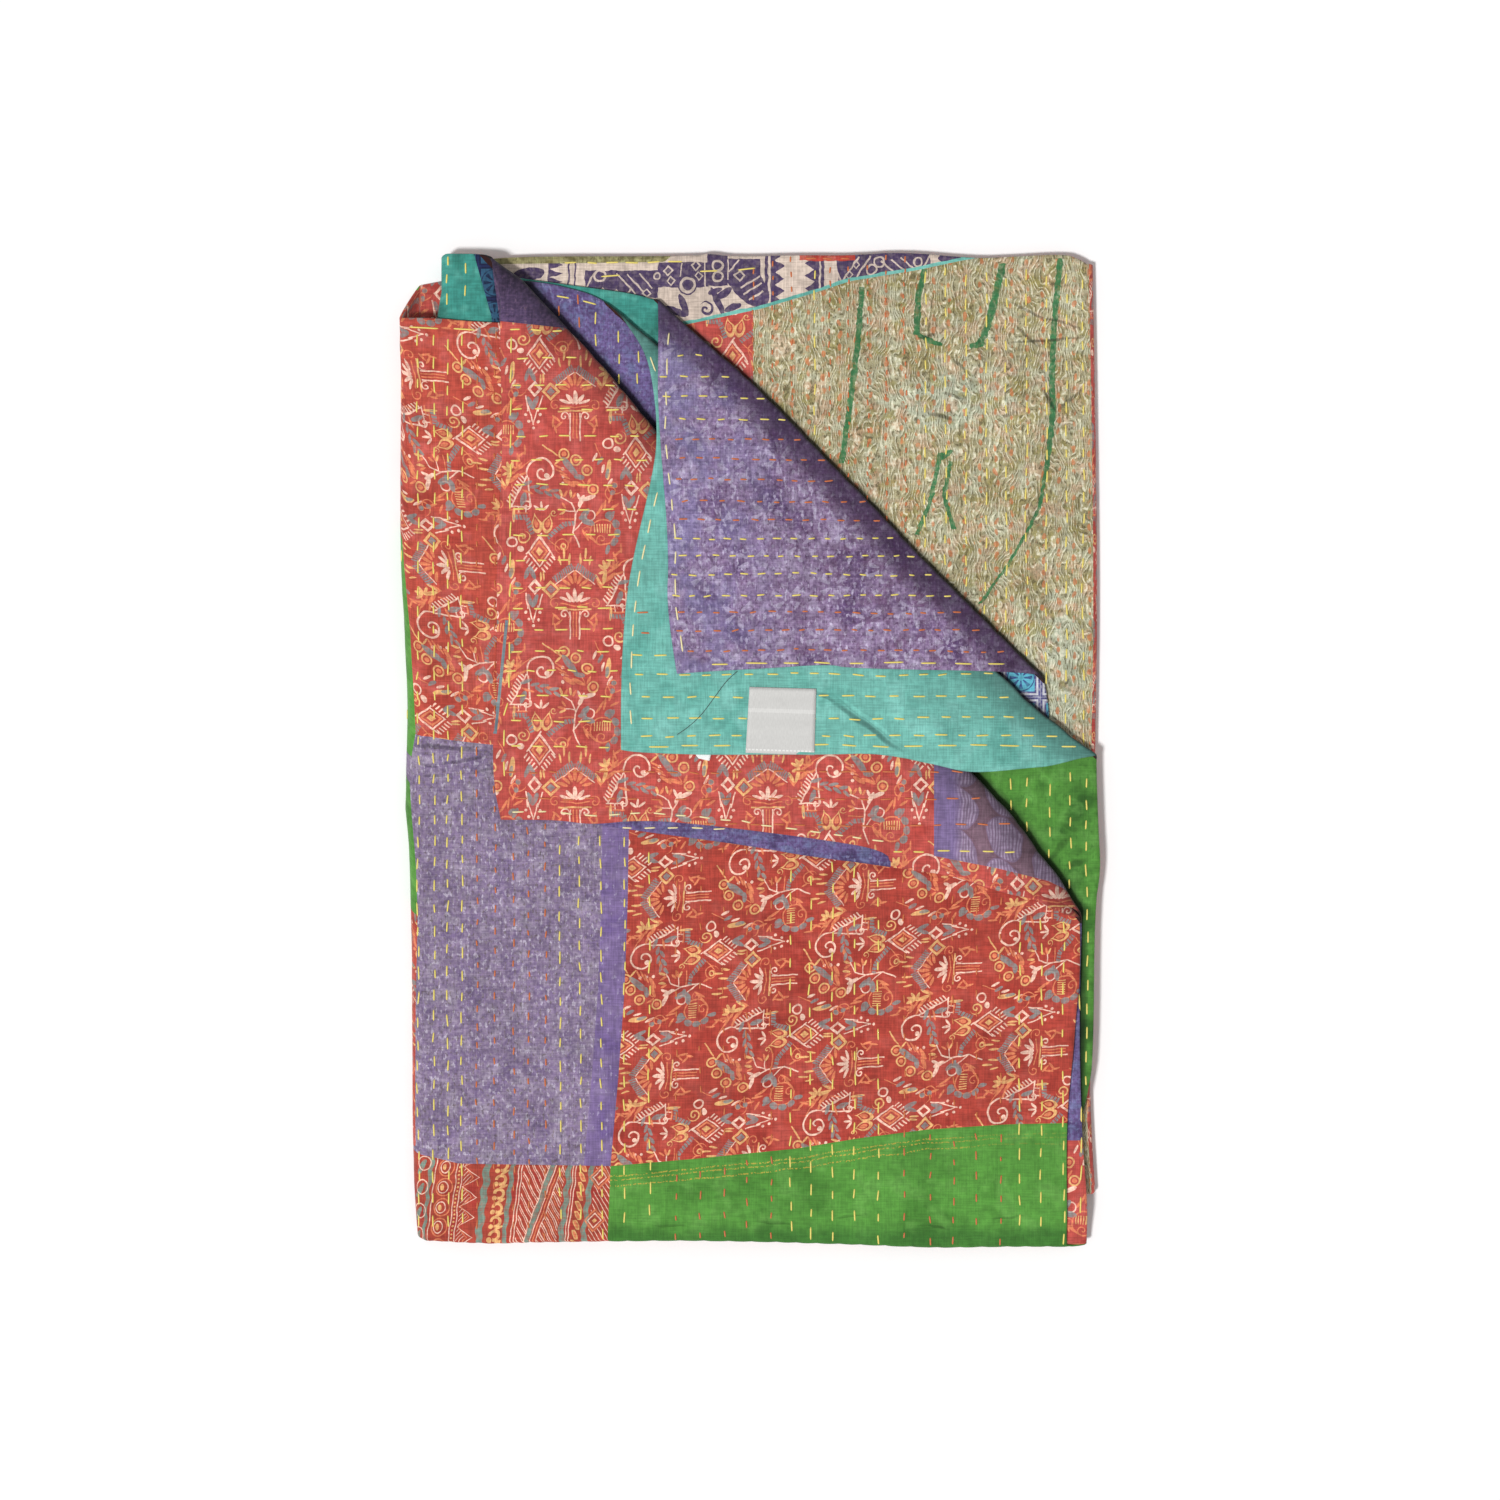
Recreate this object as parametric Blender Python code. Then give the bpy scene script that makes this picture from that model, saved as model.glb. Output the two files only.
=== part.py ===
"""A patchwork kantha quilt, folded in half three times into a packet of eight leaves.

The quilt is one sheet of stitched layers. It is folded across, then twice along its length,
so that the four leaves on top have free right edges. Their top right corners are turned down:
leaves 1 and 2 together, then leaf 3, then leaf 4, each lying on the one before. Leaf 5 stays flat.

Leaf 1 is the top of the packet and leaf 8 the bottom. Each ply holds four of them, joined by
side folds, and one bottom fold joins the plies. A sewn label lies on the flap of leaf 3, and
the corner of a care label stands out under its hem.
"""

import math
from collections import namedtuple

import bmesh
import bpy
from mathutils import Vector

MM = 0.001

# Driving dimensions, in millimetres.
CLOTH = 2.2  # thickness of the stitched cloth
PITCH = 3.0  # from the middle of one leaf to the middle of the next
ROLL = PITCH / 2  # radius of the turn of a corner that lies on its own leaf
PAIR_ROLL = ROLL + PITCH  # and of the outer one of two corners turned together
ROLL_LOOSE = 0.6  # how much further than its radius such a turn stands out
PINCH = 0.4  # how much thinner the cloth is on the inside of a tight turn
ROW_PITCH = 17.0  # from one quilting row to the next
RIB_DEPTH = 0.35  # how far the cloth is drawn in at a row
SIDE_SQUASH = 2.5  # how much less than half its height the widest side fold stands out
BOTTOM_BULGE = 1.5
CLIMB_RUN = 34.0  # the run in which a flap climbs over the crease below it
CLIMB_LAP = 6.0  # the part of that run that lies past the crease
DROOP = 2.4  # how far the widest flap sags beside the flap inside it
DROOP_RUN = 45.0
HANG = 8.0  # how far the upper leaves hang down past the edge of the lower ones
HANG_START = 9.0  # they begin to bend down this far past it
HANG_RUN = 36.0
FLAT_MERGE = math.radians(0.8)  # faces flatter than this to each other become one
CUT_REACH = 0.5  # a point this near to a cut is taken as lying on it

# Cells of the mesh: across a leaf, along a leaf, and round a fold.
ACROSS_SHOWN = 64
ACROSS_HIDDEN = 8
ALONG = 12
ALONG_HEM = 6  # cells in the strip beside the bottom fold, which bends down
HEM_SHARE = 0.11
ROUND_SIDE = 5
ROUND_BOTTOM = 3
ROUND_CREASE = 4

LABEL_SIZE = (53.0, 51.0, 0.8)
LABEL_AT = (26.5, 23.0)
CARE_LABEL_SIZE = (13.0, 6.0, 0.4)
CARE_LABEL_AT = (-36.0, -7.6)
SEAT = 0.3  # clearance under a piece that is sewn on

# Outlines as (x, y) in millimetres from the packet's middle. Side edges run from bottom to
# top, and top and bottom edges from left to right.
OUTER_LEFT = ((-262, -386), (-265, -330), (-264, -199), (-267, -64), (-271, -17), (-266, 11),
              (-269, 86), (-273, 117), (-275, 165), (-276, 275), (-277, 340))
LEAF_8_LEFT = ((-263, -381), (-268, -317), (-270, -64), (-278, -33), (-271, -9), (-278, 149),
               (-276, 275), (-274, 323), (-263, 369))
LEAF_2_LEFT = ((-259, -386), (-261, -330), (-260, -199), (-263, -64), (-263, 60), (-268, 130),
               (-271, 200), (-271, 260), (-262, 310), (-247, 345), (-247, 391))
LEAF_7_LEFT = ((-260, -381), (-264, -317), (-266, -64), (-268, -9), (-272, 149), (-270, 250),
               (-260, 305), (-246, 345), (-246, 384))
INNER_LEFT = ((-251, -384), (-252, -200), (-253, 0), (-255, 130), (-250, 250), (-236, 320),
              (-228, 374))
RIGHT_FOLD = ((275, -350), (270, -268), (273, -125), (275, 0), (277, 117), (275, 275), (273, 384))
TOP_PAIR_BOTTOM = ((-262, -386), (-207, -391), (-182, -390), (-40, -388), (87, -392),
                   (142, -395), (197, -394), (267, -391))
THIRD_PAIR_BOTTOM = ((-251, -383), (0, -385), (252, -388))
LOWER_BOTTOM = ((-263, -381), (0, -369), (275, -350))

# The creases on which corners are turned down: the line that the outside of the turned cloth
# makes, the radius of its turn, and how far it bows off the line, as (share of the line, bow).
Crease = namedtuple("Crease", "start end roll bows")
RED_CREASE = Crease((-203, 389), (263, -129), PAIR_ROLL,
                    ((0, 0), (0.05, 6), (0.17, 7.5), (0.28, 5), (0.55, 7), (0.81, 10), (0.86, 10.5),
                     (0.94, 6), (1, 0)))
TEAL_CREASE = Crease((-96, 340), (274, -3), ROLL,
                     ((0, 0), (0.07, 1.5), (0.3, 0), (0.6, -2), (0.82, -5), (0.87, -6),
                      (0.95, -3), (1, 0)))
VIOLET_CREASE = Crease((-68, 353), (233, 57), ROLL,
                       ((0, 0), (0.25, 5), (0.5, 3), (0.7, 0.5), (1, 0)))

# A leaf's level counts pitches above the lowest leaf. Where a leaf has a turned corner, top
# and right run to the crease, and flap_left and flap_bottom are the edges of the flap, each
# from the crease to the flap's corner. roll is the radius of the turn.
Leaf = namedtuple("Leaf", "level left bottom right top crease roll flap_left flap_bottom")
LEAVES = {
    1: Leaf(7, OUTER_LEFT, TOP_PAIR_BOTTOM,
            ((251, -392), (250, -293), (256, -238), (258, -207), (261, -183), (261, -129)),
            ((-277, 340), (-247, 340), (-217, 337), (-160, 335)),
            RED_CREASE, ROLL,
            ((-160, 335), (-158, 149), (-154, -53)),
            ((261, -129), (112, -92), (47, -84), (4, -76), (-62, -67), (-119, -59), (-154, -53))),
    2: Leaf(6, LEAF_2_LEFT, TOP_PAIR_BOTTOM,
            ((267, -391), (267, -357), (263, -309), (261, -246), (261, -183), (263, -129)),
            ((-247, 391), (-214, 391), (-203, 389)),
            RED_CREASE, PAIR_ROLL,
            ((-203, 389), (-196, 335), (-197, 38), (-201, 23), (-201, -25), (-195, -55)),
            ((263, -129), (237, -114), (197, -104), (146, -94), (113, -92), (109, -79), (47, -69),
             (-40, -58), (-87, -55), (-124, -59), (-150, -55), (-195, -55))),
    3: Leaf(5, INNER_LEFT, THIRD_PAIR_BOTTOM,
            ((252, -388), (259, -340), (262, -295), (268, -270), (272, -245), (273, -125),
             (278, -96), (276, -64), (274, -3)),
            ((-228, 374), (-165, 369), (-145, 365), (-120, 358), (-96, 340)),
            TEAL_CREASE, ROLL,
            ((-96, 340), (-85, 321), (-76, 296), (-71, 252), (-74, 220), (-91, 149), (-97, 109),
             (-100, 54), (-100, 0)),
            ((274, -3), (237, -13), (197, -17), (158, -15), (106, -2), (55, -4), (-24, -4),
             (-87, -2), (-100, 0))),
    4: Leaf(4, INNER_LEFT, THIRD_PAIR_BOTTOM,
            ((252, -388), (245, -120), (238, 27), (233, 57)),
            ((-228, 378), (-120, 364), (-90, 360), (-68, 353)),
            VIOLET_CREASE, ROLL,
            ((-68, 353), (-71, 244), (-62, 149), (-64, 117), (-56, 60)),
            ((233, 57), (226, 62), (79, 64), (63, 68), (8, 64), (-56, 60))),
    5: Leaf(3, INNER_LEFT, LOWER_BOTTOM, RIGHT_FOLD,
            ((-228, 384), (-199, 390), (-33, 394), (0, 391), (262, 391), (269, 388), (273, 384)),
            None, 0, (), ()),
    6: Leaf(2, INNER_LEFT, LOWER_BOTTOM, RIGHT_FOLD, ((-228, 380), (270, 386)), None, 0, (), ()),
    7: Leaf(1, LEAF_7_LEFT, LOWER_BOTTOM, RIGHT_FOLD, ((-246, 384), (270, 386)), None, 0, (), ()),
    8: Leaf(0, LEAF_8_LEFT, LOWER_BOTTOM, RIGHT_FOLD, ((-263, 369), (-198, 380), (273, 384)),
            None, 0, (), ()),
}

# The path of each ply from the packet's free right edge: leaf numbers of the ply that is
# outside in the first fold and of the ply that is inside, cells across, and the walk's sense.
Course = namedtuple("Course", "outside inside cells leftwards")
COURSES = (
    Course(1, 2, ACROSS_SHOWN, True),
    Course(8, 7, ACROSS_HIDDEN, False),
    Course(5, 6, ACROSS_SHOWN, True),
    Course(4, 3, ACROSS_SHOWN, False),
)

# The side of the cloth that shows on a leaf (0) or a flap (1), for the quilting's ribs.
SHOWN_SIDE = {(1, 0): "front", (5, 0): "front", (2, 1): "front", (3, 1): "back", (4, 1): "front"}
Layers = namedtuple("Layers", "leaf flap across pinch")

# The side of the cloth on the inside of each tight turn.
PINCH_SIDE = {1: "front", 3: "front", 4: "back"}

# What a flap climbs over on its way in: the crease, and the rise in pitches.
CLIMBS = {3: ((RED_CREASE, 4),), 4: ((TEAL_CREASE, 2), (RED_CREASE, 4))}


def mix(first, second, share):
    """The value that lies the given share of the way from first to second."""
    return first * (1 - share) + second * share


def smooth_step(share):
    """A smooth rise from 0 to 1, flat outside that range."""
    share = min(max(share, 0.0), 1.0)
    return share * share * (3 - 2 * share)


def point_along(points, share):
    """The point that lies the given share of the way along a polyline."""
    spans = [(b - a).length for a, b in zip(points, points[1:])]
    left = share * sum(spans)
    for a, b, span in zip(points, points[1:], spans):
        if left <= span:
            return a.lerp(b, left / span)
        left -= span
    return points[-1].copy()


class CreaseFrame:
    """Coordinates along a crease (t) and across it towards the turned corner (q)."""

    def __init__(self, crease, inset):
        self.start = Vector(crease.start)
        line = Vector(crease.end) - self.start
        self.length = line.length
        self.along = line.normalized()
        self.across = Vector((-self.along.y, self.along.x))
        self.bows = crease.bows
        self.inset = inset

    def bow(self, t):
        """How far the middle of the roll lies off the straight line at t."""
        share = min(max(t / self.length, 0.0), 1.0)
        for (from_share, from_bow), (to_share, to_bow) in zip(self.bows, self.bows[1:]):
            if share <= to_share:
                part = smooth_step((share - from_share) / (to_share - from_share))
                return mix(from_bow, to_bow, part) - self.inset
        return -self.inset

    def to_crease(self, point):
        """(t, q) of a point of the packet's plane."""
        offset = point - self.start
        t = offset.dot(self.along)
        return Vector((t, offset.dot(self.across) - self.bow(t)))

    def to_plane(self, t, q):
        """The point of the packet's plane at (t, q)."""
        return self.start + self.along * t + self.across * (q + self.bow(t))

    def unfold(self, point, roll):
        """Where a point of a flap lies when its corner is laid flat again."""
        t, q = self.to_crease(point)
        return self.to_plane(t, math.pi * roll - q)


def turning_frame(leaf):
    """The coordinates in which a leaf's corner is turned, with q measured from the axis."""
    return CreaseFrame(leaf.crease, leaf.crease.roll + ROLL_LOOSE + CLOTH / 2)


def vectors(points):
    """A tuple of pairs as a list of vectors."""
    return [Vector(point) for point in points]


def leaf_edges(leaf):
    """The left, bottom, right and top edges of a leaf, laid flat."""
    right = vectors(leaf.right)
    top = vectors(leaf.top)
    if leaf.crease:
        frame = turning_frame(leaf)
        right += [frame.unfold(point, leaf.roll) for point in vectors(leaf.flap_bottom)[1:]]
        top += [frame.unfold(point, leaf.roll) for point in vectors(leaf.flap_left)[1:-1]]
        top.append(right[-1].copy())
    left = vectors(leaf.left)
    left[-1] = top[0].copy()
    rise = Vector((0, BOTTOM_BULGE + CLOTH / 2))
    bottom = [point + rise for point in vectors(leaf.bottom)]
    bottom[0] = left[0].copy()
    bottom[-1] = right[0].copy()
    return left, bottom, right, top


def leaf_point(edges, a, b):
    """The point of a leaf a of the way across it and b of the way up it."""
    left, bottom, right, top = edges
    across = mix(point_along(left, b), point_along(right, b), a)
    upward = mix(point_along(bottom, a), point_along(top, a), b)
    corners = mix(mix(left[0], right[0], a), mix(left[-1], right[-1], a), b)
    return across + upward - corners


def half_turn(first, second, outward, bulge, share):
    """A point of the half ellipse that joins first to second round outward."""
    angle = math.pi * share
    middle = (first + second) / 2
    return middle + (first - second) / 2 * math.cos(angle) + outward * bulge * math.sin(angle)


def height(level):
    """The height of the middle of a leaf at the given level."""
    return CLOTH / 2 + PITCH * level


def fold_bulge(first, second):
    """The bulge of the side fold that joins two leaves."""
    half_height = abs(height(LEAVES[first].level) - height(LEAVES[second].level)) / 2
    return half_height - SIDE_SQUASH if half_height > 2 * PITCH else half_height


def inset_side(edge, course, following, leftwards):
    """A side edge moved in, so that the widest fold there reaches the packet's outline."""
    bulge = max(fold_bulge(course.outside, following.outside),
                fold_bulge(course.inside, following.inside))
    step = Vector((bulge + CLOTH / 2, 0)) * (1 if leftwards else -1)
    return [point + step for point in edge]


def ply_lines(number_of):
    """The lines of points across one ply, each from its free top edge to its bottom fold.

    Each line is (points, leaf number or 0 on a side fold, place across the leaf).
    """
    lines = []
    edges = {}
    for index, course in enumerate(COURSES):
        left, bottom, right, top = leaf_edges(LEAVES[number_of(course)])
        beside = COURSES[index ^ 1]
        left = inset_side(left, course, beside, True)
        if index in (1, 2):
            right = inset_side(right, COURSES[1], COURSES[2], False)
        top[0], top[-1] = left[-1].copy(), right[-1].copy()
        bottom[0], bottom[-1] = left[0].copy(), right[0].copy()
        edges[number_of(course)] = (left, bottom, right, top)

    shares = [1 - (1 - HEM_SHARE) * row / ALONG for row in range(ALONG)]
    shares += [HEM_SHARE * (1 - row / ALONG_HEM) for row in range(ALONG_HEM + 1)]

    def leaf_line(number, a):
        z = height(LEAVES[number].level)
        return [leaf_point(edges[number], a, b).to_3d() + Vector((0, 0, z)) for b in shares]

    for index, course in enumerate(COURSES):
        number = number_of(course)
        for cell in range(course.cells + 1):
            a = cell / course.cells
            a = 1 - a if course.leftwards else a
            lines.append((leaf_line(number, a), number, a))
        if index + 1 == len(COURSES):
            break
        following = number_of(COURSES[index + 1])
        side = 0.0 if course.leftwards else 1.0
        outward = Vector((-1 if course.leftwards else 1, 0, 0))
        first, second = leaf_line(number, side), leaf_line(following, side)
        bulge = fold_bulge(number, following)
        for step in range(1, ROUND_SIDE):
            share = step / ROUND_SIDE
            points = [half_turn(p, q, outward, bulge, share) for p, q in zip(first, second)]
            lines.append((points, 0, 0.5))
    return lines


def add_layers(surface):
    """The marks that the surface carries, such as the leaf number and the place across it."""
    for name in ("leaf", "flap"):
        surface.faces.layers.int.new(name)
    for name in ("across", "pinch"):
        surface.verts.layers.float.new(name)
    faces, verts = surface.faces.layers.int, surface.verts.layers.float
    return Layers(faces["leaf"], faces["flap"], verts["across"], verts["pinch"])


def quilt_surface():
    """The middle surface of the folded quilt with its corners still flat, and its marks."""
    outside = ply_lines(lambda course: course.outside)
    inside = ply_lines(lambda course: course.inside)
    surface = bmesh.new()
    layers = add_layers(surface)
    down = Vector((0, -1, 0))
    columns = []
    for (outer, outer_leaf, a), (inner, inner_leaf, _) in zip(outside, inside):
        turn = [half_turn(outer[-1], inner[-1], down, BOTTOM_BULGE, step / ROUND_BOTTOM)
                for step in range(1, ROUND_BOTTOM)]
        column = [surface.verts.new(point) for point in outer + turn + inner[::-1]]
        for vert in column:
            vert[layers.across] = a
        columns.append((column, outer_leaf, inner_leaf))
    for (first, outer_a, inner_a), (second, outer_b, inner_b) in zip(columns, columns[1:]):
        for row in range(len(first) - 1):
            face = surface.faces.new((first[row], first[row + 1], second[row + 1], second[row]))
            if row < ALONG + ALONG_HEM and outer_a == outer_b:
                face[layers.leaf] = outer_a
            elif row >= ALONG + ALONG_HEM + ROUND_BOTTOM and inner_a == inner_b:
                face[layers.leaf] = inner_a
    return surface, layers


def cut_lines(surface, faces, frame, distances):
    """Cuts the faces along lines beside a crease, at the given distances across it."""
    verts = {vert for face in faces for vert in face.verts}
    for vert in verts:
        t, q = frame.to_crease(vert.co.to_2d())
        vert.co = Vector((t, q, vert.co.z))
    for distance in distances:
        geometry = list(faces) + list({edge for face in faces for edge in face.edges})
        geometry += list({vert for face in faces for vert in face.verts})
        cut = bmesh.ops.bisect_plane(surface, geom=geometry, dist=CUT_REACH,
                                     plane_co=(0, distance, 0), plane_no=(0, 1, 0))
        faces = [item for item in cut["geom"] if isinstance(item, bmesh.types.BMFace)]
    verts = {vert for face in faces for vert in face.verts}
    return faces, verts


def leave_crease(verts, frame):
    """Puts points that are in a crease's coordinates back in the packet's."""
    for vert in verts:
        place = frame.to_plane(vert.co.x, vert.co.y)
        vert.co = Vector((place.x, place.y, vert.co.z))


def turn_corner(surface, number, layers):
    """Turns down the top right corner of a leaf, round its crease."""
    leaf = LEAVES[number]
    frame = turning_frame(leaf)
    arc = math.pi * leaf.roll
    faces = [face for face in surface.faces if face[layers.leaf] == number]
    steps = [arc * step / ROUND_CREASE for step in range(ROUND_CREASE + 1)]
    faces, verts = cut_lines(surface, faces, frame, steps)
    for face in faces:
        middle = face.calc_center_median().y
        face[layers.flap] = 1 if middle > 0 else 0
    for vert in verts:
        past = vert.co.y
        if number in PINCH_SIDE and -CUT_REACH < past < arc + CUT_REACH:
            vert[layers.pinch] = 1.0
        if past <= 0:
            continue
        angle = min(past / leaf.roll, math.pi)
        vert.co.y = (leaf.roll + ROLL_LOOSE) * math.sin(angle) - max(past - arc, 0)
        vert.co.z += leaf.roll * (1 - math.cos(angle))
    leave_crease(verts, frame)


def climb(surface, number, layers):
    """Lifts a flap over the creases that it crosses."""
    for crease, rise in CLIMBS.get(number, ()):
        frame = CreaseFrame(crease, 0)
        run = CLIMB_RUN if rise > 2 else CLIMB_RUN / 2
        lap = CLIMB_LAP if rise > 2 else CLIMB_LAP / 2
        faces = [face for face in surface.faces
                 if face[layers.leaf] == number and face[layers.flap]]
        distances = [run - lap - run * step / 5 for step in range(6)]
        faces, verts = cut_lines(surface, faces, frame, distances)
        for vert in verts:
            share = (run - lap - vert.co.y) / run
            vert.co.z += rise * PITCH * smooth_step(share)
        leave_crease(verts, frame)


def sag_beside(surface, layers):
    """Lets the flap of leaf 2 down beside the narrower flap of leaf 1 inside it."""
    left_edge = LEAVES[1].flap_left[1][0]
    top = LEAVES[2].level + 3
    for vert in surface.verts:
        leaves = {(face[layers.leaf], face[layers.flap]) for face in vert.link_faces}
        if (2, 1) in leaves and abs(vert.co.z - height(top)) < 0.01:
            beside = (left_edge - vert.co.x) / DROOP_RUN
            vert.co.z -= DROOP * smooth_step(beside)


def hang_over_lower_edge(surface):
    """Lets the upper leaves down where they reach past the lower ones."""
    edge = vectors(LOWER_BOTTOM)
    for vert in surface.verts:
        if vert.co.z < height(LEAVES[4].level) - PITCH / 2:
            continue
        side = (vert.co.x - edge[0].x) / (edge[-1].x - edge[0].x)
        overhang = point_along(edge, min(max(side, 0), 1)).y - vert.co.y
        vert.co.z -= HANG * smooth_step((overhang - HANG_START) / HANG_RUN)


def drawn_in(vert, layers):
    """How far the front and the back are drawn in, by quilting rows and in tight turns."""
    depths = {"front": 0.0, "back": 0.0}
    sides = {SHOWN_SIDE.get((face[layers.leaf], face[layers.flap])) for face in vert.link_faces}
    if len(sides) == 1 and None not in sides:
        width = LEAVES[5].right[0][0] - LEAVES[5].left[0][0]
        row = vert[layers.across] * width / ROW_PITCH
        depths[sides.pop()] = RIB_DEPTH * (0.5 + 0.5 * math.cos(2 * math.pi * row))
    if vert[layers.pinch] == 1.0:
        number = vert.link_faces[0][layers.leaf]
        depths[PINCH_SIDE[number]] = PINCH
    return depths["front"], depths["back"]


def thicken(surface, layers):
    """The closed body of the cloth, from its middle surface, whose normals face the back."""
    surface.normal_update()
    body = bmesh.new()
    back, front = {}, {}
    for vert in surface.verts:
        front_depth, back_depth = drawn_in(vert, layers)
        back[vert] = body.verts.new(vert.co + vert.normal * (CLOTH / 2 - back_depth))
        front[vert] = body.verts.new(vert.co - vert.normal * (CLOTH / 2 - front_depth))
    for face in surface.faces:
        body.faces.new([back[vert] for vert in face.verts])
        body.faces.new([front[vert] for vert in reversed(face.verts)])
    for edge in surface.edges:
        if edge.is_boundary:
            loop = edge.link_loops[0]
            a, b = loop.vert, loop.link_loop_next.vert
            body.faces.new((back[b], back[a], front[a], front[b]))
    return body


def build_quilt():
    """The folded quilt as one closed body, in millimetres."""
    surface, layers = quilt_surface()
    for number, leaf in LEAVES.items():
        if leaf.crease:
            turn_corner(surface, number, layers)
            climb(surface, number, layers)
    sag_beside(surface, layers)
    hang_over_lower_edge(surface)
    body = thicken(surface, layers)
    surface.free()
    body.normal_update()
    bmesh.ops.dissolve_limit(body, angle_limit=FLAT_MERGE, verts=body.verts, edges=body.edges)
    bmesh.ops.triangulate(body, faces=body.faces)
    bmesh.ops.recalc_face_normals(body, faces=body.faces)
    return body


def build_plate(size, place, bottom):
    """A thin rectangular plate whose underside is at the given height."""
    body = bmesh.new()
    bmesh.ops.create_cube(body, size=1)
    bmesh.ops.scale(body, vec=size, verts=body.verts)
    middle = Vector((place[0], place[1], bottom + size[2] / 2))
    bmesh.ops.translate(body, vec=middle, verts=body.verts)
    return body


def add_material(node, colour, roughness):
    """Gives a node its own plain material."""
    material = bpy.data.materials.new(node.name + "_finish")
    material.use_nodes = True
    shader = material.node_tree.nodes["Principled BSDF"]
    shader.inputs["Base Color"].default_value = (*colour, 1)
    shader.inputs["Roughness"].default_value = roughness
    shader.inputs["Metallic"].default_value = 0
    node.data.materials.append(material)


def add_node(name, body, packet, colour, roughness):
    """Makes a named object of a body that is in millimetres, under the packet's empty."""
    bmesh.ops.scale(body, vec=(MM, MM, MM), verts=body.verts)
    mesh = bpy.data.meshes.new(name)
    body.to_mesh(mesh)
    body.free()
    node = bpy.data.objects.new(name, mesh)
    bpy.context.collection.objects.link(node)
    node.parent = packet
    add_material(node, colour, roughness)
    return node


def clear_scene():
    """Removes every object of the scene."""
    for thing in list(bpy.data.objects):
        bpy.data.objects.remove(thing, do_unlink=True)


def main():
    """Builds the folded quilt and its two sewn labels."""
    clear_scene()
    packet = bpy.data.objects.new("packet", None)
    bpy.context.collection.objects.link(packet)
    quilt = add_node("quilt", build_quilt(), packet, (0.47, 0.10, 0.09), 0.85)
    teal_flap_top = height(LEAVES[3].level + 5) + CLOTH / 2
    label = build_plate(LABEL_SIZE, LABEL_AT, teal_flap_top + SEAT)
    add_node("label", label, packet, (0.60, 0.60, 0.60), 0.7)
    red_flap_top = height(LEAVES[2].level + 3) + CLOTH / 2
    care_label = build_plate(CARE_LABEL_SIZE, CARE_LABEL_AT, red_flap_top + SEAT)
    add_node("care_label", care_label, packet, (0.85, 0.85, 0.85), 0.6)
    corners = [vert.co for vert in quilt.data.vertices]
    middle_x = (min(co.x for co in corners) + max(co.x for co in corners)) / 2
    middle_y = (min(co.y for co in corners) + max(co.y for co in corners)) / 2
    packet.location = (-middle_x, -middle_y, 0)


main()
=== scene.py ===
"""The looks of a patchwork kantha quilt that lies folded in a packet of eight leaves.

The quilt is one cloth. Leaf 1 is the top of the packet and leaf 8 the bottom. The top right
corners of leaves 1 to 4 are turned down, and each turned corner is called a flap here. The
cloth is laid out flat leaf by leaf, made finer where it shows, folded, given its thickness,
and then drawn in along its stitched rows. Lengths are in millimetres up to the last step.
"""

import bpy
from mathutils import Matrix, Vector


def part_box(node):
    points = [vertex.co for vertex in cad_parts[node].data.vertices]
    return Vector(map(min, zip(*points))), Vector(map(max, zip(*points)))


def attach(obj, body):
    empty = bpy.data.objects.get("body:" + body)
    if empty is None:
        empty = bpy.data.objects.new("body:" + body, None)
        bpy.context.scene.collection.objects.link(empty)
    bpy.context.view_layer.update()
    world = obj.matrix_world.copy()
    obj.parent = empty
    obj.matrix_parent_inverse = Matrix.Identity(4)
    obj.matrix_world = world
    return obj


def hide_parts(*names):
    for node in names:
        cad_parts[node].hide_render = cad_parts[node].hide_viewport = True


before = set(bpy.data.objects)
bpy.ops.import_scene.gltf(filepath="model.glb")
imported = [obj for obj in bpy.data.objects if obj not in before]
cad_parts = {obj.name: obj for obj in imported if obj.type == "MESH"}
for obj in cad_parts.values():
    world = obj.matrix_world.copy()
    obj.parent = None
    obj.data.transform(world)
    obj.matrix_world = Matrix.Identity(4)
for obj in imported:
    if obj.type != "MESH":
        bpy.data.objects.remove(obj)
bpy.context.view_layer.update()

import logging
import math
import random
from collections.abc import Callable, Iterable, Sequence
from dataclasses import dataclass
from enum import Enum
from functools import cache

import bmesh
import bpy
from mathutils import Vector, noise
from mathutils.bvhtree import BVHTree

LOG = logging.getLogger("kantha_quilt")
MM = 0.001
BODY = "root"

Pair = tuple[float, float]
Line = tuple[Pair, ...]
Colour = tuple[float, float, float, float]
Row3 = tuple[float, float, float]


class Side(Enum):
    """A side of the cloth."""

    FRONT = "front"
    BACK = "back"


class Kind(Enum):
    """What a part of the folded cloth is."""

    PAGE = 0
    FLAP = 1
    SIDE_FOLD = 2
    BOTTOM_FOLD = 3


# ---------------------------------------------------------------- how the cloth is folded


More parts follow.
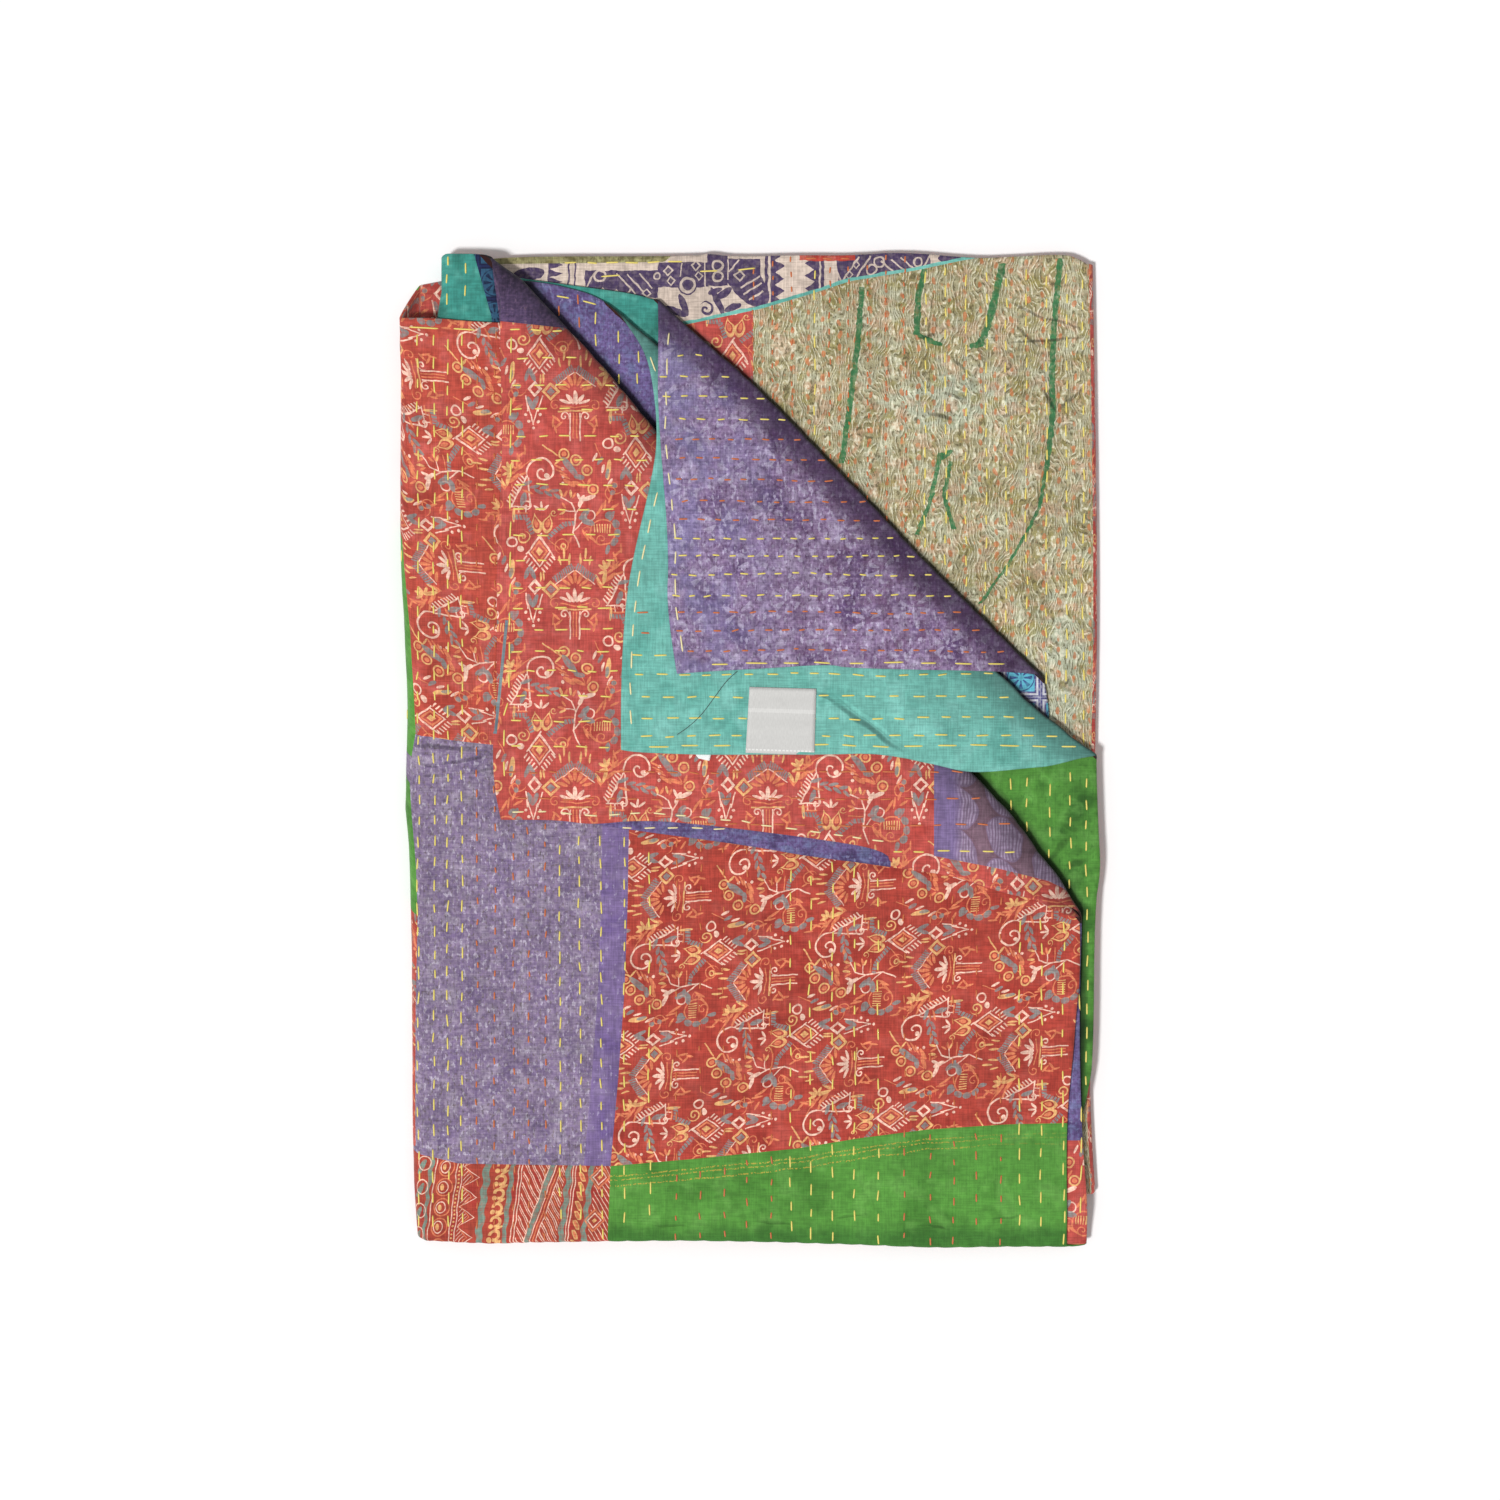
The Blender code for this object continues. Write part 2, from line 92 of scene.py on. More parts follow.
@dataclass(frozen=True)
class ClothSizes:
    """Sizes of the folded cloth, in millimetres."""

    cloth: float = 2.2
    pitch: float = 3.0
    roll_loose: float = 0.6
    pinch: float = 0.4
    side_squash: float = 2.5
    corner_bulge: float = 0.15
    corner_start: float = 0.955
    corner_run: float = 0.04
    bottom_bulge: float = 1.5
    climb_run: float = 120.0
    climb_least: float = 16.0
    climb_lap: float = 6.0
    high_climb: float = 2.0
    flap_rise: float = 3.0
    level_reach: float = 0.01
    droop: float = 2.4
    droop_run: float = 45.0
    hang: float = 8.0
    hang_start: float = 9.0
    hang_run: float = 36.0
    cut_reach: float = 0.45
    hem_share: float = 0.11
    rim: float = 0.7
    wide_wrap: float = 3.5
    narrow_wrap: float = 2.0
    nothing: float = 1e-6

    @property
    def roll(self) -> float:
        """Radius of the turn of a corner that lies on its own leaf."""
        return self.pitch / 2

    @property
    def pair_roll(self) -> float:
        """Radius of the outer one of two corners that are turned together."""
        return self.roll + self.pitch

    def height(self, level: float) -> float:
        """Height of the middle of a leaf at a level."""
        return self.cloth / 2 + self.pitch * level


@dataclass(frozen=True)
class MeshSteps:
    """How finely the cloth is divided."""

    across_shown: int = 20
    across_hidden: int = 5
    along: int = 26
    along_hem: int = 4
    refine: int = 8
    round_side: int = 8
    round_bottom: int = 5
    round_crease: int = 8


SIZES = ClothSizes()
STEPS = MeshSteps()

# Outlines as (x, y) from the packet's middle: side edges from bottom to top, others rightwards.
OUTER_LEFT: Line = ((-262, -386), (-265, -330), (-264, -199), (-267, -64), (-271, -17),
                    (-266, 11), (-269, 86), (-273, 117), (-275, 165), (-276, 275), (-277, 340))
LEAF_8_LEFT: Line = ((-263, -381), (-268, -317), (-270, -64), (-278, -33), (-271, -9),
                     (-278, 149), (-276, 275), (-271, 310), (-269, 330), (-269.5, 352),
                     (-270, 370))
LEAF_2_LEFT: Line = ((-259, -386), (-261, -330), (-260, -199), (-263, -64), (-263, 60),
                     (-268, 130), (-271, 200), (-271, 260), (-262, 310), (-247, 345), (-247, 391))
LEAF_7_LEFT: Line = ((-260, -381), (-264, -317), (-266, -64), (-268, -9), (-272, 149),
                     (-270, 250), (-260, 305), (-246, 345), (-246, 384))
INNER_LEFT: Line = ((-251, -384), (-252, -200), (-253, 0), (-255, 130), (-250, 250),
                    (-236, 320), (-228, 374))
RIGHT_FOLD: Line = ((275, -350), (270, -268), (273, -125), (275, 0), (277, 117), (275, 275),
                    (273, 384))
TOP_PAIR_BOTTOM: Line = ((-262, -386), (-207, -391), (-182, -390), (-40, -388), (87, -392),
                         (142, -395), (197, -394), (267, -391))
THIRD_PAIR_BOTTOM: Line = ((-251, -383), (0, -385), (252, -388))
LOWER_BOTTOM: Line = ((-263, -381), (0, -369), (275, -350))


@dataclass(frozen=True)
class Crease:
    """The line that the outside of a turned corner makes.

    roll is the radius of the turn, and bows gives how far the line bows out, as
    (share of the line, bow).
    """

    start: Pair
    end: Pair
    roll: float
    bows: Line


RED_CREASE = Crease((-203, 389), (263, -129), SIZES.pair_roll,
                    ((0, 0), (0.05, 6), (0.17, 7.5), (0.28, 5), (0.55, 7), (0.81, 10),
                     (0.86, 10.5), (0.94, 6), (1, 0)))
TEAL_CREASE = Crease((-96, 340), (274, -3), SIZES.roll,
                     ((0, 0), (0.07, 1.5), (0.3, 0), (0.6, -2), (0.82, -5), (0.87, -6),
                      (0.95, -3), (1, 0)))
VIOLET_CREASE = Crease((-68, 353), (233, 57), SIZES.roll,
                       ((0, 0), (0.25, 5), (0.5, 3), (0.7, 0.5), (1, 0)))


@dataclass(frozen=True)
class Leaf:
    """One leaf of the packet and its place in the pile, counted in pitches from the bottom.

    A leaf with a crease has its top and right edges up to the crease, and its flap's edges
    from the crease to the flap's corner. roll is the radius of its own turn.
    """

    level: int
    left: Line
    bottom: Line
    right: Line
    top: Line
    crease: Crease | None = None
    roll: float = 0.0
    flap_left: Line = ()
    flap_bottom: Line = ()


LEAVES: dict[int, Leaf] = {
    1: Leaf(7, OUTER_LEFT, TOP_PAIR_BOTTOM,
            ((251, -392), (250, -293), (256, -238), (258, -207), (261, -183), (261, -129)),
            ((-284, 340), (-247, 340), (-217, 337), (-160, 335)),
            RED_CREASE, SIZES.roll,
            ((-160, 335), (-158, 149), (-154, -53)),
            ((261, -129), (112, -92), (47, -84), (4, -76), (-62, -67), (-119, -59),
             (-154, -53))),
    2: Leaf(6, LEAF_2_LEFT, TOP_PAIR_BOTTOM,
            ((267, -391), (267, -357), (263, -309), (261, -246), (261, -183), (263, -129)),
            ((-247, 391), (-214, 391), (-203, 389)),
            RED_CREASE, SIZES.pair_roll,
            ((-203, 389), (-196, 335), (-197, 38), (-201, 23), (-201, -25), (-195, -55)),
            ((263, -129), (237, -114), (197, -104), (146, -94), (113, -92), (109, -79),
             (47, -69), (-40, -58), (-87, -55), (-124, -59), (-150, -55), (-195, -55))),
    3: Leaf(5, INNER_LEFT, THIRD_PAIR_BOTTOM,
            ((252, -388), (259, -340), (262, -295), (268, -270), (272, -245), (273, -125),
             (278, -96), (276, -64), (274, -3)),
            ((-228, 374), (-165, 369), (-145, 365), (-120, 358), (-96, 340)),
            TEAL_CREASE, SIZES.roll,
            ((-96, 340), (-85, 321), (-76, 296), (-71, 252), (-74, 220), (-91, 149),
             (-97, 109), (-100, 54), (-100, 0)),
            ((274, -3), (237, -13), (197, -17), (158, -15), (106, -2), (55, -4), (-24, -4),
             (-87, -2), (-100, 0))),
    4: Leaf(4, INNER_LEFT, THIRD_PAIR_BOTTOM,
            ((252, -388), (245, -120), (238, 27), (233, 57)),
            ((-228, 378), (-120, 364), (-90, 360), (-68, 353)),
            VIOLET_CREASE, SIZES.roll,
            ((-68, 353), (-71, 244), (-62, 149), (-64, 117), (-56, 60)),
            ((233, 57), (226, 62), (79, 64), (63, 68), (8, 64), (-56, 60))),
    5: Leaf(3, INNER_LEFT, LOWER_BOTTOM, RIGHT_FOLD,
            ((-228, 384), (-199, 390), (-40, 390), (-33, 392.5), (-14, 389.5), (42, 391),
             (81, 390.5), (120, 393.5), (177, 388.5), (198, 389), (250, 392), (261, 388),
             (273, 384))),
    6: Leaf(2, INNER_LEFT, LOWER_BOTTOM, RIGHT_FOLD, ((-228, 380), (270, 386))),
    7: Leaf(1, LEAF_7_LEFT, LOWER_BOTTOM, RIGHT_FOLD, ((-246, 384), (270, 386))),
    8: Leaf(0, LEAF_8_LEFT, LOWER_BOTTOM, RIGHT_FOLD, ((-270, 368), (-198, 380), (273, 384))),
}


@dataclass(frozen=True)
class Course:
    """Two leaves, of the outside and the inside ply, that the cloth reaches one after another."""

    outside: int
    inside: int
    cells: int
    leftwards: bool


COURSES: tuple[Course, ...] = (
    Course(1, 2, STEPS.across_shown, True),
    Course(8, 7, STEPS.across_hidden, False),
    Course(5, 6, STEPS.across_shown, True),
    Course(4, 3, STEPS.across_shown, False),
)

PINCH_SIDE: dict[int, Side] = {1: Side.FRONT, 3: Side.FRONT, 4: Side.BACK}

# What a flap climbs over on its way in: the crease, and the rise in pitches.
CLIMBS: dict[int, tuple[tuple[Crease, int], ...]] = {
    3: ((RED_CREASE, 4),), 4: ((TEAL_CREASE, 2), (RED_CREASE, 4))}


def mix(first: float, second: float, share: float) -> float:
    """The value (or vector) that lies the given share of the way from first to second."""
    return first * (1 - share) + second * share


def smooth_step(share: float) -> float:
    """A smooth rise from 0 to 1, flat outside that range."""
    share = min(max(share, 0.0), 1.0)
    return share * share * (3 - 2 * share)


def vectors(points: Iterable[Pair]) -> list[Vector]:
    """A line of pairs as a list of vectors."""
    return [Vector(point) for point in points]


def verts_of(faces: Iterable[bmesh.types.BMFace]) -> list[bmesh.types.BMVert]:
    """The points of some faces, each once, in an order that is the same every time."""
    return list(dict.fromkeys(vert for face in faces for vert in face.verts))


def edges_of(faces: Iterable[bmesh.types.BMFace]) -> list[bmesh.types.BMEdge]:
    """The edges of some faces, each once, in an order that is the same every time."""
    return list(dict.fromkeys(edge for face in faces for edge in face.edges))


def round_off(points: list[Vector], times: int = 2) -> list[Vector]:
    """A polyline with its corners cut, its two ends kept.

    Args:
        points: the polyline's points.
        times: how often its corners are cut.

    Returns:
        The new polyline.
    """
    for _ in range(times):
        cut = [points[0]]
        for first, second in zip(points, points[1:]):
            cut += [first.lerp(second, 0.25), first.lerp(second, 0.75)]
        points = cut + [points[-1]]
    return points


class Path:
    """A polyline that is read by the share of its length."""

    def __init__(self, points: list[Vector]) -> None:
        """Args:
            points: the line's points, in order.
        """
        self.points = points
        self.reach = [0.0]
        for first, second in zip(points, points[1:]):
            self.reach.append(self.reach[-1] + (second - first).length)

    def at(self, share: float) -> Vector:
        """The point that lies the given share of the way along.

        Args:
            share: the share of the way.

        Returns:
            The point.
        """
        wanted = share * self.reach[-1]
        low, high = 0, len(self.reach) - 1
        while high - low > 1:
            middle = (low + high) // 2
            if self.reach[middle] <= wanted:
                low = middle
            else:
                high = middle
        span = self.reach[high] - self.reach[low]
        return self.points[low].lerp(self.points[high], (wanted - self.reach[low]) / span)


class CreaseFrame:
    """Coordinates along a crease (t) and across it towards the turned corner (q)."""

    def __init__(self, crease: Crease, inset: float) -> None:
        """Args:
            crease: the line that the turned cloth makes.
            inset: how far the axis of the turn lies inside that line.
        """
        self.start = Vector(crease.start)
        line = Vector(crease.end) - self.start
        self.length = line.length
        self.along = line.normalized()
        self.across = Vector((-self.along.y, self.along.x))
        self.bows = crease.bows
        self.inset = inset

    def bow(self, t: float) -> float:
        """How far the axis lies off the straight line at t.

        Args:
            t: how far along the crease.

        Returns:
            The distance, towards the corner.
        """
        share = min(max(t / self.length, 0.0), 1.0)
        for (from_share, from_bow), (to_share, to_bow) in zip(self.bows, self.bows[1:]):
            if share <= to_share:
                part = smooth_step((share - from_share) / (to_share - from_share))
                return mix(from_bow, to_bow, part) - self.inset
        return -self.inset

    def to_crease(self, point: Vector) -> Vector:
        """(t, q) of a point of the packet's plane.

        Args:
            point: the point.

        Returns:
            How far it is along the crease and across it.
        """
        offset = point - self.start
        t = offset.dot(self.along)
        return Vector((t, offset.dot(self.across) - self.bow(t)))

    def to_plane(self, t: float, q: float) -> Vector:
        """The point of the packet's plane at (t, q)."""
        return self.start + self.along * t + self.across * (q + self.bow(t))

    def unfold(self, point: Vector, roll: float) -> Vector:
        """Where a point of a flap lies when its corner is laid flat again."""
        t, q = self.to_crease(point)
        return self.to_plane(t, math.pi * roll - q)


def turning_frame(leaf: Leaf) -> CreaseFrame:
    """The coordinates in which a leaf's corner is turned, with q measured from the axis."""
    return CreaseFrame(leaf.crease, leaf.crease.roll + SIZES.roll_loose + SIZES.cloth / 2)


class LeafPlan:
    """A leaf laid flat, as a patch between its four edges."""

    def __init__(self, number: int, course: Course, beside: Course, right_pair: bool) -> None:
        """Args:
            number: which leaf.
            course: the course that it is in.
            beside: the course that it joins at its left edge.
            right_pair: whether it joins another leaf at its right edge.
        """
        leaf = LEAVES[number]
        left, bottom, right, top = self._edges(leaf)
        left = self._inset(left, course, beside, 1)
        if right_pair:
            right = self._inset(right, COURSES[1], COURSES[2], -1)
        top[0], top[-1] = left[-1].copy(), right[-1].copy()
        bottom[0], bottom[-1] = left[0].copy(), right[0].copy()
        self.level = leaf.level
        self.corners = (left[0], right[0], left[-1], right[-1])
        self.left, self.right = Path(round_off(left)), Path(round_off(right))
        self.bottom, self.top = Path(round_off(bottom)), Path(round_off(top))

    @staticmethod
    def _edges(leaf: Leaf) -> tuple[list[Vector], ...]:
        """The left, bottom, right and top edges, with the flap laid flat.

        Args:
            leaf: the leaf.

        Returns:
            The points of the four edges.
        """
        right, top = vectors(leaf.right), vectors(leaf.top)
        if leaf.crease:
            turning = turning_frame(leaf)
            right += [turning.unfold(p, leaf.roll) for p in vectors(leaf.flap_bottom)[1:]]
            top += [turning.unfold(p, leaf.roll) for p in vectors(leaf.flap_left)[1:-1]]
            top.append(right[-1].copy())
        left = vectors(leaf.left)
        left[-1] = top[0].copy()
        rise = Vector((0, SIZES.bottom_bulge + SIZES.cloth / 2))
        bottom = [point + rise for point in vectors(leaf.bottom)]
        bottom[0], bottom[-1] = left[0].copy(), right[0].copy()
        return left, bottom, right, top

    @staticmethod
    def _inset(edge: list[Vector], course: Course, beside: Course, sense: int) -> list[Vector]:
        """A side edge moved in, so that the widest fold there reaches the packet's outline.

        Args:
            edge: the edge's points.
            course: the course that the leaf is in.
            beside: the course that it joins there.
            sense: 1 to move the edge to the right, -1 to the left.

        Returns:
            The moved points.
        """
        bulge = max(fold_bulge(course.outside, beside.outside),
                    fold_bulge(course.inside, beside.inside))
        return [point + Vector(((bulge + SIZES.cloth / 2) * sense, 0)) for point in edge]

    def at(self, a: float, b: float) -> Vector:
        """The point a of the way across the leaf and b of the way up it.

        Args:
            a: the share of the way across the leaf.
            b: the share of the way up the leaf.

        Returns:
            The point, in the packet's plane.
        """
        across = mix(self.left.at(b), self.right.at(b), a)
        upward = mix(self.bottom.at(a), self.top.at(a), b)
        first, second, third, fourth = self.corners
        return across + upward - mix(mix(first, second, a), mix(third, fourth, a), b)


def fold_bulge(first: int, second: int) -> float:
    """The bulge of the side fold that joins two leaves."""
    half_height = abs(LEAVES[first].level - LEAVES[second].level) * SIZES.pitch / 2
    return half_height - SIZES.side_squash if half_height > 2 * SIZES.pitch else half_height


def half_turn(first: Vector, second: Vector, outward: Vector, bulge: float,
              share: float) -> Vector:
    """A point of the half ellipse that joins first to second round outward.

    Args:
        first: where the turn starts.
        second: where it ends.
        outward: the way that it bulges.
        bulge: how far it bulges.
        share: the share of the way round.

    Returns:
        The point.
    """
    angle = math.pi * share
    middle = (first + second) / 2
    return middle + (first - second) / 2 * math.cos(angle) + outward * bulge * math.sin(angle)


@dataclass
class Column:
    """One line of points across the cloth's two plies.

    folded is, on a side fold, the two leaves that follow and the share of the way round to
    them. wrap is the share of the way round from the upper leaf, also on a fold's two ends.
    """

    outside: int
    inside: int
    a: float
    wrap: float = 0.0
    folded: tuple[int, int, float] | None = None


@dataclass
class Marks:
    """The layers of marks that the cloth's middle surface carries while it is folded."""

    leaf: object
    owner: object
    kind: object
    cell: object
    a: object
    b: object
    pinch: object
    past: object
    wrap_x: object
    wrap_y: object
    flat: object
    turned: object


class MiddleSurface:
    """The middle surface of the cloth, from laid flat to folded."""

    def __init__(self, shown_cells: set[int] | None) -> None:
        """Args:
            shown_cells: the cells that are made finer, or None for a coarse trial.
        """
        self.shown_cells = shown_cells
        self.mesh = bmesh.new()
        self.marks = self._add_marks()
        self.plans = self._plans()
        self.shares = self._shares()

    def _add_marks(self) -> Marks:
        """Adds the layers to the mesh.

        Returns:
            The layers.
        """
        faces, verts = self.mesh.faces.layers, self.mesh.verts.layers
        for name in ("leaf", "owner", "kind", "cell"):
            faces.int.new(name)
        for name in ("a", "b", "pinch", "past", "wrap_x", "wrap_y"):
            verts.float.new(name)
        for name in ("flat", "turned"):
            verts.float_vector.new(name)
        return Marks(faces.int["leaf"], faces.int["owner"], faces.int["kind"], faces.int["cell"],
                     verts.float["a"], verts.float["b"], verts.float["pinch"],
                     verts.float["past"], verts.float["wrap_x"], verts.float["wrap_y"],
                     verts.float_vector["flat"], verts.float_vector["turned"])

    @staticmethod
    def _plans() -> dict[int, LeafPlan]:
        """Each leaf laid flat.

        Returns:
            The flat leaves by their numbers.
        """
        plans = {}
        for index, course in enumerate(COURSES):
            beside = COURSES[index ^ 1]
            for number in (course.outside, course.inside):
                plans[number] = LeafPlan(number, course, beside, index in (1, 2))
        return plans

    @staticmethod
    def _shares() -> list[float]:
        """How far up a leaf each row of points lies, from the open edge to the bottom fold.

        Returns:
            The shares, from 1 down to 0.
        """
        rows, hem = STEPS.along, STEPS.along_hem
        shares = [1 - (1 - SIZES.hem_share) * row / rows for row in range(rows)]
        return shares + [SIZES.hem_share * (1 - row / hem) for row in range(hem + 1)]

    def _columns(self) -> list[Column]:
        """The columns of the whole cloth, leaf after leaf, with those of the side folds.

        Returns:
            The columns, from leaf 1 to leaf 4.
        """
        columns = []
        for index, course in enumerate(COURSES):
            for cell in range(course.cells + 1):
                a = cell / course.cells
                a = 1 - a if course.leftwards else a
                columns.append(Column(course.outside, course.inside, a))
            if index in (1, 2):
                columns[-1].wrap = 1.0
            if index == 1:
                columns[-1 - course.cells].wrap = 1.0
            if index + 1 == len(COURSES):
                break
            following = COURSES[index + 1]
            for step in range(1, STEPS.round_side):
                share = step / STEPS.round_side
                side = 0.0 if course.leftwards else 1.0
                wrap = share if index == 0 else 1 - share
                columns.append(Column(course.outside, course.inside, side, wrap,
                                      (following.outside, following.inside, share)))
        return columns

    def _point(self, number: int, following: int | None, a: float, b: float,
               share: float) -> Vector:
        """A point of a leaf, or of the side fold that joins it to the following one.

        Args:
            number: which leaf.
            following: the leaf that the side fold leads to, if it is one.
            a: the share of the way across the leaf.
            b: the share of the way up the leaf.
            share: the share of the way round the fold.

        Returns:
            The point.
        """
        first = self.plans[number].at(a, b).to_3d()
        first.z = SIZES.height(LEAVES[number].level)
        if following is None:
            return first
        second = self.plans[following].at(a, b).to_3d()
        second.z = SIZES.height(LEAVES[following].level)
        outward = Vector((1 if a > 0.5 else -1, 0, 0))
        bulge = fold_bulge(number, following)
        if number == 1:
            past = smooth_step((b - SIZES.corner_start) / SIZES.corner_run)
            bulge *= mix(1.0, SIZES.corner_bulge, past)
        return half_turn(first, second, outward, bulge, share)

    def lay_out(self) -> None:
        """Makes the whole cloth's grid of points and faces, with its corners still flat."""
        columns = self._columns()
        rows = [(0, b, 0.0) for b in self.shares]
        rows += [(2, 0.0, step / STEPS.round_bottom) for step in range(1, STEPS.round_bottom)]
        rows += [(1, b, 0.0) for b in reversed(self.shares)]
        down = Vector((0, -1, 0))
        grid = []
        for column in columns:
            after = column.folded or (None, None, 0.0)
            line = []
            for ply, b, share in rows:
                outer = self._point(column.outside, after[0], column.a, b, after[2])
                inner = self._point(column.inside, after[1], column.a, b, after[2])
                point = outer if ply == 0 else inner
                if ply == 2:
                    point = half_turn(outer, inner, down, SIZES.bottom_bulge, share)
                vert = self.mesh.verts.new(point)
                self._mark(vert, column, ply, b, share)
                line.append(vert)
            grid.append(line)
        self._fill(columns, rows, grid)

    def _mark(self, vert: bmesh.types.BMVert, column: Column, ply: int, b: float,
              share: float) -> None:
        """Marks a point with its place on its leaf, laid flat, and how far it is round a fold.

        Args:
            vert: the point.
            column: the column that it is in.
            ply: 0 for the outside ply, 1 for the inside one, 2 for the fold between them.
            b: the share of the way up the leaf.
            share: the share of the way round the bottom fold.
        """
        marks = self.marks
        number = column.inside if ply == 1 else column.outside
        vert[marks.a], vert[marks.b] = column.a, b
        vert[marks.flat] = self.plans[number].at(column.a, b).to_3d()
        pitches = SIZES.wide_wrap if number in (1, 8, 5) else SIZES.narrow_wrap
        round_side = math.pi * SIZES.pitch * pitches
        vert[marks.wrap_x] = round_side * column.wrap * (1 if column.a > 0.5 else -1)
        round_bottom = math.pi * SIZES.pitch / 2
        vert[marks.wrap_y] = round_bottom * (share if ply == 2 else ply)

    def _fill(self, columns: list[Column], rows: list, grid: list) -> None:
        """Makes the faces between the points, and marks them.

        Args:
            columns: the cloth's columns.
            rows: the ply, the height and the share of each row.
            grid: the points, column after column.
        """
        cell = 0
        for i, (first, second) in enumerate(zip(columns, columns[1:])):
            side_fold = bool(first.folded or second.folded)
            for j, (upper, lower) in enumerate(zip(rows, rows[1:])):
                bottom_fold = upper[0] == 2 or lower[0] == 2
                face = self.mesh.faces.new((grid[i][j], grid[i][j + 1],
                                            grid[i + 1][j + 1], grid[i + 1][j]))
                inside = upper[0] == 1
                owner = first.inside if inside else first.outside
                other = second.inside if inside else second.outside
                face[self.marks.owner] = min(owner, other) if side_fold else owner
                face[self.marks.leaf] = 0 if side_fold or bottom_fold else owner
                kind = Kind.PAGE
                if side_fold:
                    kind = Kind.SIDE_FOLD
                elif bottom_fold:
                    kind = Kind.BOTTOM_FOLD
                face[self.marks.kind] = kind.value
                face[self.marks.cell] = cell
                cell += 1

    def refine(self) -> None:
        """Divides the shown cells, and the shown folds along their length."""
        marks = self.marks
        edges: dict[bmesh.types.BMEdge, None] = {}
        for face in self.mesh.faces:
            if face[marks.cell] not in self.shown_cells:
                continue
            kind = Kind(face[marks.kind])
            for edge in face.edges:
                first, second = edge.verts
                along = abs(first[marks.b] - second[marks.b]) > SIZES.nothing
                across = abs(first[marks.a] - second[marks.a]) > SIZES.nothing
                if kind is Kind.PAGE or (kind is Kind.SIDE_FOLD and along) \
                        or (kind is Kind.BOTTOM_FOLD and across):
                    edges[edge] = None
        bmesh.ops.subdivide_edges(self.mesh, edges=list(edges), cuts=STEPS.refine - 1,
                                  use_grid_fill=True)
        number_of = {}
        for face in self.mesh.faces:
            if face[marks.kind] == Kind.PAGE.value:
                for vert in face.verts:
                    number_of[vert] = face[marks.owner]
        for vert, number in number_of.items():
            place = self.plans[number].at(vert[marks.a], vert[marks.b])
            vert.co.x, vert.co.y = place
            vert[marks.flat] = place.to_3d()

    def turn_corner(self, number: int) -> None:
        """Turns down the top right corner of a leaf, round its crease.

        Args:
            number: which leaf.
        """
        leaf, marks = LEAVES[number], self.marks
        turning = turning_frame(leaf)
        arc = math.pi * leaf.roll
        faces = [face for face in self.mesh.faces if face[marks.leaf] == number]
        for vert in verts_of(faces):
            t, q = turning.to_crease(vert.co.to_2d())
            vert.co = Vector((t, q, vert.co.z))
        for step in range(STEPS.round_crease + 1):
            geometry = [*faces, *edges_of(faces), *verts_of(faces)]
            distance = arc * step / STEPS.round_crease
            cut = bmesh.ops.bisect_plane(self.mesh, geom=geometry, dist=SIZES.cut_reach,
                                         plane_co=(0, distance, 0), plane_no=(0, 1, 0))
            faces = [item for item in cut["geom"] if isinstance(item, bmesh.types.BMFace)]
        for face in faces:
            kind = Kind.FLAP if face.calc_center_median().y > 0 else Kind.PAGE
            face[marks.kind] = kind.value
        for vert in verts_of(faces):
            t, past = vert.co.x, vert.co.y
            vert[marks.turned] = turning.to_plane(t, arc - past).to_3d()
            vert[marks.past] = past - arc / 2
            if number in PINCH_SIDE and -SIZES.cut_reach < past < arc + SIZES.cut_reach:
                vert[marks.pinch] = 1.0
            if past > 0:
                angle = min(past / leaf.roll, math.pi)
                vert.co.y = (leaf.roll + SIZES.roll_loose) * math.sin(angle) - max(past - arc, 0)
                vert.co.z += leaf.roll * (1 - math.cos(angle))
            place = turning.to_plane(t, vert.co.y)
            vert.co.x, vert.co.y = place

    def flap_verts(self, number: int) -> list[bmesh.types.BMVert]:
        """The points of a leaf's flap."""
        return verts_of(face for face in self.mesh.faces if face[self.marks.leaf] == number
                        and face[self.marks.kind] == Kind.FLAP.value)

    def climb(self, number: int) -> None:
        """Lifts a flap over the creases that it crosses.

        Args:
            number: which leaf.
        """
        own = turning_frame(LEAVES[number])
        for crease, rise in CLIMBS.get(number, ()):
            over = CreaseFrame(crease, 0)
            lap = SIZES.climb_lap * (1.0 if rise > SIZES.high_climb else 0.5)
            for vert in self.flap_verts(number):
                past = over.to_crease(vert.co.to_2d()).y
                room = past - own.to_crease(vert.co.to_2d()).y
                run = min(max(room, SIZES.climb_least), SIZES.climb_run)
                vert.co.z += rise * SIZES.pitch * smooth_step((run - lap - past) / run)

    def sag_beside(self) -> None:
        """Lets the flap of leaf 2 down beside the narrower flap of leaf 1 inside it."""
        left_edge = LEAVES[1].flap_left[1][0]
        top = SIZES.height(LEAVES[2].level + SIZES.flap_rise)
        for vert in self.flap_verts(2):
            if abs(vert.co.z - top) < SIZES.level_reach:
                beside = (left_edge - vert.co.x) / SIZES.droop_run
                vert.co.z -= SIZES.droop * smooth_step(beside)

    def hang_over_lower_edge(self) -> None:
        """Lets the upper leaves down where they reach past the lower ones."""
        edge = Path(vectors(LOWER_BOTTOM))
        start, end = LOWER_BOTTOM[0][0], LOWER_BOTTOM[-1][0]
        for vert in self.mesh.verts:
            if vert.co.z < SIZES.height(LEAVES[4].level) - SIZES.pitch / 2:
                continue
            side = min(max((vert.co.x - start) / (end - start), 0), 1)
            overhang = edge.at(side).y - vert.co.y
            vert.co.z -= SIZES.hang * smooth_step((overhang - SIZES.hang_start) / SIZES.hang_run)

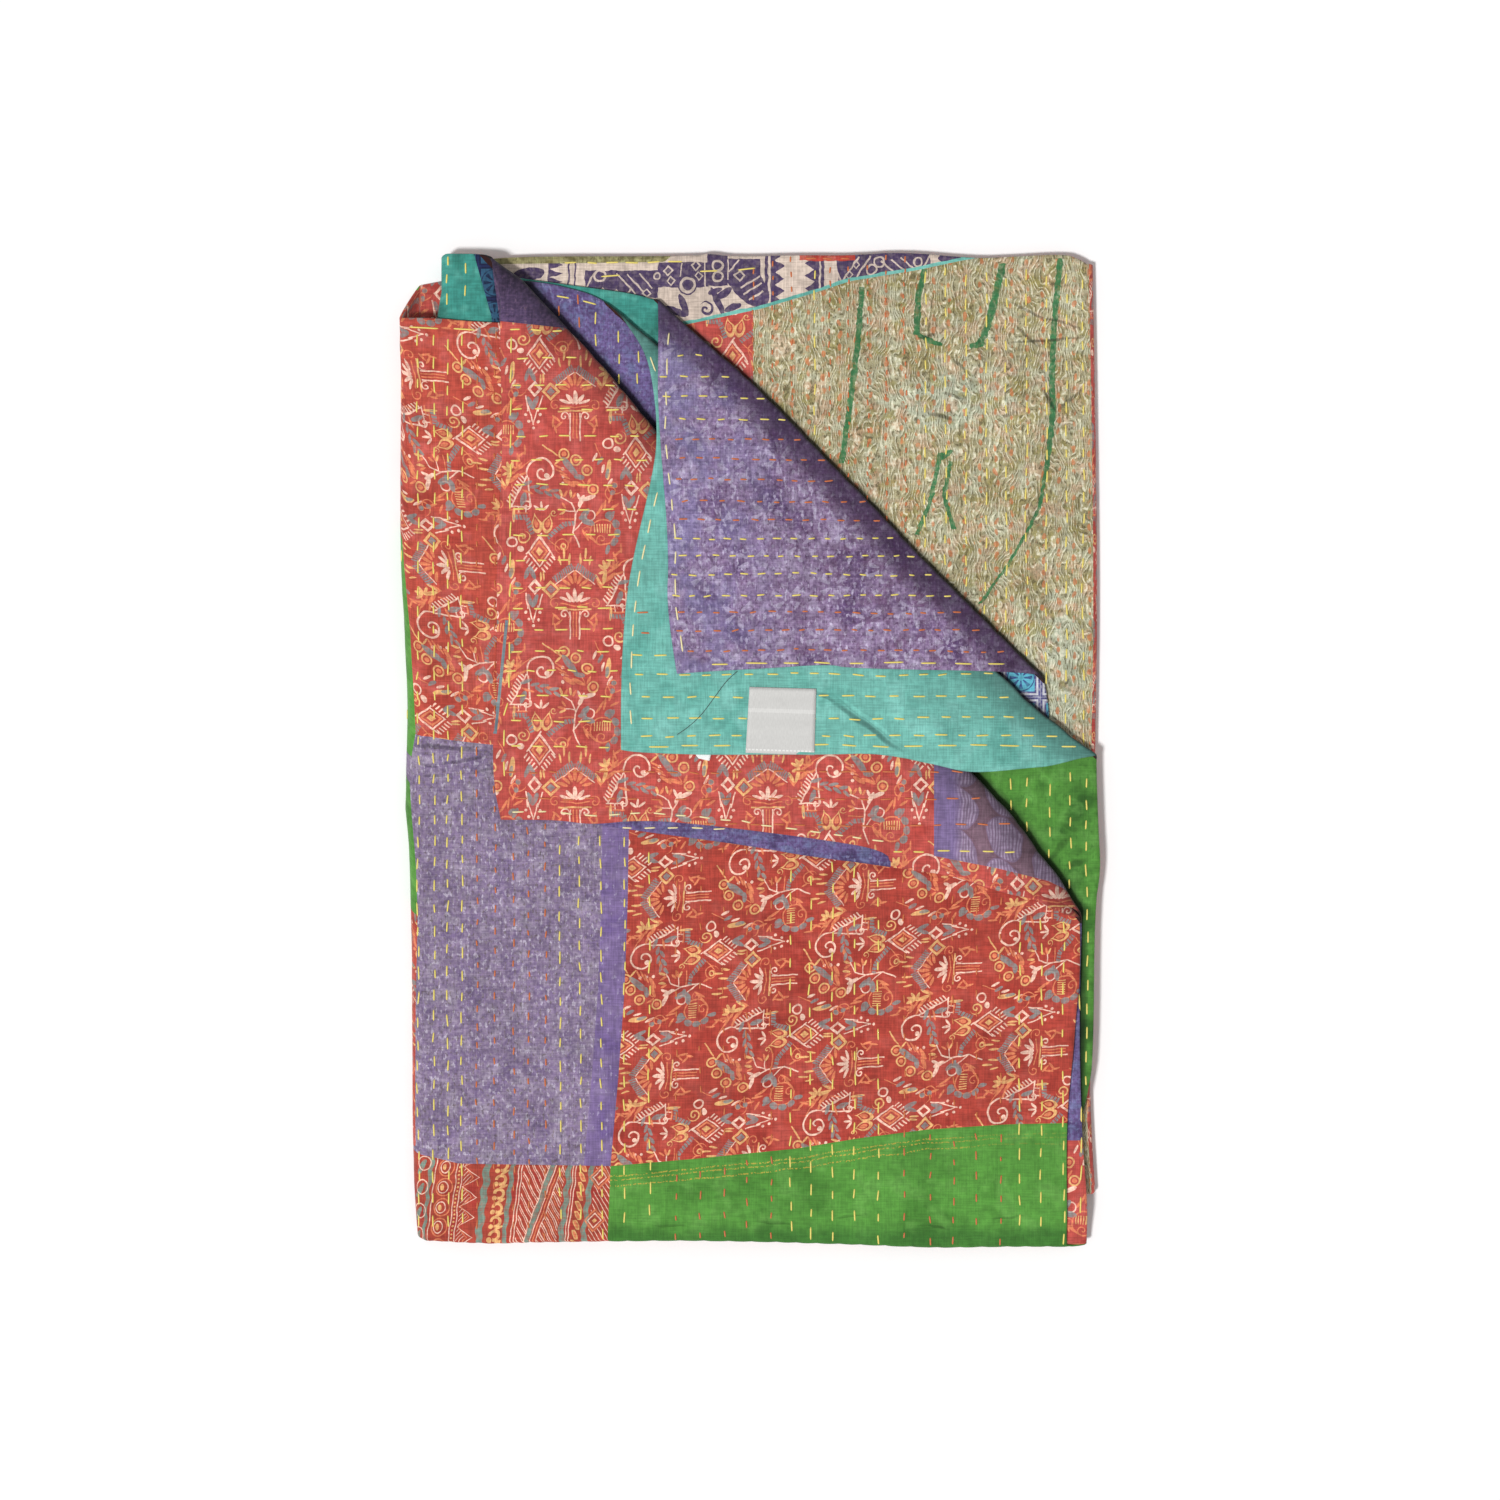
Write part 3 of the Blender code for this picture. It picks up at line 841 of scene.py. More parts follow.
    def fold(self) -> None:
        """Lays the cloth out, makes its shown cells finer and folds it."""
        self.lay_out()
        if self.shown_cells is not None:
            self.refine()
        for number, leaf in LEAVES.items():
            if leaf.crease:
                self.turn_corner(number)
                self.climb(number)
        self.sag_beside()
        self.hang_over_lower_edge()
        self.mesh.normal_update()


# ---------------------------------------------------------------- what shows, and where


class Thread(Enum):
    """A colour of quilting thread."""

    YELLOW = "yellow_thread"
    ORANGE = "orange_thread"
    CREAM = "cream_thread"


@dataclass(frozen=True)
class Row:
    """A line of running stitches, across or up an area.

    at is its place at its start, drift how far it has moved by its end, and span the stretch
    that it runs over. gap is the cloth between two stitches.
    """

    at: float
    thread: Thread
    span: Pair
    drift: float = 0.0
    stitch: float = 9.5
    gap: float = 8.0
    wander: float = 1.7
    wander_run: float = 75.0

    def place(self, along: float) -> float:
        """Where the row runs at a stretch of it.

        Args:
            along: how far along the row.

        Returns:
            The place across the row.
        """
        share = (along - self.span[0]) / (self.span[1] - self.span[0])
        rough = noise.noise(Vector((along / self.wander_run, self.at * 0.9, 5.0)))
        return self.at + self.drift * share + self.wander * rough


@dataclass(frozen=True)
class Seam:
    """A seam between two patches: points rightwards, or upwards if it stands upright."""

    line: Line
    upright: bool = False


@dataclass(frozen=True)
class Area:
    """One stretch of cloth that shows: its stitched rows and the seams between its patches."""

    finish: str
    upright: bool
    rows: tuple[Row, ...] = ()
    seams: tuple[Seam, ...] = ()


def rows_at(places: Sequence[float], thread: Thread, span: Pair, **more: float) -> tuple[Row, ...]:
    """Several like rows."""
    return tuple(Row(place, thread, span, **more) for place in places)


LEAF_1_SPAN: Pair = (-395, 345)
OPEN_SPAN: Pair = (-110, 290)
TURNED_SPAN: Pair = (-210, 290)
VIOLET_SPAN: Pair = (-75, 240)
SHORT = {"stitch": 6.2, "gap": 10.0}
SHORTER = {"stitch": 6.0, "gap": 7.5}

AREAS: dict[tuple[int, Kind, Side], Area] = {
    (1, Kind.PAGE, Side.FRONT): Area("leaf_1", True, (
        rows_at((-261, -248.5, -237.4, -226.3), Thread.YELLOW, LEAF_1_SPAN)
        + rows_at((-214.5, -200.3, -185.3, -174.2, -160.8), Thread.ORANGE, LEAF_1_SPAN, **SHORT)
        + rows_at((-148.0, -132.0, -115.5), Thread.YELLOW, LEAF_1_SPAN, drift=-4.0)
        + rows_at((-98.4, -78.6), Thread.YELLOW, LEAF_1_SPAN)
        + rows_at((-57.3, -38.3, -19.4, -2, 17.8), Thread.ORANGE, LEAF_1_SPAN, **SHORT)
        + rows_at((32.8, 48.6, 66, 83.3, 102.3), Thread.YELLOW, LEAF_1_SPAN)
        + rows_at((122.8, 143.4, 161.6, 179.7, 198.7), Thread.ORANGE, LEAF_1_SPAN, **SHORT)
        + rows_at((213.7, 231.1, 248.5), Thread.YELLOW, LEAF_1_SPAN)),
        (Seam(((-265, 11), (-252, 10), (-234, 7), (-202, 3.5), (-180, 3))),
         Seam(((-300, -316), (-253, -321), (-229, -327), (-109, -329), (-40, -323),
               (39, -315), (87, -307), (142, -300), (205, -296), (300, -294))),
         Seam(((-112, -400), (-109, -328), (-108.5, -322), (-103, -260), (-98, -190),
               (-95.5, -120), (-94.5, -60), (-94, 0)), True),
         Seam(((-290, -400), (-290, -318), (-266, -316), (-266.2, -259), (-264.9, -201),
               (-262.4, -132), (-263.9, -96), (-266.2, -65.4), (-269.6, -28), (-290, -26),
               (-290, -11), (-267.8, -9), (-263.9, 11.5), (-265.2, 36.7), (-266.2, 54),
               (-268.4, 88.9), (-272.4, 130.7), (-276.9, 160.8), (-300, 166)), True))),
    (1, Kind.FLAP, Side.BACK): Area("leaf_1_flap", False, (
        rows_at((-62,), Thread.CREAM, (-160, 270))),
        (Seam(((112, -200), (112, 100)), True),)),
    (2, Kind.PAGE, Side.BACK): Area("leaf_2", True, (
        rows_at((-238.0, -224.0), Thread.YELLOW, (-395, 395))
        + rows_at((262.5,), Thread.YELLOW, (-395, -150), stitch=14.0, gap=9.0)),
        (Seam(((-203, 341), (-217, 391)), True), Seam(((-197, 341), (-204, 391)), True),
         Seam(((0, -309), (300, -309))))),
    (2, Kind.FLAP, Side.FRONT): Area("leaf_2_flap", False, (
        rows_at((329.8, 308.5, 286.4, 267.4, 246.9, 227.9, 208.2, 188.4, 168.7, 148.9, 127.6,
                 111, 94.4, 77, 62, 42.3, 22.5, 2.8), Thread.YELLOW, TURNED_SPAN)
        + rows_at((-17.8, -39.1, -59.6), Thread.ORANGE, TURNED_SPAN)
        + rows_at((-80.2,), Thread.YELLOW, TURNED_SPAN)),
        (Seam(((-200, 338), (-120, 329), (0, 320))),
         Seam(((146, -130), (146, 0)), True),
         Seam(((146, -84), (197, -94), (237, -104), (263, -119))))),
    (3, Kind.PAGE, Side.FRONT): Area("leaf_3", True, (
        rows_at((207.4, 220, 237.8, 254, 267.4), Thread.YELLOW, (-395, 30))
        + rows_at((-150, -135), Thread.ORANGE, (230, 380))
        + rows_at((-120, -103, -88), Thread.YELLOW, (230, 380))),
        (Seam(((-70, 270), (-72.6, 301.5), (-80.6, 323.6), (-92.6, 339.6), (-108.6, 355.6)),
              True),)),
    (3, Kind.FLAP, Side.BACK): Area("leaf_3_flap", False, (
        rows_at((107.8, 91.2), Thread.ORANGE, OPEN_SPAN)
        + rows_at((74.7, 58.9, 41.5, 24.9, 10.7), Thread.YELLOW, OPEN_SPAN)
        + rows_at((2.8,), Thread.YELLOW, OPEN_SPAN, stitch=16.0, gap=9.0))),
    (4, Kind.PAGE, Side.BACK): Area("leaf_4", True, (), (Seam(((190, 0), (190, 90)), True),)),
    (4, Kind.FLAP, Side.FRONT): Area("leaf_4_flap", False, (
        rows_at((310.9, 294.3, 277.7, 260.3), Thread.YELLOW, VIOLET_SPAN, stitch=7.0, gap=8.0)
        + rows_at((244.5, 228.7, 212.1, 195.5, 180.5), Thread.ORANGE, VIOLET_SPAN, **SHORTER)
        + rows_at((166.3, 152.1, 137.9, 121.3), Thread.YELLOW, VIOLET_SPAN, stitch=6.4, gap=7.0)
        + rows_at((107.8, 93.6, 77.8), Thread.ORANGE, VIOLET_SPAN, **SHORTER)
        + rows_at((67.5,), Thread.YELLOW, (-60, 240), stitch=16.0, gap=11.0))),
    (5, Kind.PAGE, Side.FRONT): Area("leaf_5", True, (
        rows_at((4.0, 19.0, 34.0, 64.0, 79.0, 94.0, 109.0, 124.0), Thread.ORANGE,
                (-300, 392), stitch=4.6, gap=6.4)
        + rows_at((53.0,), Thread.YELLOW, (-300, 392))
        + rows_at((140.0, 156.0, 172.0, 188.0, 204.0, 220.0, 236.0, 252.0, 265.0),
                  Thread.YELLOW, (-300, 392))),
        (Seam(((-230, 325), (-67, 333), (-40, 338.5), (10, 349), (47, 360), (81, 371),
               (133, 379.5), (168, 387), (275, 405))),
         Seam(((3.5, 0), (3.5, 400)), True),
         Seam(((-230, 384), (-67, 386), (-50, 400), (300, 400))))),
}
HIDDEN_FINISH = "lining"


@dataclass(frozen=True)
class ShadeSizes:
    """Where shade is painted on the cloth: in its turned corners and in the gaps beside them."""

    run: float = 34.0
    least: float = 0.42
    line: float = 2.4
    dark: float = 0.14
    start: float = 8.0
    late_start: float = 90.0
    start_run: float = 24.0
    end_past: float = 10.0
    end_run: float = 8.0
    gap_start: float = 1.0
    right_edge: float = 263.5
    right_top: float = -135.0
    right_run: float = 6.0

    def turned(self, past: float) -> float:
        """How light a turned corner is, this far past the crease."""
        light = mix(self.least, 1.0, smooth_step(past / self.run))
        return light * mix(self.dark, 1.0, smooth_step(past / self.line))

    def beside(self, finish: str, u: float, v: float) -> float:
        """How light a page is beside the turned corner that lies over it.

        Args:
            finish: the finish of the cloth there.
            u: the place across the cloth.
            v: the place up the cloth.

        Returns:
            The share of the light that is left.
        """
        if finish not in GAPS:
            return 1.0
        crease, wide = GAPS[finish]
        turning = CreaseFrame(crease, 0.0)
        t, q = turning.to_crease(Vector((u, v)))
        start = self.late_start if finish == "leaf_4" else self.start
        there = smooth_step((t - start) / self.start_run)
        there *= smooth_step((turning.length + self.end_past - t) / self.end_run)
        light = mix(self.dark, 1.0, smooth_step((q - self.gap_start) / wide))
        light = mix(1.0, light, there)
        if finish == "leaf_3" and v < self.right_top:
            edge = smooth_step((u - self.right_edge) / self.right_run)
            light = min(light, mix(self.dark, 1.0, edge))
        return light


SHADES = ShadeSizes()
# The crease that lies over a page, and how wide the painted shadow in the gap beside it is.
GAPS: dict[str, tuple[Crease, float]] = {
    "leaf_3": (RED_CREASE, 8.5), "leaf_4": (TEAL_CREASE, 4.0), "leaf_5": (VIOLET_CREASE, 4.0)}


@dataclass(frozen=True)
class PuckerSizes:
    """How far the stitches draw the cloth in, and how uneven it is, in millimetres."""

    reach: float = 15.0
    row: float = 0.5
    wave: float = 0.14
    width: float = 3.2
    side: float = 0.07
    side_width: float = 4.5
    phase: float = 1.7
    rough: float = 0.28
    rough_size: float = 38.0
    fine: float = 0.16
    fine_size: float = 9.0
    least: float = 0.12

    def row_depth(self, area: Area, u: float, v: float) -> float:
        """How far the stitches of an area draw the cloth in at a place.

        Args:
            area: the stretch of cloth that shows there, if one does.
            u: the place across the cloth.
            v: the place up the cloth.

        Returns:
            The depth.
        """
        across, along = (u, v) if area.upright else (v, u)
        depth = 0.0
        for row in area.rows:
            low, high = row.span
            if abs(across - row.at) > self.reach or not low <= along <= high:
                continue
            distance = abs(across - row.place(along))
            wave = math.cos(2 * math.pi * along / (row.stitch + row.gap) + row.at * self.phase)
            near = math.exp(-(distance / self.width) ** 2)
            depth = max(depth, (self.row + self.wave * wave) * near)
            depth += self.side * (1 - wave) * math.exp(-distance / self.side_width)
        return depth

    def depth(self, area: Area, u: float, v: float) -> float:
        """How far the cloth of an area lies in at a place, by its stitches and unevenness.

        Args:
            area: the stretch of cloth that shows there, if one does.
            u: the place across the cloth.
            v: the place up the cloth.

        Returns:
            The depth.
        """
        size, fine = self.rough_size, self.fine_size
        rough = noise.noise(Vector((u / size, v / size, 3.0))) * self.rough
        grain = noise.noise(Vector((u / fine, v / fine, 8.0))) * self.fine
        return max(self.row_depth(area, u, v) + rough + grain + self.least, 0.0)


PUCKERS = PuckerSizes()


def line_height(line: Sequence[Pair], place: float) -> float:
    """The second coordinate of a line of pairs where the first one is at place.

    Args:
        line: the line's points.
        place: the first coordinate.

    Returns:
        The second coordinate.
    """
    if place <= line[0][0]:
        return line[0][1]
    for (x1, y1), (x2, y2) in zip(line, line[1:]):
        if place <= x2:
            return mix(y1, y2, (place - x1) / (x2 - x1))
    return line[-1][1]


# ---------------------------------------------------------------- the cloth as a solid sheet


class QuiltBody:
    """The folded cloth with its thickness, its UV map and the marks that its finishes read."""

    SEAM_LAYERS = ("seam_1", "seam_2", "seam_3", "seam_4")
    FAR = 500.0
    UPWARD_LEAST = 0.15
    SIDEWAYS_LEAST = 0.3
    TOWARDS_CORNER = 0.97
    RAY_START = 0.05
    FLAT_ANGLE = math.radians(1.5)

    def __init__(self, surface: MiddleSurface) -> None:
        """Args:
            surface: the folded middle surface.
        """
        self.surface = surface
        self.mesh = bmesh.new()
        for name in (*self.SEAM_LAYERS, "shade"):
            self.mesh.loops.layers.float.new(name)
        self.mesh.loops.layers.uv.new("cloth")
        loops = self.mesh.loops.layers
        self.uv = loops.uv["cloth"]
        self.seams = [loops.float[name] for name in self.SEAM_LAYERS]
        self.shade = loops.float["shade"]
        self.cell = self.mesh.faces.layers.int.new("cell")
        self.shown = self.mesh.faces.layers.int.new("shown")
        self.finishes: list[str] = []
        self.copies: dict[Side, dict] = {Side.BACK: {}, Side.FRONT: {}}

    def area_of(self, face: bmesh.types.BMFace, side: Side) -> Area | None:
        """The shown area that a face of the middle surface belongs to on one side.

        Args:
            face: a face of the middle surface.
            side: the side of the cloth.

        Returns:
            The area, or None where nothing shows.
        """
        marks = self.surface.marks
        kind = Kind(face[marks.kind])
        if kind in (Kind.SIDE_FOLD, Kind.BOTTOM_FOLD):
            kind = Kind.PAGE
        return AREAS.get((face[marks.owner], kind, side))

    def place_of(self, vert: bmesh.types.BMVert, kind: Kind) -> Pair:
        """Where a point lies on the cloth as it shows, in millimetres.

        Args:
            vert: the point.
            kind: what part of the folded cloth it is.

        Returns:
            The place across and up the cloth.
        """
        marks = self.surface.marks
        if kind is Kind.FLAP:
            return vert[marks.turned].x, vert[marks.turned].y
        x, y = vert[marks.flat].x, vert[marks.flat].y
        if kind is Kind.SIDE_FOLD:
            x += vert[marks.wrap_x]
        if kind is Kind.BOTTOM_FOLD:
            y -= vert[marks.wrap_y]
        return x, y

    def drawn_in(self, vert: bmesh.types.BMVert, side: Side) -> float:
        """How far a point of one side is drawn in, by stitches and in tight turns.

        Args:
            vert: the point.
            side: the side of the cloth.

        Returns:
            The depth.
        """
        marks = self.surface.marks
        if vert[marks.pinch] > 0.5:
            number = next((f[marks.leaf] for f in vert.link_faces if f[marks.leaf]), 0)
            if PINCH_SIDE.get(number) is side:
                return SIZES.pinch
        face = vert.link_faces[0]
        area = self.area_of(face, side)
        if area is None:
            return 0.0
        return PUCKERS.depth(area, *self.place_of(vert, Kind(face[marks.kind])))

    def thicken(self) -> None:
        """Gives the middle surface its two sides and its rim."""
        half = SIZES.cloth / 2
        for vert in self.surface.mesh.verts:
            back = half - self.drawn_in(vert, Side.BACK)
            front = half - self.drawn_in(vert, Side.FRONT)
            self.copies[Side.BACK][vert] = self.mesh.verts.new(vert.co + vert.normal * back)
            self.copies[Side.FRONT][vert] = self.mesh.verts.new(vert.co - vert.normal * front)
        for face in self.surface.mesh.faces:
            self._add_side(face, Side.BACK)
            self._add_side(face, Side.FRONT)
        self._add_rim()

    def _slot(self, finish: str) -> int:
        """The material slot of a finish.

        Args:
            finish: the finish.

        Returns:
            The slot's index.
        """
        if finish not in self.finishes:
            self.finishes.append(finish)
        return self.finishes.index(finish)

    def _add_side(self, face: bmesh.types.BMFace, side: Side) -> None:
        """Adds the copy of a face on one side of the cloth.

        Args:
            face: a face of the middle surface.
            side: the side of the cloth.
        """
        marks, copies = self.surface.marks, self.copies[side]
        verts = list(face.verts) if side is Side.BACK else list(reversed(face.verts))
        made = self.mesh.faces.new([copies[vert] for vert in verts])
        area = self.area_of(face, side)
        made.material_index = self._slot(area.finish if area else HIDDEN_FINISH)
        made[self.cell] = face[marks.cell]
        made[self.shown] = 1 if area else 0
        made.smooth = True
        for loop, vert in zip(made.loops, verts):
            self._mark_loop(loop, vert, Kind(face[marks.kind]), area)

    def _mark_loop(self, loop: bmesh.types.BMLoop, vert: bmesh.types.BMVert, kind: Kind,
                   area: Area | None) -> None:
        """Writes what the finishes read at a corner: its place, its seams and its shade.

        Args:
            loop: the corner of the face.
            vert: the point.
            kind: what part of the folded cloth it is.
            area: the stretch of cloth that shows there, if one does.
        """
        u, v = self.place_of(vert, kind)
        loop[self.uv].uv = (u * MM, v * MM)
        past = vert[self.surface.marks.past] if kind is Kind.FLAP else SHADES.run
        beside = SHADES.beside(area.finish, u, v) if area else 1.0
        loop[self.shade] = SHADES.turned(past) * beside
        seams = area.seams if area else ()
        for layer in self.seams:
            loop[layer] = self.FAR
        for layer, seam in zip(self.seams, seams):
            if seam.upright:
                loop[layer] = u - line_height([(y, x) for x, y in seam.line], v)
            else:
                loop[layer] = v - line_height(seam.line, u)

    def _add_rim(self) -> None:
        """Closes the cloth's edge with a rounded rim."""
        outward: dict = {}
        edges = [edge for edge in self.surface.mesh.edges if edge.is_boundary]
        for edge in edges:
            loop = edge.link_loops[0]
            first, second = loop.vert, loop.link_loop_next.vert
            away = (second.co - first.co).cross(edge.link_faces[0].normal).normalized()
            for vert in (first, second):
                outward[vert] = outward.get(vert, Vector()) + away
        middle = {vert: self.mesh.verts.new(vert.co + away.normalized() * SIZES.rim)
                  for vert, away in outward.items()}
        back, front = self.copies[Side.BACK], self.copies[Side.FRONT]
        for edge in edges:
            loop = edge.link_loops[0]
            a, b = loop.vert, loop.link_loop_next.vert
            face = edge.link_faces[0]
            kind = Kind(face[self.surface.marks.kind])
            shown = Side.FRONT if self.area_of(face, Side.FRONT) else Side.BACK
            area = self.area_of(face, shown)
            for corners in ((back[b], back[a], middle[a], middle[b]),
                            (middle[b], middle[a], front[a], front[b])):
                made = self.mesh.faces.new(corners)
                made.material_index = self._slot(area.finish if area else HIDDEN_FINISH)
                made[self.cell] = face[self.surface.marks.cell]
                made[self.shown] = 1
                made.smooth = True
                for loop, vert in zip(made.loops, (b, a, a, b)):
                    self._mark_loop(loop, vert, kind, area)

    def find_shown_cells(self) -> set[int]:
        """The cells of the middle surface that can be seen from above or from a side.

        Returns:
            The numbers of the cells.
        """
        self.mesh.normal_update()
        tree = BVHTree.FromBMesh(self.mesh)
        shown = set()
        for face in self.mesh.faces:
            ways = []
            if face.normal.z > self.UPWARD_LEAST:
                ways.append(Vector((0, 0, 1)))
            flat = Vector((face.normal.x, face.normal.y, 0))
            if flat.length > self.SIDEWAYS_LEAST:
                ways.append(flat.normalized())
            if not ways or face[self.cell] in shown:
                continue
            middle = face.calc_center_median()
            spots = [middle]
            spots += [middle.lerp(vert.co, self.TOWARDS_CORNER) for vert in face.verts]
            for spot in spots:
                start = spot + face.normal * self.RAY_START
                if any(tree.ray_cast(start, way)[0] is None for way in ways):
                    shown.add(face[self.cell])
                    break
        return shown

    def thin_out_hidden(self) -> None:
        """Joins flat faces that can't be seen."""
        hidden = [face for face in self.mesh.faces if not face[self.shown]]
        edges = [edge for edge in edges_of(hidden)
                 if not any(face[self.shown] for face in edge.link_faces)
                 and len({face[self.cell] for face in edge.link_faces}) == 1]
        verts = [vert for vert in verts_of(hidden)
                 if not any(face[self.shown] for face in vert.link_faces)]
        bmesh.ops.dissolve_limit(self.mesh, angle_limit=self.FLAT_ANGLE, verts=verts,
                                 edges=edges, delimit={"MATERIAL"})

    def close(self) -> None:
        """Makes the mesh ready to be sewn on: plain where it is hidden, and in triangles."""
        self.mesh.normal_update()
        self.thin_out_hidden()
        bmesh.ops.triangulate(self.mesh, faces=self.mesh.faces)
        self.mesh.faces.ensure_lookup_table()
        LOG.info("cloth: %d triangles", len(self.mesh.faces))


class Workshop:
    """Turns meshes in the packet's millimetres into objects where the CAD model is."""

    def __init__(self, body: QuiltBody) -> None:
        """Args:
            body: the finished cloth, which is centred in the CAD model's quilt.
        """
        low, high = (Vector(corner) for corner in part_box("quilt"))
        xs = [vert.co.x for vert in body.mesh.verts]
        ys = [vert.co.y for vert in body.mesh.verts]
        zs = [vert.co.z for vert in body.mesh.verts]
        middle = Vector(((min(xs) + max(xs)) / 2, (min(ys) + max(ys)) / 2, min(zs)))
        self.move = Vector(((low.x + high.x) / 2, (low.y + high.y) / 2, low.z)) - middle * MM
        LOG.info("cloth spans %.1f by %.1f by %.1f mm", max(xs) - min(xs), max(ys) - min(ys),
                 max(zs) - min(zs))

    def make(self, name: str, mesh: bmesh.types.BMesh,
             materials: Sequence[bpy.types.Material]) -> bpy.types.Object:
        """Makes an object of a mesh in millimetres, and frees the mesh.

        Args:
            name: its name.
            mesh: its mesh, in millimetres.
            materials: its materials, slot by slot.

        Returns:
            The object.
        """
        bmesh.ops.scale(mesh, vec=(MM, MM, MM), verts=mesh.verts)
        bmesh.ops.translate(mesh, vec=self.move, verts=mesh.verts)
        data = bpy.data.meshes.new(name)
        mesh.to_mesh(data)
        mesh.free()
        piece = bpy.data.objects.new(name, data)
        bpy.context.collection.objects.link(piece)
        for material in materials:
            data.materials.append(material)
        LOG.info("%s: %d faces", name, len(data.polygons))
        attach(piece, BODY)
        return piece


# ---------------------------------------------------------------- nodes written as sums


def tint(red: int, green: int, blue: int) -> Colour:
    """A colour on the screen's scale of 0 to 255 as the light that nodes work in.

    Args:
        red: its red part.
        green: its green part.
        blue: its blue part.

    Returns:
        The colour.
    """
    def light(part: int) -> float:
        """One part of the colour."""
        share = part / 255
        return share / 12.92 if share <= 0.04045 else ((share + 0.055) / 1.055) ** 2.4
    return light(red), light(green), light(blue), 1.0


class Field:
    """A number that nodes work out at each point of a surface."""

    def __init__(self, tree: bpy.types.NodeTree, socket: bpy.types.NodeSocket) -> None:
        """Keeps the nodes' tree and the output that gives the number."""
        self.tree, self.socket = tree, socket

    def math(self, operation: str, *others: "Field | float") -> "Field":
        """One Math node on this number and the others.

        Args:
            operation: what the node does.
            *others: the values that follow this number.

        Returns:
            The node's result.
        """
        node = self.tree.nodes.new("ShaderNodeMath")
        node.operation = operation
        for place, value in zip(node.inputs, (self, *others)):
            if isinstance(value, Field):
                self.tree.links.new(value.socket, place)
            else:
                place.default_value = value
        return Field(self.tree, node.outputs[0])

    def __add__(self, other: "Field | float") -> "Field":
        """Sum."""
        return self.math("ADD", other)

    def __sub__(self, other: "Field | float") -> "Field":
        """Difference."""
        return self.math("SUBTRACT", other)

    def __mul__(self, other: "Field | float") -> "Field":
        """Product. Of two masks, where both hold."""
        return self.math("MULTIPLY", other)

    def near(self, value: "Field | float", reach: float) -> "Field":
        """1 where this is within reach of the value, or else 0."""
        return self.math("COMPARE", value, reach)

    def below(self, limit: "Field | float") -> "Field":
        """1 where this is less than the limit, or else 0."""
        return self.math("LESS_THAN", limit)

    def above(self, limit: "Field | float") -> "Field":
        """1 where this is more than the limit, or else 0."""
        return self.math("GREATER_THAN", limit)

    def either(self, other: "Field") -> "Field":
        """The larger of the two. Of two masks, where either holds."""
        return self.math("MAXIMUM", other)

    def zigzag(self, reach: float) -> "Field":
        """This number folded back and forth between 0 and reach."""
        return self.math("PINGPONG", reach)

    def repeat(self, period: float) -> "Field":
        """This number from the middle of each period, from minus to plus half of it."""
        return self.math("WRAP", period / 2, -period / 2)

    def ramp(self, low: float, high: float, start: float = 0.0, end: float = 1.0) -> "Field":
        """A soft step from start to end while this goes from low to high.

        Args:
            low: where the step starts.
            high: where the step ends.
            start: the value before it.
            end: the value after it.

        Returns:
            The step.
        """
        node = self.tree.nodes.new("ShaderNodeMapRange")
        node.interpolation_type = "SMOOTHSTEP"
        self.tree.links.new(self.socket, node.inputs[0])
        for place, value in zip(list(node.inputs)[1:5], (low, high, start, end)):
            place.default_value = value
        return Field(self.tree, node.outputs[0])


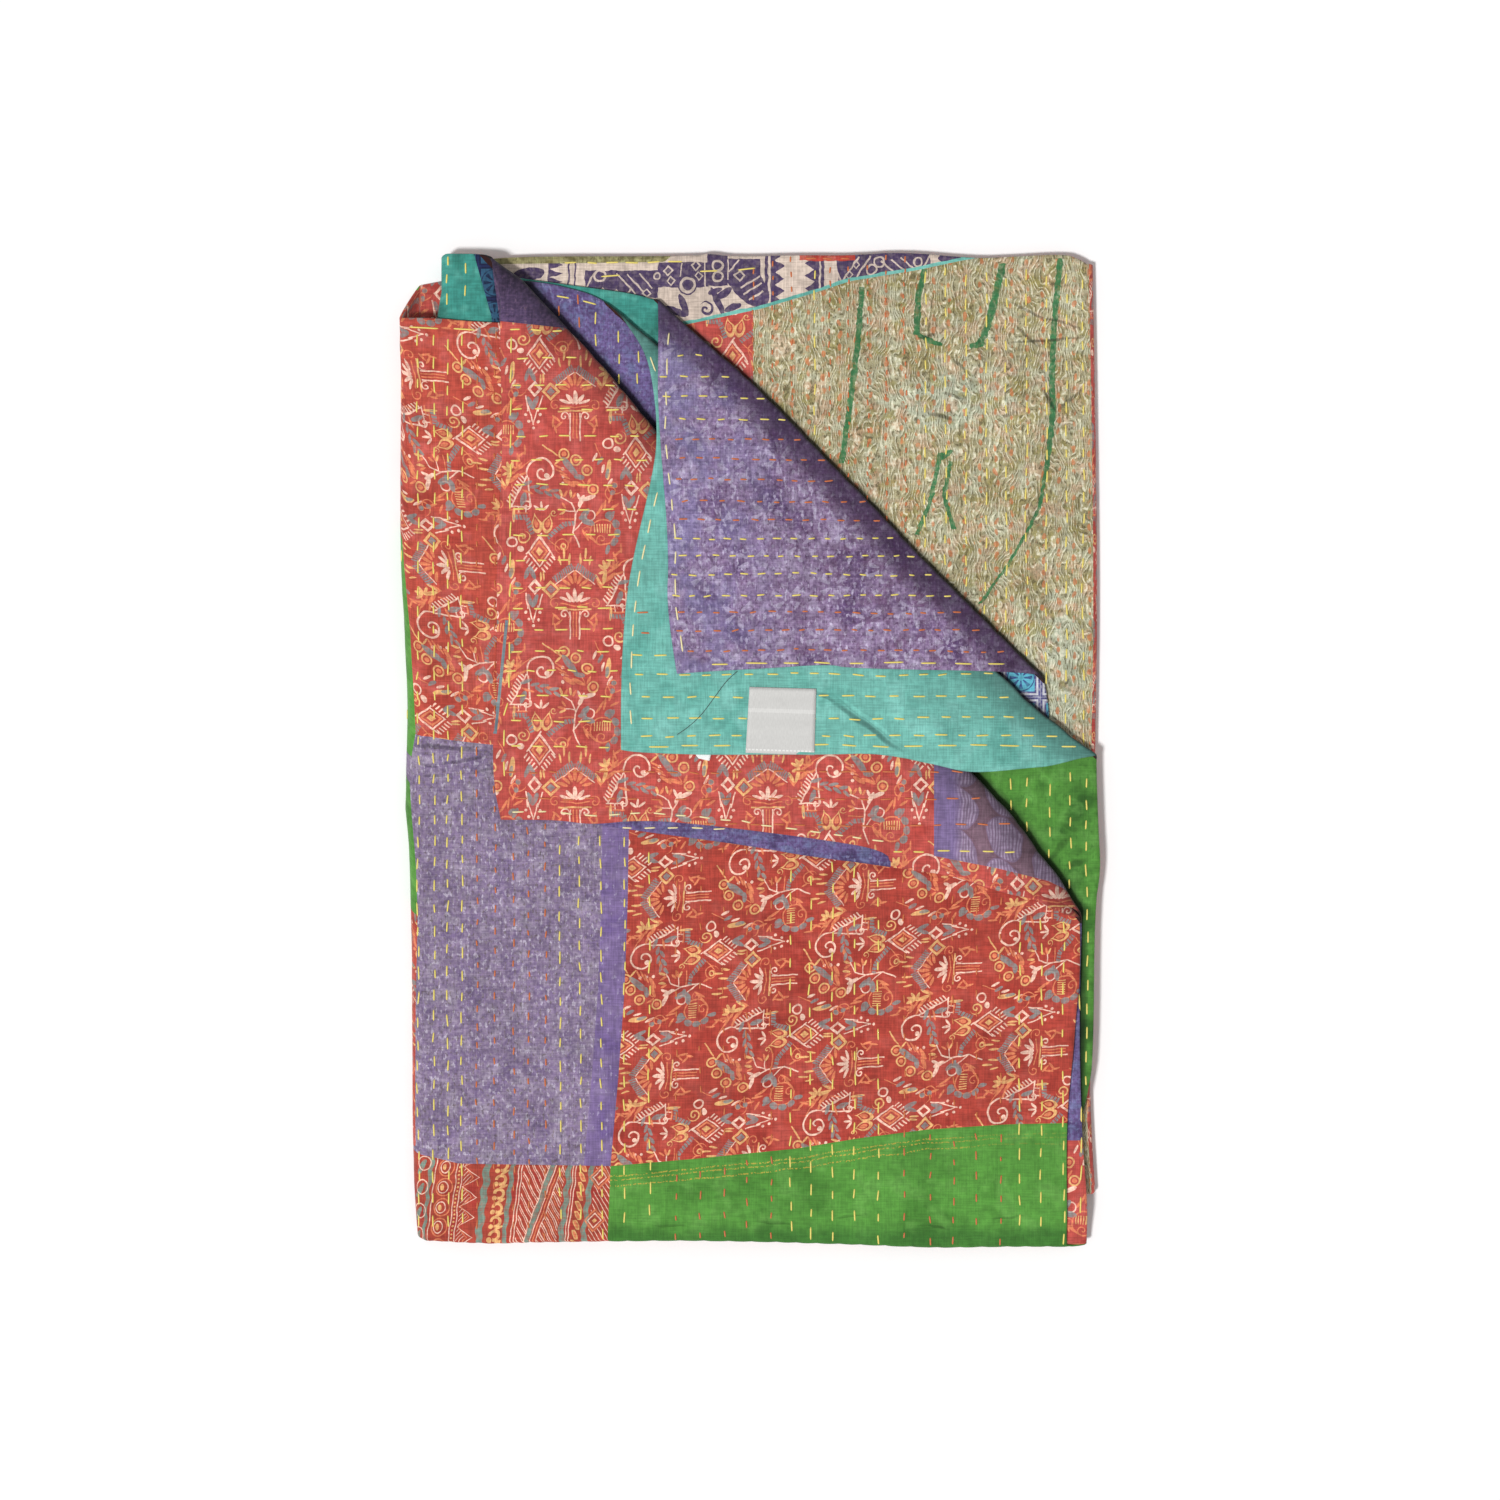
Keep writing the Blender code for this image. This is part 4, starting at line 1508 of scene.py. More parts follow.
class Spot:
    """Coordinates of a pattern, in millimetres, as two rows that are read off one point.

    The point's third coordinate is 1, so a row is (share of x, share of y, shift).
    """

    def __init__(self, tree: bpy.types.NodeTree, socket: bpy.types.NodeSocket,
                 rows: tuple[Row3, Row3] = ((1, 0, 0), (0, 1, 0))) -> None:
        """Keeps the tree, the output that gives the point, and how it is read."""
        self.tree, self.socket, self.rows = tree, socket, rows
        self._parts: tuple[Field, Field] | None = None

    def vector(self, operation: str, first: bpy.types.NodeSocket, *values: object,
               output: int = 0) -> bpy.types.NodeSocket:
        """One Vector Math node.

        Args:
            operation: what the node does.
            first: the first input.
            *values: the other inputs.
            output: which output is read.

        Returns:
            The node's output.
        """
        node = self.tree.nodes.new("ShaderNodeVectorMath")
        node.operation = operation
        for place, value in zip(node.inputs, (first, *values)):
            if isinstance(value, bpy.types.NodeSocket):
                self.tree.links.new(value, place)
            else:
                place.default_value = value
        return node.outputs[output]

    def at(self, x: float, y: float, turn: float = 0.0, size: Pair = (1.0, 1.0)) -> "Spot":
        """Coordinates about another place, turned by degrees and in other units.

        Args:
            x: the new middle's place across.
            y: the new middle's place up.
            turn: how far they are turned, in degrees.
            size: the new units.

        Returns:
            The new coordinates.
        """
        cos, sin = math.cos(math.radians(turn)), math.sin(math.radians(turn))
        (a, b, c), (d, e, f) = self.rows
        pairs = ((a, d), (b, e), (c - x, f - y))
        first = tuple((cos * p + sin * q) / size[0] for p, q in pairs)
        second = tuple((cos * q - sin * p) / size[1] for p, q in pairs)
        return Spot(self.tree, self.socket, (first, second))

    def slanted(self, first: Pair, second: Pair) -> "Spot":
        """Coordinates that are each read off these two in other shares."""
        one, two = (tuple(p * x + q * y for p, q in zip(*self.rows)) for x, y in (first, second))
        return Spot(self.tree, self.socket, (one, two))

    def along(self, x: float, y: float) -> Field:
        """How far along a direction this is."""
        row = tuple(x * p + y * q for p, q in zip(*self.rows))
        return Field(self.tree, self.vector("DOT_PRODUCT", self.socket, row, output=1))

    def parts(self) -> tuple[Field, Field]:
        """The two coordinates.

        Returns:
            The coordinate across and the one up.
        """
        if self._parts is None:
            self._parts = self.along(1, 0), self.along(0, 1)
        return self._parts

    def joined(self, x: Field, y: Field) -> "Spot":
        """Coordinates made of two numbers.

        Args:
            x: the first coordinate.
            y: the second one.

        Returns:
            The coordinates.
        """
        node = self.tree.nodes.new("ShaderNodeCombineXYZ")
        self.tree.links.new(x.socket, node.inputs[0])
        self.tree.links.new(y.socket, node.inputs[1])
        node.inputs[2].default_value = 1
        return Spot(self.tree, node.outputs[0])

    def mirrored(self) -> "Spot":
        """The same coordinates with both sides of the middle alike."""
        x, y = self.parts()
        return self.joined(x.math("ABSOLUTE"), y)

    def far2(self) -> Field:
        """The square of the distance from the middle."""
        x, y = self.parts()
        return y.math("MULTIPLY_ADD", y, x * x)

    def far(self, x: float = 0.0, y: float = 0.0) -> Field:
        """The distance from a point."""
        spot = self.at(x, y) if x or y else self
        return spot.far2().math("SQRT")

    def rhombus(self, wide: float, high: float) -> Field:
        """1 on a rhombus with these half sizes, less inside it.

        Args:
            wide: half its width.
            high: half its height.

        Returns:
            The number.
        """
        spot = self.at(0, 0, 0, (wide, high))
        x, y = spot.parts()
        return x.math("ABSOLUTE") + y.math("ABSOLUTE")

    def turn(self) -> Field:
        """The angle about the middle, from -pi to pi."""
        x, y = self.parts()
        return y.math("ARCTAN2", x)

    def texture(self, scale: float, detail: float, size: Pair) -> bpy.types.Node:
        """A noise whose patches are scale wide.

        Args:
            scale: how wide the patches are.
            detail: how much finer detail they have.
            size: how much they are drawn out across and up.

        Returns:
            The noise's node.
        """
        where = self.at(0, 0, 0, (scale * size[0], scale * size[1]))
        node = self.tree.nodes.new("ShaderNodeTexNoise")
        node.noise_dimensions = "2D"
        self.tree.links.new(where.joined(*where.parts()).socket, node.inputs["Vector"])
        node.inputs["Scale"].default_value = 1.0
        node.inputs["Detail"].default_value = detail
        return node

    def noise(self, scale: float, detail: float = 2.0, size: Pair = (1.0, 1.0)) -> Field:
        """Noise from about 0 to 1 whose patches are scale wide."""
        return Field(self.tree, self.texture(scale, detail, size).outputs[0])

    def wobbly(self, amount: float, scale: float) -> "Spot":
        """These coordinates, moved a little to and fro as by a hand.

        Args:
            amount: how far they move.
            scale: how wide the patches are.

        Returns:
            The moved coordinates.
        """
        node = self.texture(scale, 1.0, (1.0, 1.0))
        straight = self.joined(*self.parts())
        moved = self.vector("MULTIPLY_ADD", node.outputs["Color"], (amount, amount, 0),
                            straight.socket)
        return Spot(self.tree, moved)


class Paint:
    """A colour that is laid down in coats, each where a mask allows it."""

    def __init__(self, tree: bpy.types.NodeTree, colour: "Colour | bpy.types.NodeSocket") -> None:
        """Keeps the nodes' tree and the ground's colour."""
        self.tree, self.colour = tree, colour

    def coat(self, mask: Field | float, colour: "Colour | bpy.types.NodeSocket",
             blend: str = "MIX") -> "Paint":
        """Adds a coat.

        Args:
            mask: where it is laid.
            colour: its colour.
            blend: how it is blended with what is under it.

        Returns:
            This paint, for the next coat.
        """
        node = self.tree.nodes.new("ShaderNodeMix")
        node.data_type = "RGBA"
        node.blend_type = blend
        for place, value in ((node.inputs[0], mask), (node.inputs[6], self.colour),
                             (node.inputs[7], colour)):
            if isinstance(value, Field):
                self.tree.links.new(value.socket, place)
            elif isinstance(value, bpy.types.NodeSocket):
                self.tree.links.new(value, place)
            else:
                place.default_value = value
        self.colour = node.outputs[2]
        return self

    def shade(self, light: Field) -> None:
        """Makes the colour lighter or darker all over.

        Args:
            light: how light it is, as a share.
        """
        grey = self.tree.nodes.new("ShaderNodeCombineColor")
        for socket in grey.inputs:
            self.tree.links.new(light.socket, socket)
        self.coat(1.0, grey.outputs[0], "MULTIPLY")

    def emboss(self, height: Field, shader: bpy.types.Node, strength: float,
               distance: float) -> None:
        """Gives a shader relief.

        Args:
            height: the relief.
            shader: the shader's node.
            strength: how much of it shows.
            distance: how deep it is at most, in metres.
        """
        bump = self.tree.nodes.new("ShaderNodeBump")
        bump.inputs["Strength"].default_value = strength
        bump.inputs["Distance"].default_value = distance
        self.tree.links.new(height.socket, bump.inputs["Height"])
        self.tree.links.new(bump.outputs[0], shader.inputs["Normal"])


# ---------------------------------------------------------------- cloths and prints


# A dent in the cloth: x, y, turn, half length, half width, and how dark its painted shade is.
Wrinkle = tuple[float, float, float, float, float, float]


@dataclass(frozen=True)
class Weave:
    """The threads, stains and creases that all the cloths share, in millimetres."""

    thread: float = 1.1
    drawn_out: float = 16.0
    stain: float = 55.0
    rough: float = 6.0
    crease_bend: float = 3.0
    crease_bend_size: float = 14.0
    crease_depth: float = 0.9
    turns: float = 9.0
    turn_height: float = 0.02
    thread_height: float = 0.16


WEAVE = Weave()


@dataclass(frozen=True)
class Cloth:
    """A cloth's own colour, and what all the quilt's cloths share: threads and wear, and painted
    shade in turned corners, gaps, wrinkles and pucker hollows.
    """

    ground: Colour
    streak: float = 0.14
    roughness: float = 0.82
    sheen: float = 0.12
    specular: float = 0.25
    relief: float = 0.55
    pucker: float = 0.6
    # How much the pucker noise changes the colour: random tone, and painted shade where the dents
    # lie low.
    mottle_and_pucker_shade: float = 0.14
    wrinkles: tuple[Wrinkle, ...] = ()

    def paint(self, place: Spot, dress: "Dress") -> Paint:
        """The cloth's colour at each place of it, without its threads."""
        return Paint(place.tree, self.ground)

    def shader(self, dress: "Dress") -> bpy.types.NodeSocket:
        """The shader of a patch of this cloth.

        Args:
            dress: the material that this is part of.

        Returns:
            The shader's output.
        """
        tree, place = dress.tree, dress.place
        warp = place.noise(WEAVE.thread, 1.0, (1, WEAVE.drawn_out))
        weft = place.noise(WEAVE.thread, 1.0, (WEAVE.drawn_out, 1))
        threads = (warp + weft).ramp(0.75, 1.25, 1 - self.streak, 1 + self.streak)
        stain = place.noise(WEAVE.stain, 3.0).ramp(0.35, 0.65, 0.9, 1.05)
        paint = self.paint(place, dress)
        rough = place.noise(WEAVE.rough, 3.0)
        # light holds the painted shade of turned corners and gaps, and painted shade in the pucker
        # hollows, from the same noise that makes the dents.
        light = threads * stain * dress.shade * rough.ramp(0.3, 0.7, 1 - self.mottle_and_pucker_shade, 1.08)
        dents = rough * self.pucker
        bent = place
        if self.wrinkles:
            bent = place.wobbly(WEAVE.crease_bend, WEAVE.crease_bend_size)
        for x, y, turn, half_length, half_width, dark in self.wrinkles:
            spot = bent.at(x, y, turn, (half_length, half_width))
            dent = spot.far2().ramp(0.0, 1.0, 1.0, 0.0)
            # Painted shade in the wrinkle's dent; a darkness below 0 paints a highlight instead.
            light = light * dent.math("MULTIPLY_ADD", -dark, 1.0)
            dents = dents - dent * WEAVE.crease_depth
        paint.shade(light)
        node = tree.nodes.new("ShaderNodeBsdfPrincipled")
        tree.links.new(paint.colour, node.inputs["Base Color"])
        node.inputs["Roughness"].default_value = self.roughness
        node.inputs["Sheen Weight"].default_value = self.sheen
        node.inputs["Specular IOR Level"].default_value = self.specular
        u, v = place.parts()
        weave = (u * WEAVE.turns).math("SINE") * (v * WEAVE.turns).math("SINE")
        height = weave * WEAVE.turn_height + (warp + weft) * WEAVE.thread_height + dents
        paint.emboss(height + dress.seam_height, node, self.relief, MM)
        return node.outputs[0]


@dataclass(frozen=True)
class CloudyCloth(Cloth):
    """A cloth dyed in clouds, with flecks of an old print in it."""

    deep: Colour = (0, 0, 0, 1)
    pale: Colour = (1, 1, 1, 1)
    cloud: float = 40.0
    deep_amount: float = 0.8
    pale_amount: float = 0.6
    fleck: Colour = (1, 1, 1, 1)
    fleck_size: float = 4.0
    fleck_share: float = 0.62
    fleck_amount: float = 0.0
    second_fleck: Colour | None = None
    grain: float = 0.0

    def paint(self, place: Spot, dress: "Dress") -> Paint:
        """Clouds of the deep and the pale colour, and flecks.

        Args:
            place: the cloth's coordinates.
            dress: not used.

        Returns:
            The paint.
        """
        paint = Paint(place.tree, self.ground)
        deep = place.noise(self.cloud, 3.0).ramp(0.48, 0.72, 0, self.deep_amount)
        pale = place.at(300, 170).noise(self.cloud * 0.55, 4.0).ramp(0.5, 0.7, 0, self.pale_amount)
        paint.coat(deep, self.deep).coat(pale, self.pale)
        torn = place.at(91, 45).noise(self.fleck_size, 3.0, (0.8, 1.5))
        low = self.fleck_share
        paint.coat(torn.ramp(low, low + 0.06, 0, self.fleck_amount), self.fleck)
        if self.second_fleck:
            other = place.at(-60, 205).noise(self.fleck_size * 0.7, 3.0, (1.0, 1.6))
            paint.coat(other.ramp(low, low + 0.05, 0, self.fleck_amount), self.second_fleck)
        if self.grain:
            fine = place.at(12, 5).noise(2.6, 3.0)
            paint.coat(fine.ramp(0.5, 0.66, 0, self.grain), self.deep)
            paint.coat(fine.ramp(0.5, 0.34, 0, self.grain), self.pale)
        return paint


CREAM_INK = tint(252, 214, 192)
ORANGE_INK = tint(230, 138, 96)
GOLD_INK = tint(238, 188, 124)
BLUE_INK = tint(134, 138, 136)
FINE = 0.43


class Inks:
    """The masks of a block print's inks, one coat of each."""

    def __init__(self, place: Spot) -> None:
        """Keeps the print's coordinates, and starts with no mask."""
        self.place = place
        self.masks: dict[Colour, Field] = {}

    def add(self, ink: Colour, mask: Field) -> None:
        """Adds a shape in an ink."""
        had = self.masks.get(ink)
        self.masks[ink] = had.either(mask) if had else mask

    def line(self, ink: Colour, x: float, y: float, turn: float, length: float,
             width: float = 1.1) -> None:
        """A straight stroke about a middle."""
        across, up = self.place.at(x, y, turn).parts()
        self.add(ink, across.near(0, length / 2) * up.near(0, width * FINE))

    def brush(self, ink: Colour, x: float, y: float, turn: float, half_length: float,
              half_width: float) -> None:
        """A brush mark, pointed at both ends."""
        self.add(ink, self.place.at(x, y, turn, (half_length, half_width)).far2().below(1.0))

    def dashes(self, ink: Colour, x: float, y: float, turn: float, length: float,
               reach: float, period: float, slant: float = 0.6, share: float = 0.5) -> None:
        """A band of slanting short strokes.

        Args:
            ink: the ink.
            x: its place across.
            y: its place up.
            turn: how far it is turned, in degrees.
            length: its length.
            reach: how wide the band is.
            period: the step from one to the next.
            slant: how far they lean.
            share: the share of the period that is inked.
        """
        across, up = self.place.at(x, y, turn).parts()
        stroke = (across + up * slant).repeat(period).near(0, period * share / 2)
        self.add(ink, stroke * across.near(0, length / 2) * up.near(0, reach / 2))

    def curl(self, ink: Colour, x: float, y: float, turn: float, radius: float,
             turns: float = 1.6, width: float = 1.2) -> None:
        """A hook that winds inwards.

        Args:
            ink: the ink.
            x: its place across.
            y: its place up.
            turn: how far it is turned, in degrees.
            radius: its radius.
            turns: how often it winds round.
            width: its width.
        """
        spot = self.place.at(x, y, turn)
        pitch = radius / turns
        reach = spot.far()
        wound = (reach - spot.turn() * (pitch / (2 * math.pi))).repeat(pitch)
        self.add(ink, wound.near(0, width * FINE) * reach.below(radius))

    def ring(self, ink: Colour, x: float, y: float, radius: float, width: float = 1.1) -> None:
        """A ring."""
        self.add(ink, self.place.far(x, y).near(radius, width * FINE))

    def lozenge(self, ink: Colour, x: float, y: float, size: Pair, line: float,
                reach: float) -> None:
        """The part of a rhombus with these half sizes that is near one share of them."""
        self.add(ink, self.place.at(x, y).rhombus(*size).near(line, reach))

    def dot(self, ink: Colour, x: float, y: float, radius: float) -> None:
        """A dot."""
        self.add(ink, self.place.far(x, y).below(radius))

    def teardrop(self, ink: Colour, x: float, y: float, turn: float, size: Pair,
                 width: float = 0.16, fill: Colour | None = None) -> None:
        """A drop whose tip points up, size wide and high, with an outline and a core.

        Args:
            ink: the ink.
            x: its place across.
            y: its place up.
            turn: how far it is turned, in degrees.
            size: its size across and up.
            width: the outline's width, as a share.
            fill: the ink of its core, if it has one.
        """
        spot = self.place.at(x, y, turn, size)
        across, up = spot.parts()
        narrow = up.ramp(-0.2, 1.1, 1.0, 0.12)
        shape = spot.joined(across.math("DIVIDE", narrow), up).far()
        self.add(ink, shape.near(0.9, width))
        if fill:
            self.add(fill, shape.below(0.45))

    def fan(self, ink: Colour, x: float, y: float, turn: float, inner: float, outer: float,
            petals: float, spread: float, share: float = 0.5) -> None:
        """Petals that stand out from a middle, over spread degrees.

        Args:
            ink: the ink.
            x: its place across.
            y: its place up.
            turn: how far it is turned, in degrees.
            inner: where the petals start.
            outer: where they end.
            petals: how many fill a full turn.
            spread: how many degrees they cover.
            share: the share of the circle that is inked.
        """
        spot = self.place.at(x, y, turn)
        reach, angle = spot.far(), spot.turn()
        width = 2 * math.pi / petals
        petal = angle.repeat(width).near(0, width * share / 2)
        inside = reach.near((inner + outer) / 2, (outer - inner) / 2)
        self.add(ink, petal * inside * angle.near(0, math.radians(spread) / 2))

    def teeth(self, ink: Colour, x: float, y: float, turn: float, width: float,
              period: float, length: float) -> None:
        """An upright row of teeth that point to the right.

        Args:
            ink: the ink.
            x: its place across.
            y: its place up.
            turn: how far it is turned, in degrees.
            width: how far the teeth stand out.
            period: the step from one to the next.
            length: how long the row is.
        """
        across, up = self.place.at(x, y, turn).parts()
        slope = up.zigzag(period / 2).math("MULTIPLY_ADD", -2 * width / period, width)
        tooth = across.below(slope) * across.above(-1.2)
        self.add(ink, tooth * up.near(0, length / 2))

    def paint(self, ground: Paint, strength: float = 0.9, wear: float = 0.6) -> Paint:
        """Lays the inks on a ground, a little worn.

        Args:
            ground: the colour under the inks.
            strength: how much they cover.
            wear: the share of that where they are worn.

        Returns:
            The ground with the inks.
        """
        worn = self.place.noise(3.5, 2.0).ramp(0.3, 0.6, strength * wear, strength)
        for ink, mask in self.masks.items():
            ground.coat(mask * worn, ink)
        return ground


# The marks of one repeat of the red print, from the middle of its fringed rhombus. Each group
# has the middle of the brick that it is laid out in, and then, for each stroke of Inks and each
# ink, the values that the stroke is called with.
MOTIFS: dict[str, tuple[Pair, dict[tuple[str, Colour], tuple[tuple, ...]]]] = {
    "rhombus": ((0, 18), {
        ("brush", CREAM_INK): ((1.5, 36, 90, 3.6, 1), (-1.8, 34.6, 140, 3.4, 1),
            (4.8, 34.6, 40, 3.4, 1), (-14.8, 2.6, -20, 3, 2.2)),
        ("brush", GOLD_INK): ((-20, 29, 88, 6, 1.2),),
        ("brush", ORANGE_INK): ((24, 8.5, 60, 3, 0.8),),
        ("line", CREAM_INK): ((-4.2, 6.4, 55, 20, 1.2), (6.2, 4, -55, 21, 1.2)),
        ("line", ORANGE_INK): ((12, 5.6, -42, 11, 1), (-20, 33, 0, 8, 1.4), (21, 25.6, 0, 12, 1)),
        ("lozenge", CREAM_INK): ((0, 0, (8.8, 11.8), 0.97, 0.08),),
        ("lozenge", ORANGE_INK): ((0, 0, (8.8, 11.8), 0.66, 0.1),),
        ("lozenge", GOLD_INK): ((0, 0, (8.8, 11.8), 0, 0.32),),
        ("dashes", CREAM_INK): ((-7, -9.6, -52, 14, 4.6, 3.2, 0.25, 0.4),
            (7, -9.6, 52, 14, 4.6, 3.2, -0.25, 0.4)),
        ("ring", CREAM_INK): ((-21.7, 7.6, 3.7, 1.7),),
        ("ring", GOLD_INK): ((18.9, 4.4, 1.8, 1.4),),
        ("curl", GOLD_INK): ((-12.8, 11.4, 200, 5.4, 1.5, 1.5), (11.4, 30.6, 250, 2.8, 1.1, 1)),
        ("curl", ORANGE_INK): ((18.6, 4.5, 0, 6.6, 1.6, 1.1),),
        ("teardrop", GOLD_INK): ((-2.4, 22.6, 10, (4, 7.4), 0.2, ORANGE_INK),
            (6.4, 22.6, -14, (4, 7.4), 0.2, ORANGE_INK)),
        ("dashes", BLUE_INK): ((-15, 27, 0, 11, 4, 2.8, 0.2, 0.72),
            (-7.6, 20, -70, 13, 4, 2.8, 0.2, 0.72), (13, 16.4, 38, 17, 4, 2.8, 0.2, 0.72),
            (23.6, 22.2, 5, 8, 3.6, 2.8, 0.2, 0.72)),
    }),
    "comb": ((-8, 52), {
        ("brush", BLUE_INK): ((-12.8, 41.5, 70, 5.4, 2.2), (-3.5, 51.3, 15, 3.8, 1.4),
            (-0.5, 47.4, -30, 3.8, 1.4), (4, 50.6, 12, 3.8, 1.4), (6.8, 45.6, -38, 3.8, 1.4),
            (11.6, 48, 8, 3.8, 1.4), (14, 43.6, -40, 3.4, 1.3)),
        ("brush", ORANGE_INK): ((8.6, 48.4, -18, 4.2, 1.3), (-17.6, 69, 90, 4.2, 0.9),
            (-20.5, 67, 145, 4.2, 0.9), (-15.2, 66, 35, 4.2, 0.9), (-20, 63, 220, 3.6, 0.9)),
        ("brush", GOLD_INK): ((-24.5, 58, 75, 6, 1.5), (-29.5, 56, 120, 4.6, 1.1)),
        ("line", CREAM_INK): ((-16.2, 47.6, 63, 27, 1.4), (-8, 46.4, 94, 24, 1.5),
            (-15.6, 35.6, 0, 16, 1.2), (-16.4, 32.6, 92, 5, 1.2), (-10.4, 32.6, 88, 5, 1.2)),
        ("line", ORANGE_INK): ((-13.4, 30.4, 0, 9, 1.4),),
        ("dashes", CREAM_INK): ((-18.8, 49.2, 63, 25, 4.8, 2.8, -0.3, 0.42),),
        ("curl", CREAM_INK): ((2.6, 63, 15, 13, 1.5, 1.8),),
        ("dot", CREAM_INK): ((6, 60, 2), (18.4, 65, 1.3), (18.4, 59.3, 1.3), (18.4, 53.6, 1.3)),
    }),
    "stem": ((38, 22), {
        ("brush", ORANGE_INK): ((14, 43.2, 155, 3.2, 1), (20.6, 45.2, 60, 3.2, 1),
            (27.4, 44.4, 60, 2.8, 0.9), (17.6, 33, 165, 3.2, 1), (19.4, 36.4, 125, 2.8, 0.9),
            (47.6, 33.4, 58, 6, 1.1), (51.6, 36, 80, 5, 0.9), (36.4, 13.4, -62, 5.4, 1),
            (41, 10.6, -40, 5.4, 1), (61.5, -1.5, 40, 4.4, 0.9), (59.5, -4, 110, 4, 0.9),
            (64.5, 2.5, 90, 4, 0.8)),
        ("brush", GOLD_INK): ((16.8, 46.2, 110, 3.2, 1.1), (24.6, 46, 95, 3.2, 1.1),
            (18.2, 30.4, 205, 2.8, 0.9)),
        ("brush", CREAM_INK): ((33.2, 40, 62, 5.2, 1.7), (38.6, 42.2, 20, 6, 1.7),
            (31.4, 43.4, 115, 3.4, 1.2)),
        ("brush", BLUE_INK): ((36, 30, 55, 5, 2.4), (38.8, 23.2, -15, 5.4, 2.4),
            (34.2, 26.6, 5, 3.6, 1.8), (54.9, 28.7, 30, 3.6, 2.8), (60, 21.9, -60, 3.6, 2.8),
            (61.5, 14.4, 90, 3.6, 2.6), (59, 7.4, 50, 3.6, 2.6), (53.8, 1.8, 80, 3.8, 1.8)),
        ("line", CREAM_INK): ((29.4, 8.8, 114, 12.4, 1.3), (27.7, 22.6, 83, 16.4, 1.4),
            (27, 34.6, 110, 9, 1.3), (21, 40.8, 152, 10, 1.1), (30.4, 19.8, 50, 10, 1.2),
            (30.8, 33.4, 62, 10, 1.3), (23.4, 32, 175, 8, 1)),
        ("ring", CREAM_INK): ((39.8, 28.4, 3.8, 1.3),),
        ("ring", ORANGE_INK): ((50, 15.4, 9.8, 1.3),),
        ("dashes", GOLD_INK): ((49.6, 18.4, 0, 13, 7, 2, 0, 0.42),),
        ("curl", ORANGE_INK): ((49, 9.6, 180, 4.6, 1.2, 1.1), (38, 16, 60, 4, 1.2, 0.9)),
    }),
    "leaf": ((32, 63), {
        ("brush", BLUE_INK): ((24, 66.6, -52, 10, 2.6), (31.4, 58.8, -8, 4.4, 2.1),
            (48, 71.6, 62, 3.8, 1.5), (53.4, 61.4, 80, 4, 1.5)),
        ("brush", ORANGE_INK): ((16.2, 66.2, -28, 5, 0.8), (17.2, 62.6, -28, 5, 0.8),
            (19.6, 59.4, -24, 4.6, 0.8), (23.6, 54.2, -30, 5.6, 1.6), (31, 53.2, -22, 6, 1.6),
            (39, 55, 60, 3.4, 1)),
        ("brush", CREAM_INK): ((43.6, 74.4, 66, 3.8, 1.1), (55.4, 54.4, 62, 4.2, 1.1),
            (50, 65.4, 75, 3.8, 1)),
        ("brush", GOLD_INK): ((14.6, 71, 40, 3.4, 0.9),),
        ("line", ORANGE_INK): ((14, 76, -38, 18, 1), (34, 56, -60, 8, 1), (46, 80, -65, 12, 0.9)),
        ("line", GOLD_INK): ((8, 80, -35, 14, 1.3),),
        ("ring", GOLD_INK): ((19.2, 77, 3.9, 1.6), (28.7, 72.2, 3.9, 1.6), (37.6, 64, 3.9, 1.6),
            (42.3, 49.2, 3.9, 1.6)),
        ("dot", ORANGE_INK): ((19.2, 77, 2), (28.7, 72.2, 2), (37.6, 64, 2), (42.3, 49.2, 2)),
        ("curl", ORANGE_INK): ((57, 47, 200, 6.4, 1.2, 1.1),),
        ("dot", BLUE_INK): ((57.6, 46.2, 2.1),),
    }),
    "tassel": ((-6, -34), {
        ("brush", BLUE_INK): ((-9.5, -16.4, 68, 5.6, 1.8), (-5.6, -16.4, 112, 5.6, 1.8),
            (-7.2, -38.8, -68, 5.6, 1.8), (-3.4, -38.8, 68, 5.6, 1.8), (-19, -50, 60, 4.4, 1.8)),
        ("brush", GOLD_INK): ((-21.7, -13.6, 84, 8, 2.1), (1, -20, 88, 4, 0.8),
            (3.4, -19, 92, 4, 0.8)),
        ("brush", ORANGE_INK): ((-20, -36, 70, 4, 1), (-17, -42, 30, 4, 1)),
        ("line", CREAM_INK): ((-9.9, -39, -82, 12.6, 1.2), (0.6, -39.4, -106, 13, 1.2),
            (-6.8, -48.4, -74, 15.6, 1.1), (-3.2, -49, -106, 14, 1.1)),
        ("lozenge", CREAM_INK): ((-3.5, -27.7, (5.8, 6.6), 0.78, 0.22),),
        ("lozenge", GOLD_INK): ((9, -29.7, (7.4, 7.4), 0.82, 0.18),),
        ("lozenge", BLUE_INK): ((9, -29.7, (7.4, 7.4), 0, 0.46),),
        ("curl", ORANGE_INK): ((-17, -26.6, 250, 7, 1.2, 1.2),),
        ("dot", BLUE_INK): ((-17, -25.6, 2.1),),
        ("dot", CREAM_INK): ((-10.6, -47.6, 1.2), (-8.2, -53, 1.2), (-4.6, -58.4, 1.2),
            (-0.8, -53.4, 1.2), (0.6, -48, 1.2)),
    }),
    "column": ((28, -36), {
        ("brush", CREAM_INK): ((0, 3, 90, 5.2, 1.6), (3.8, 1.2, 52, 5, 1.5),
            (7.6, -0.6, 20, 4.8, 1.2)),
        ("brush", ORANGE_INK): ((0, 17.2, 90, 4.8, 1.4), (3.9, 15.8, 64, 4.8, 1.4),
            (7.4, 13.2, 40, 4.8, 1.3), (9.6, 9.6, 14, 4.4, 1.2), (14.6, -14, 40, 4, 0.9),
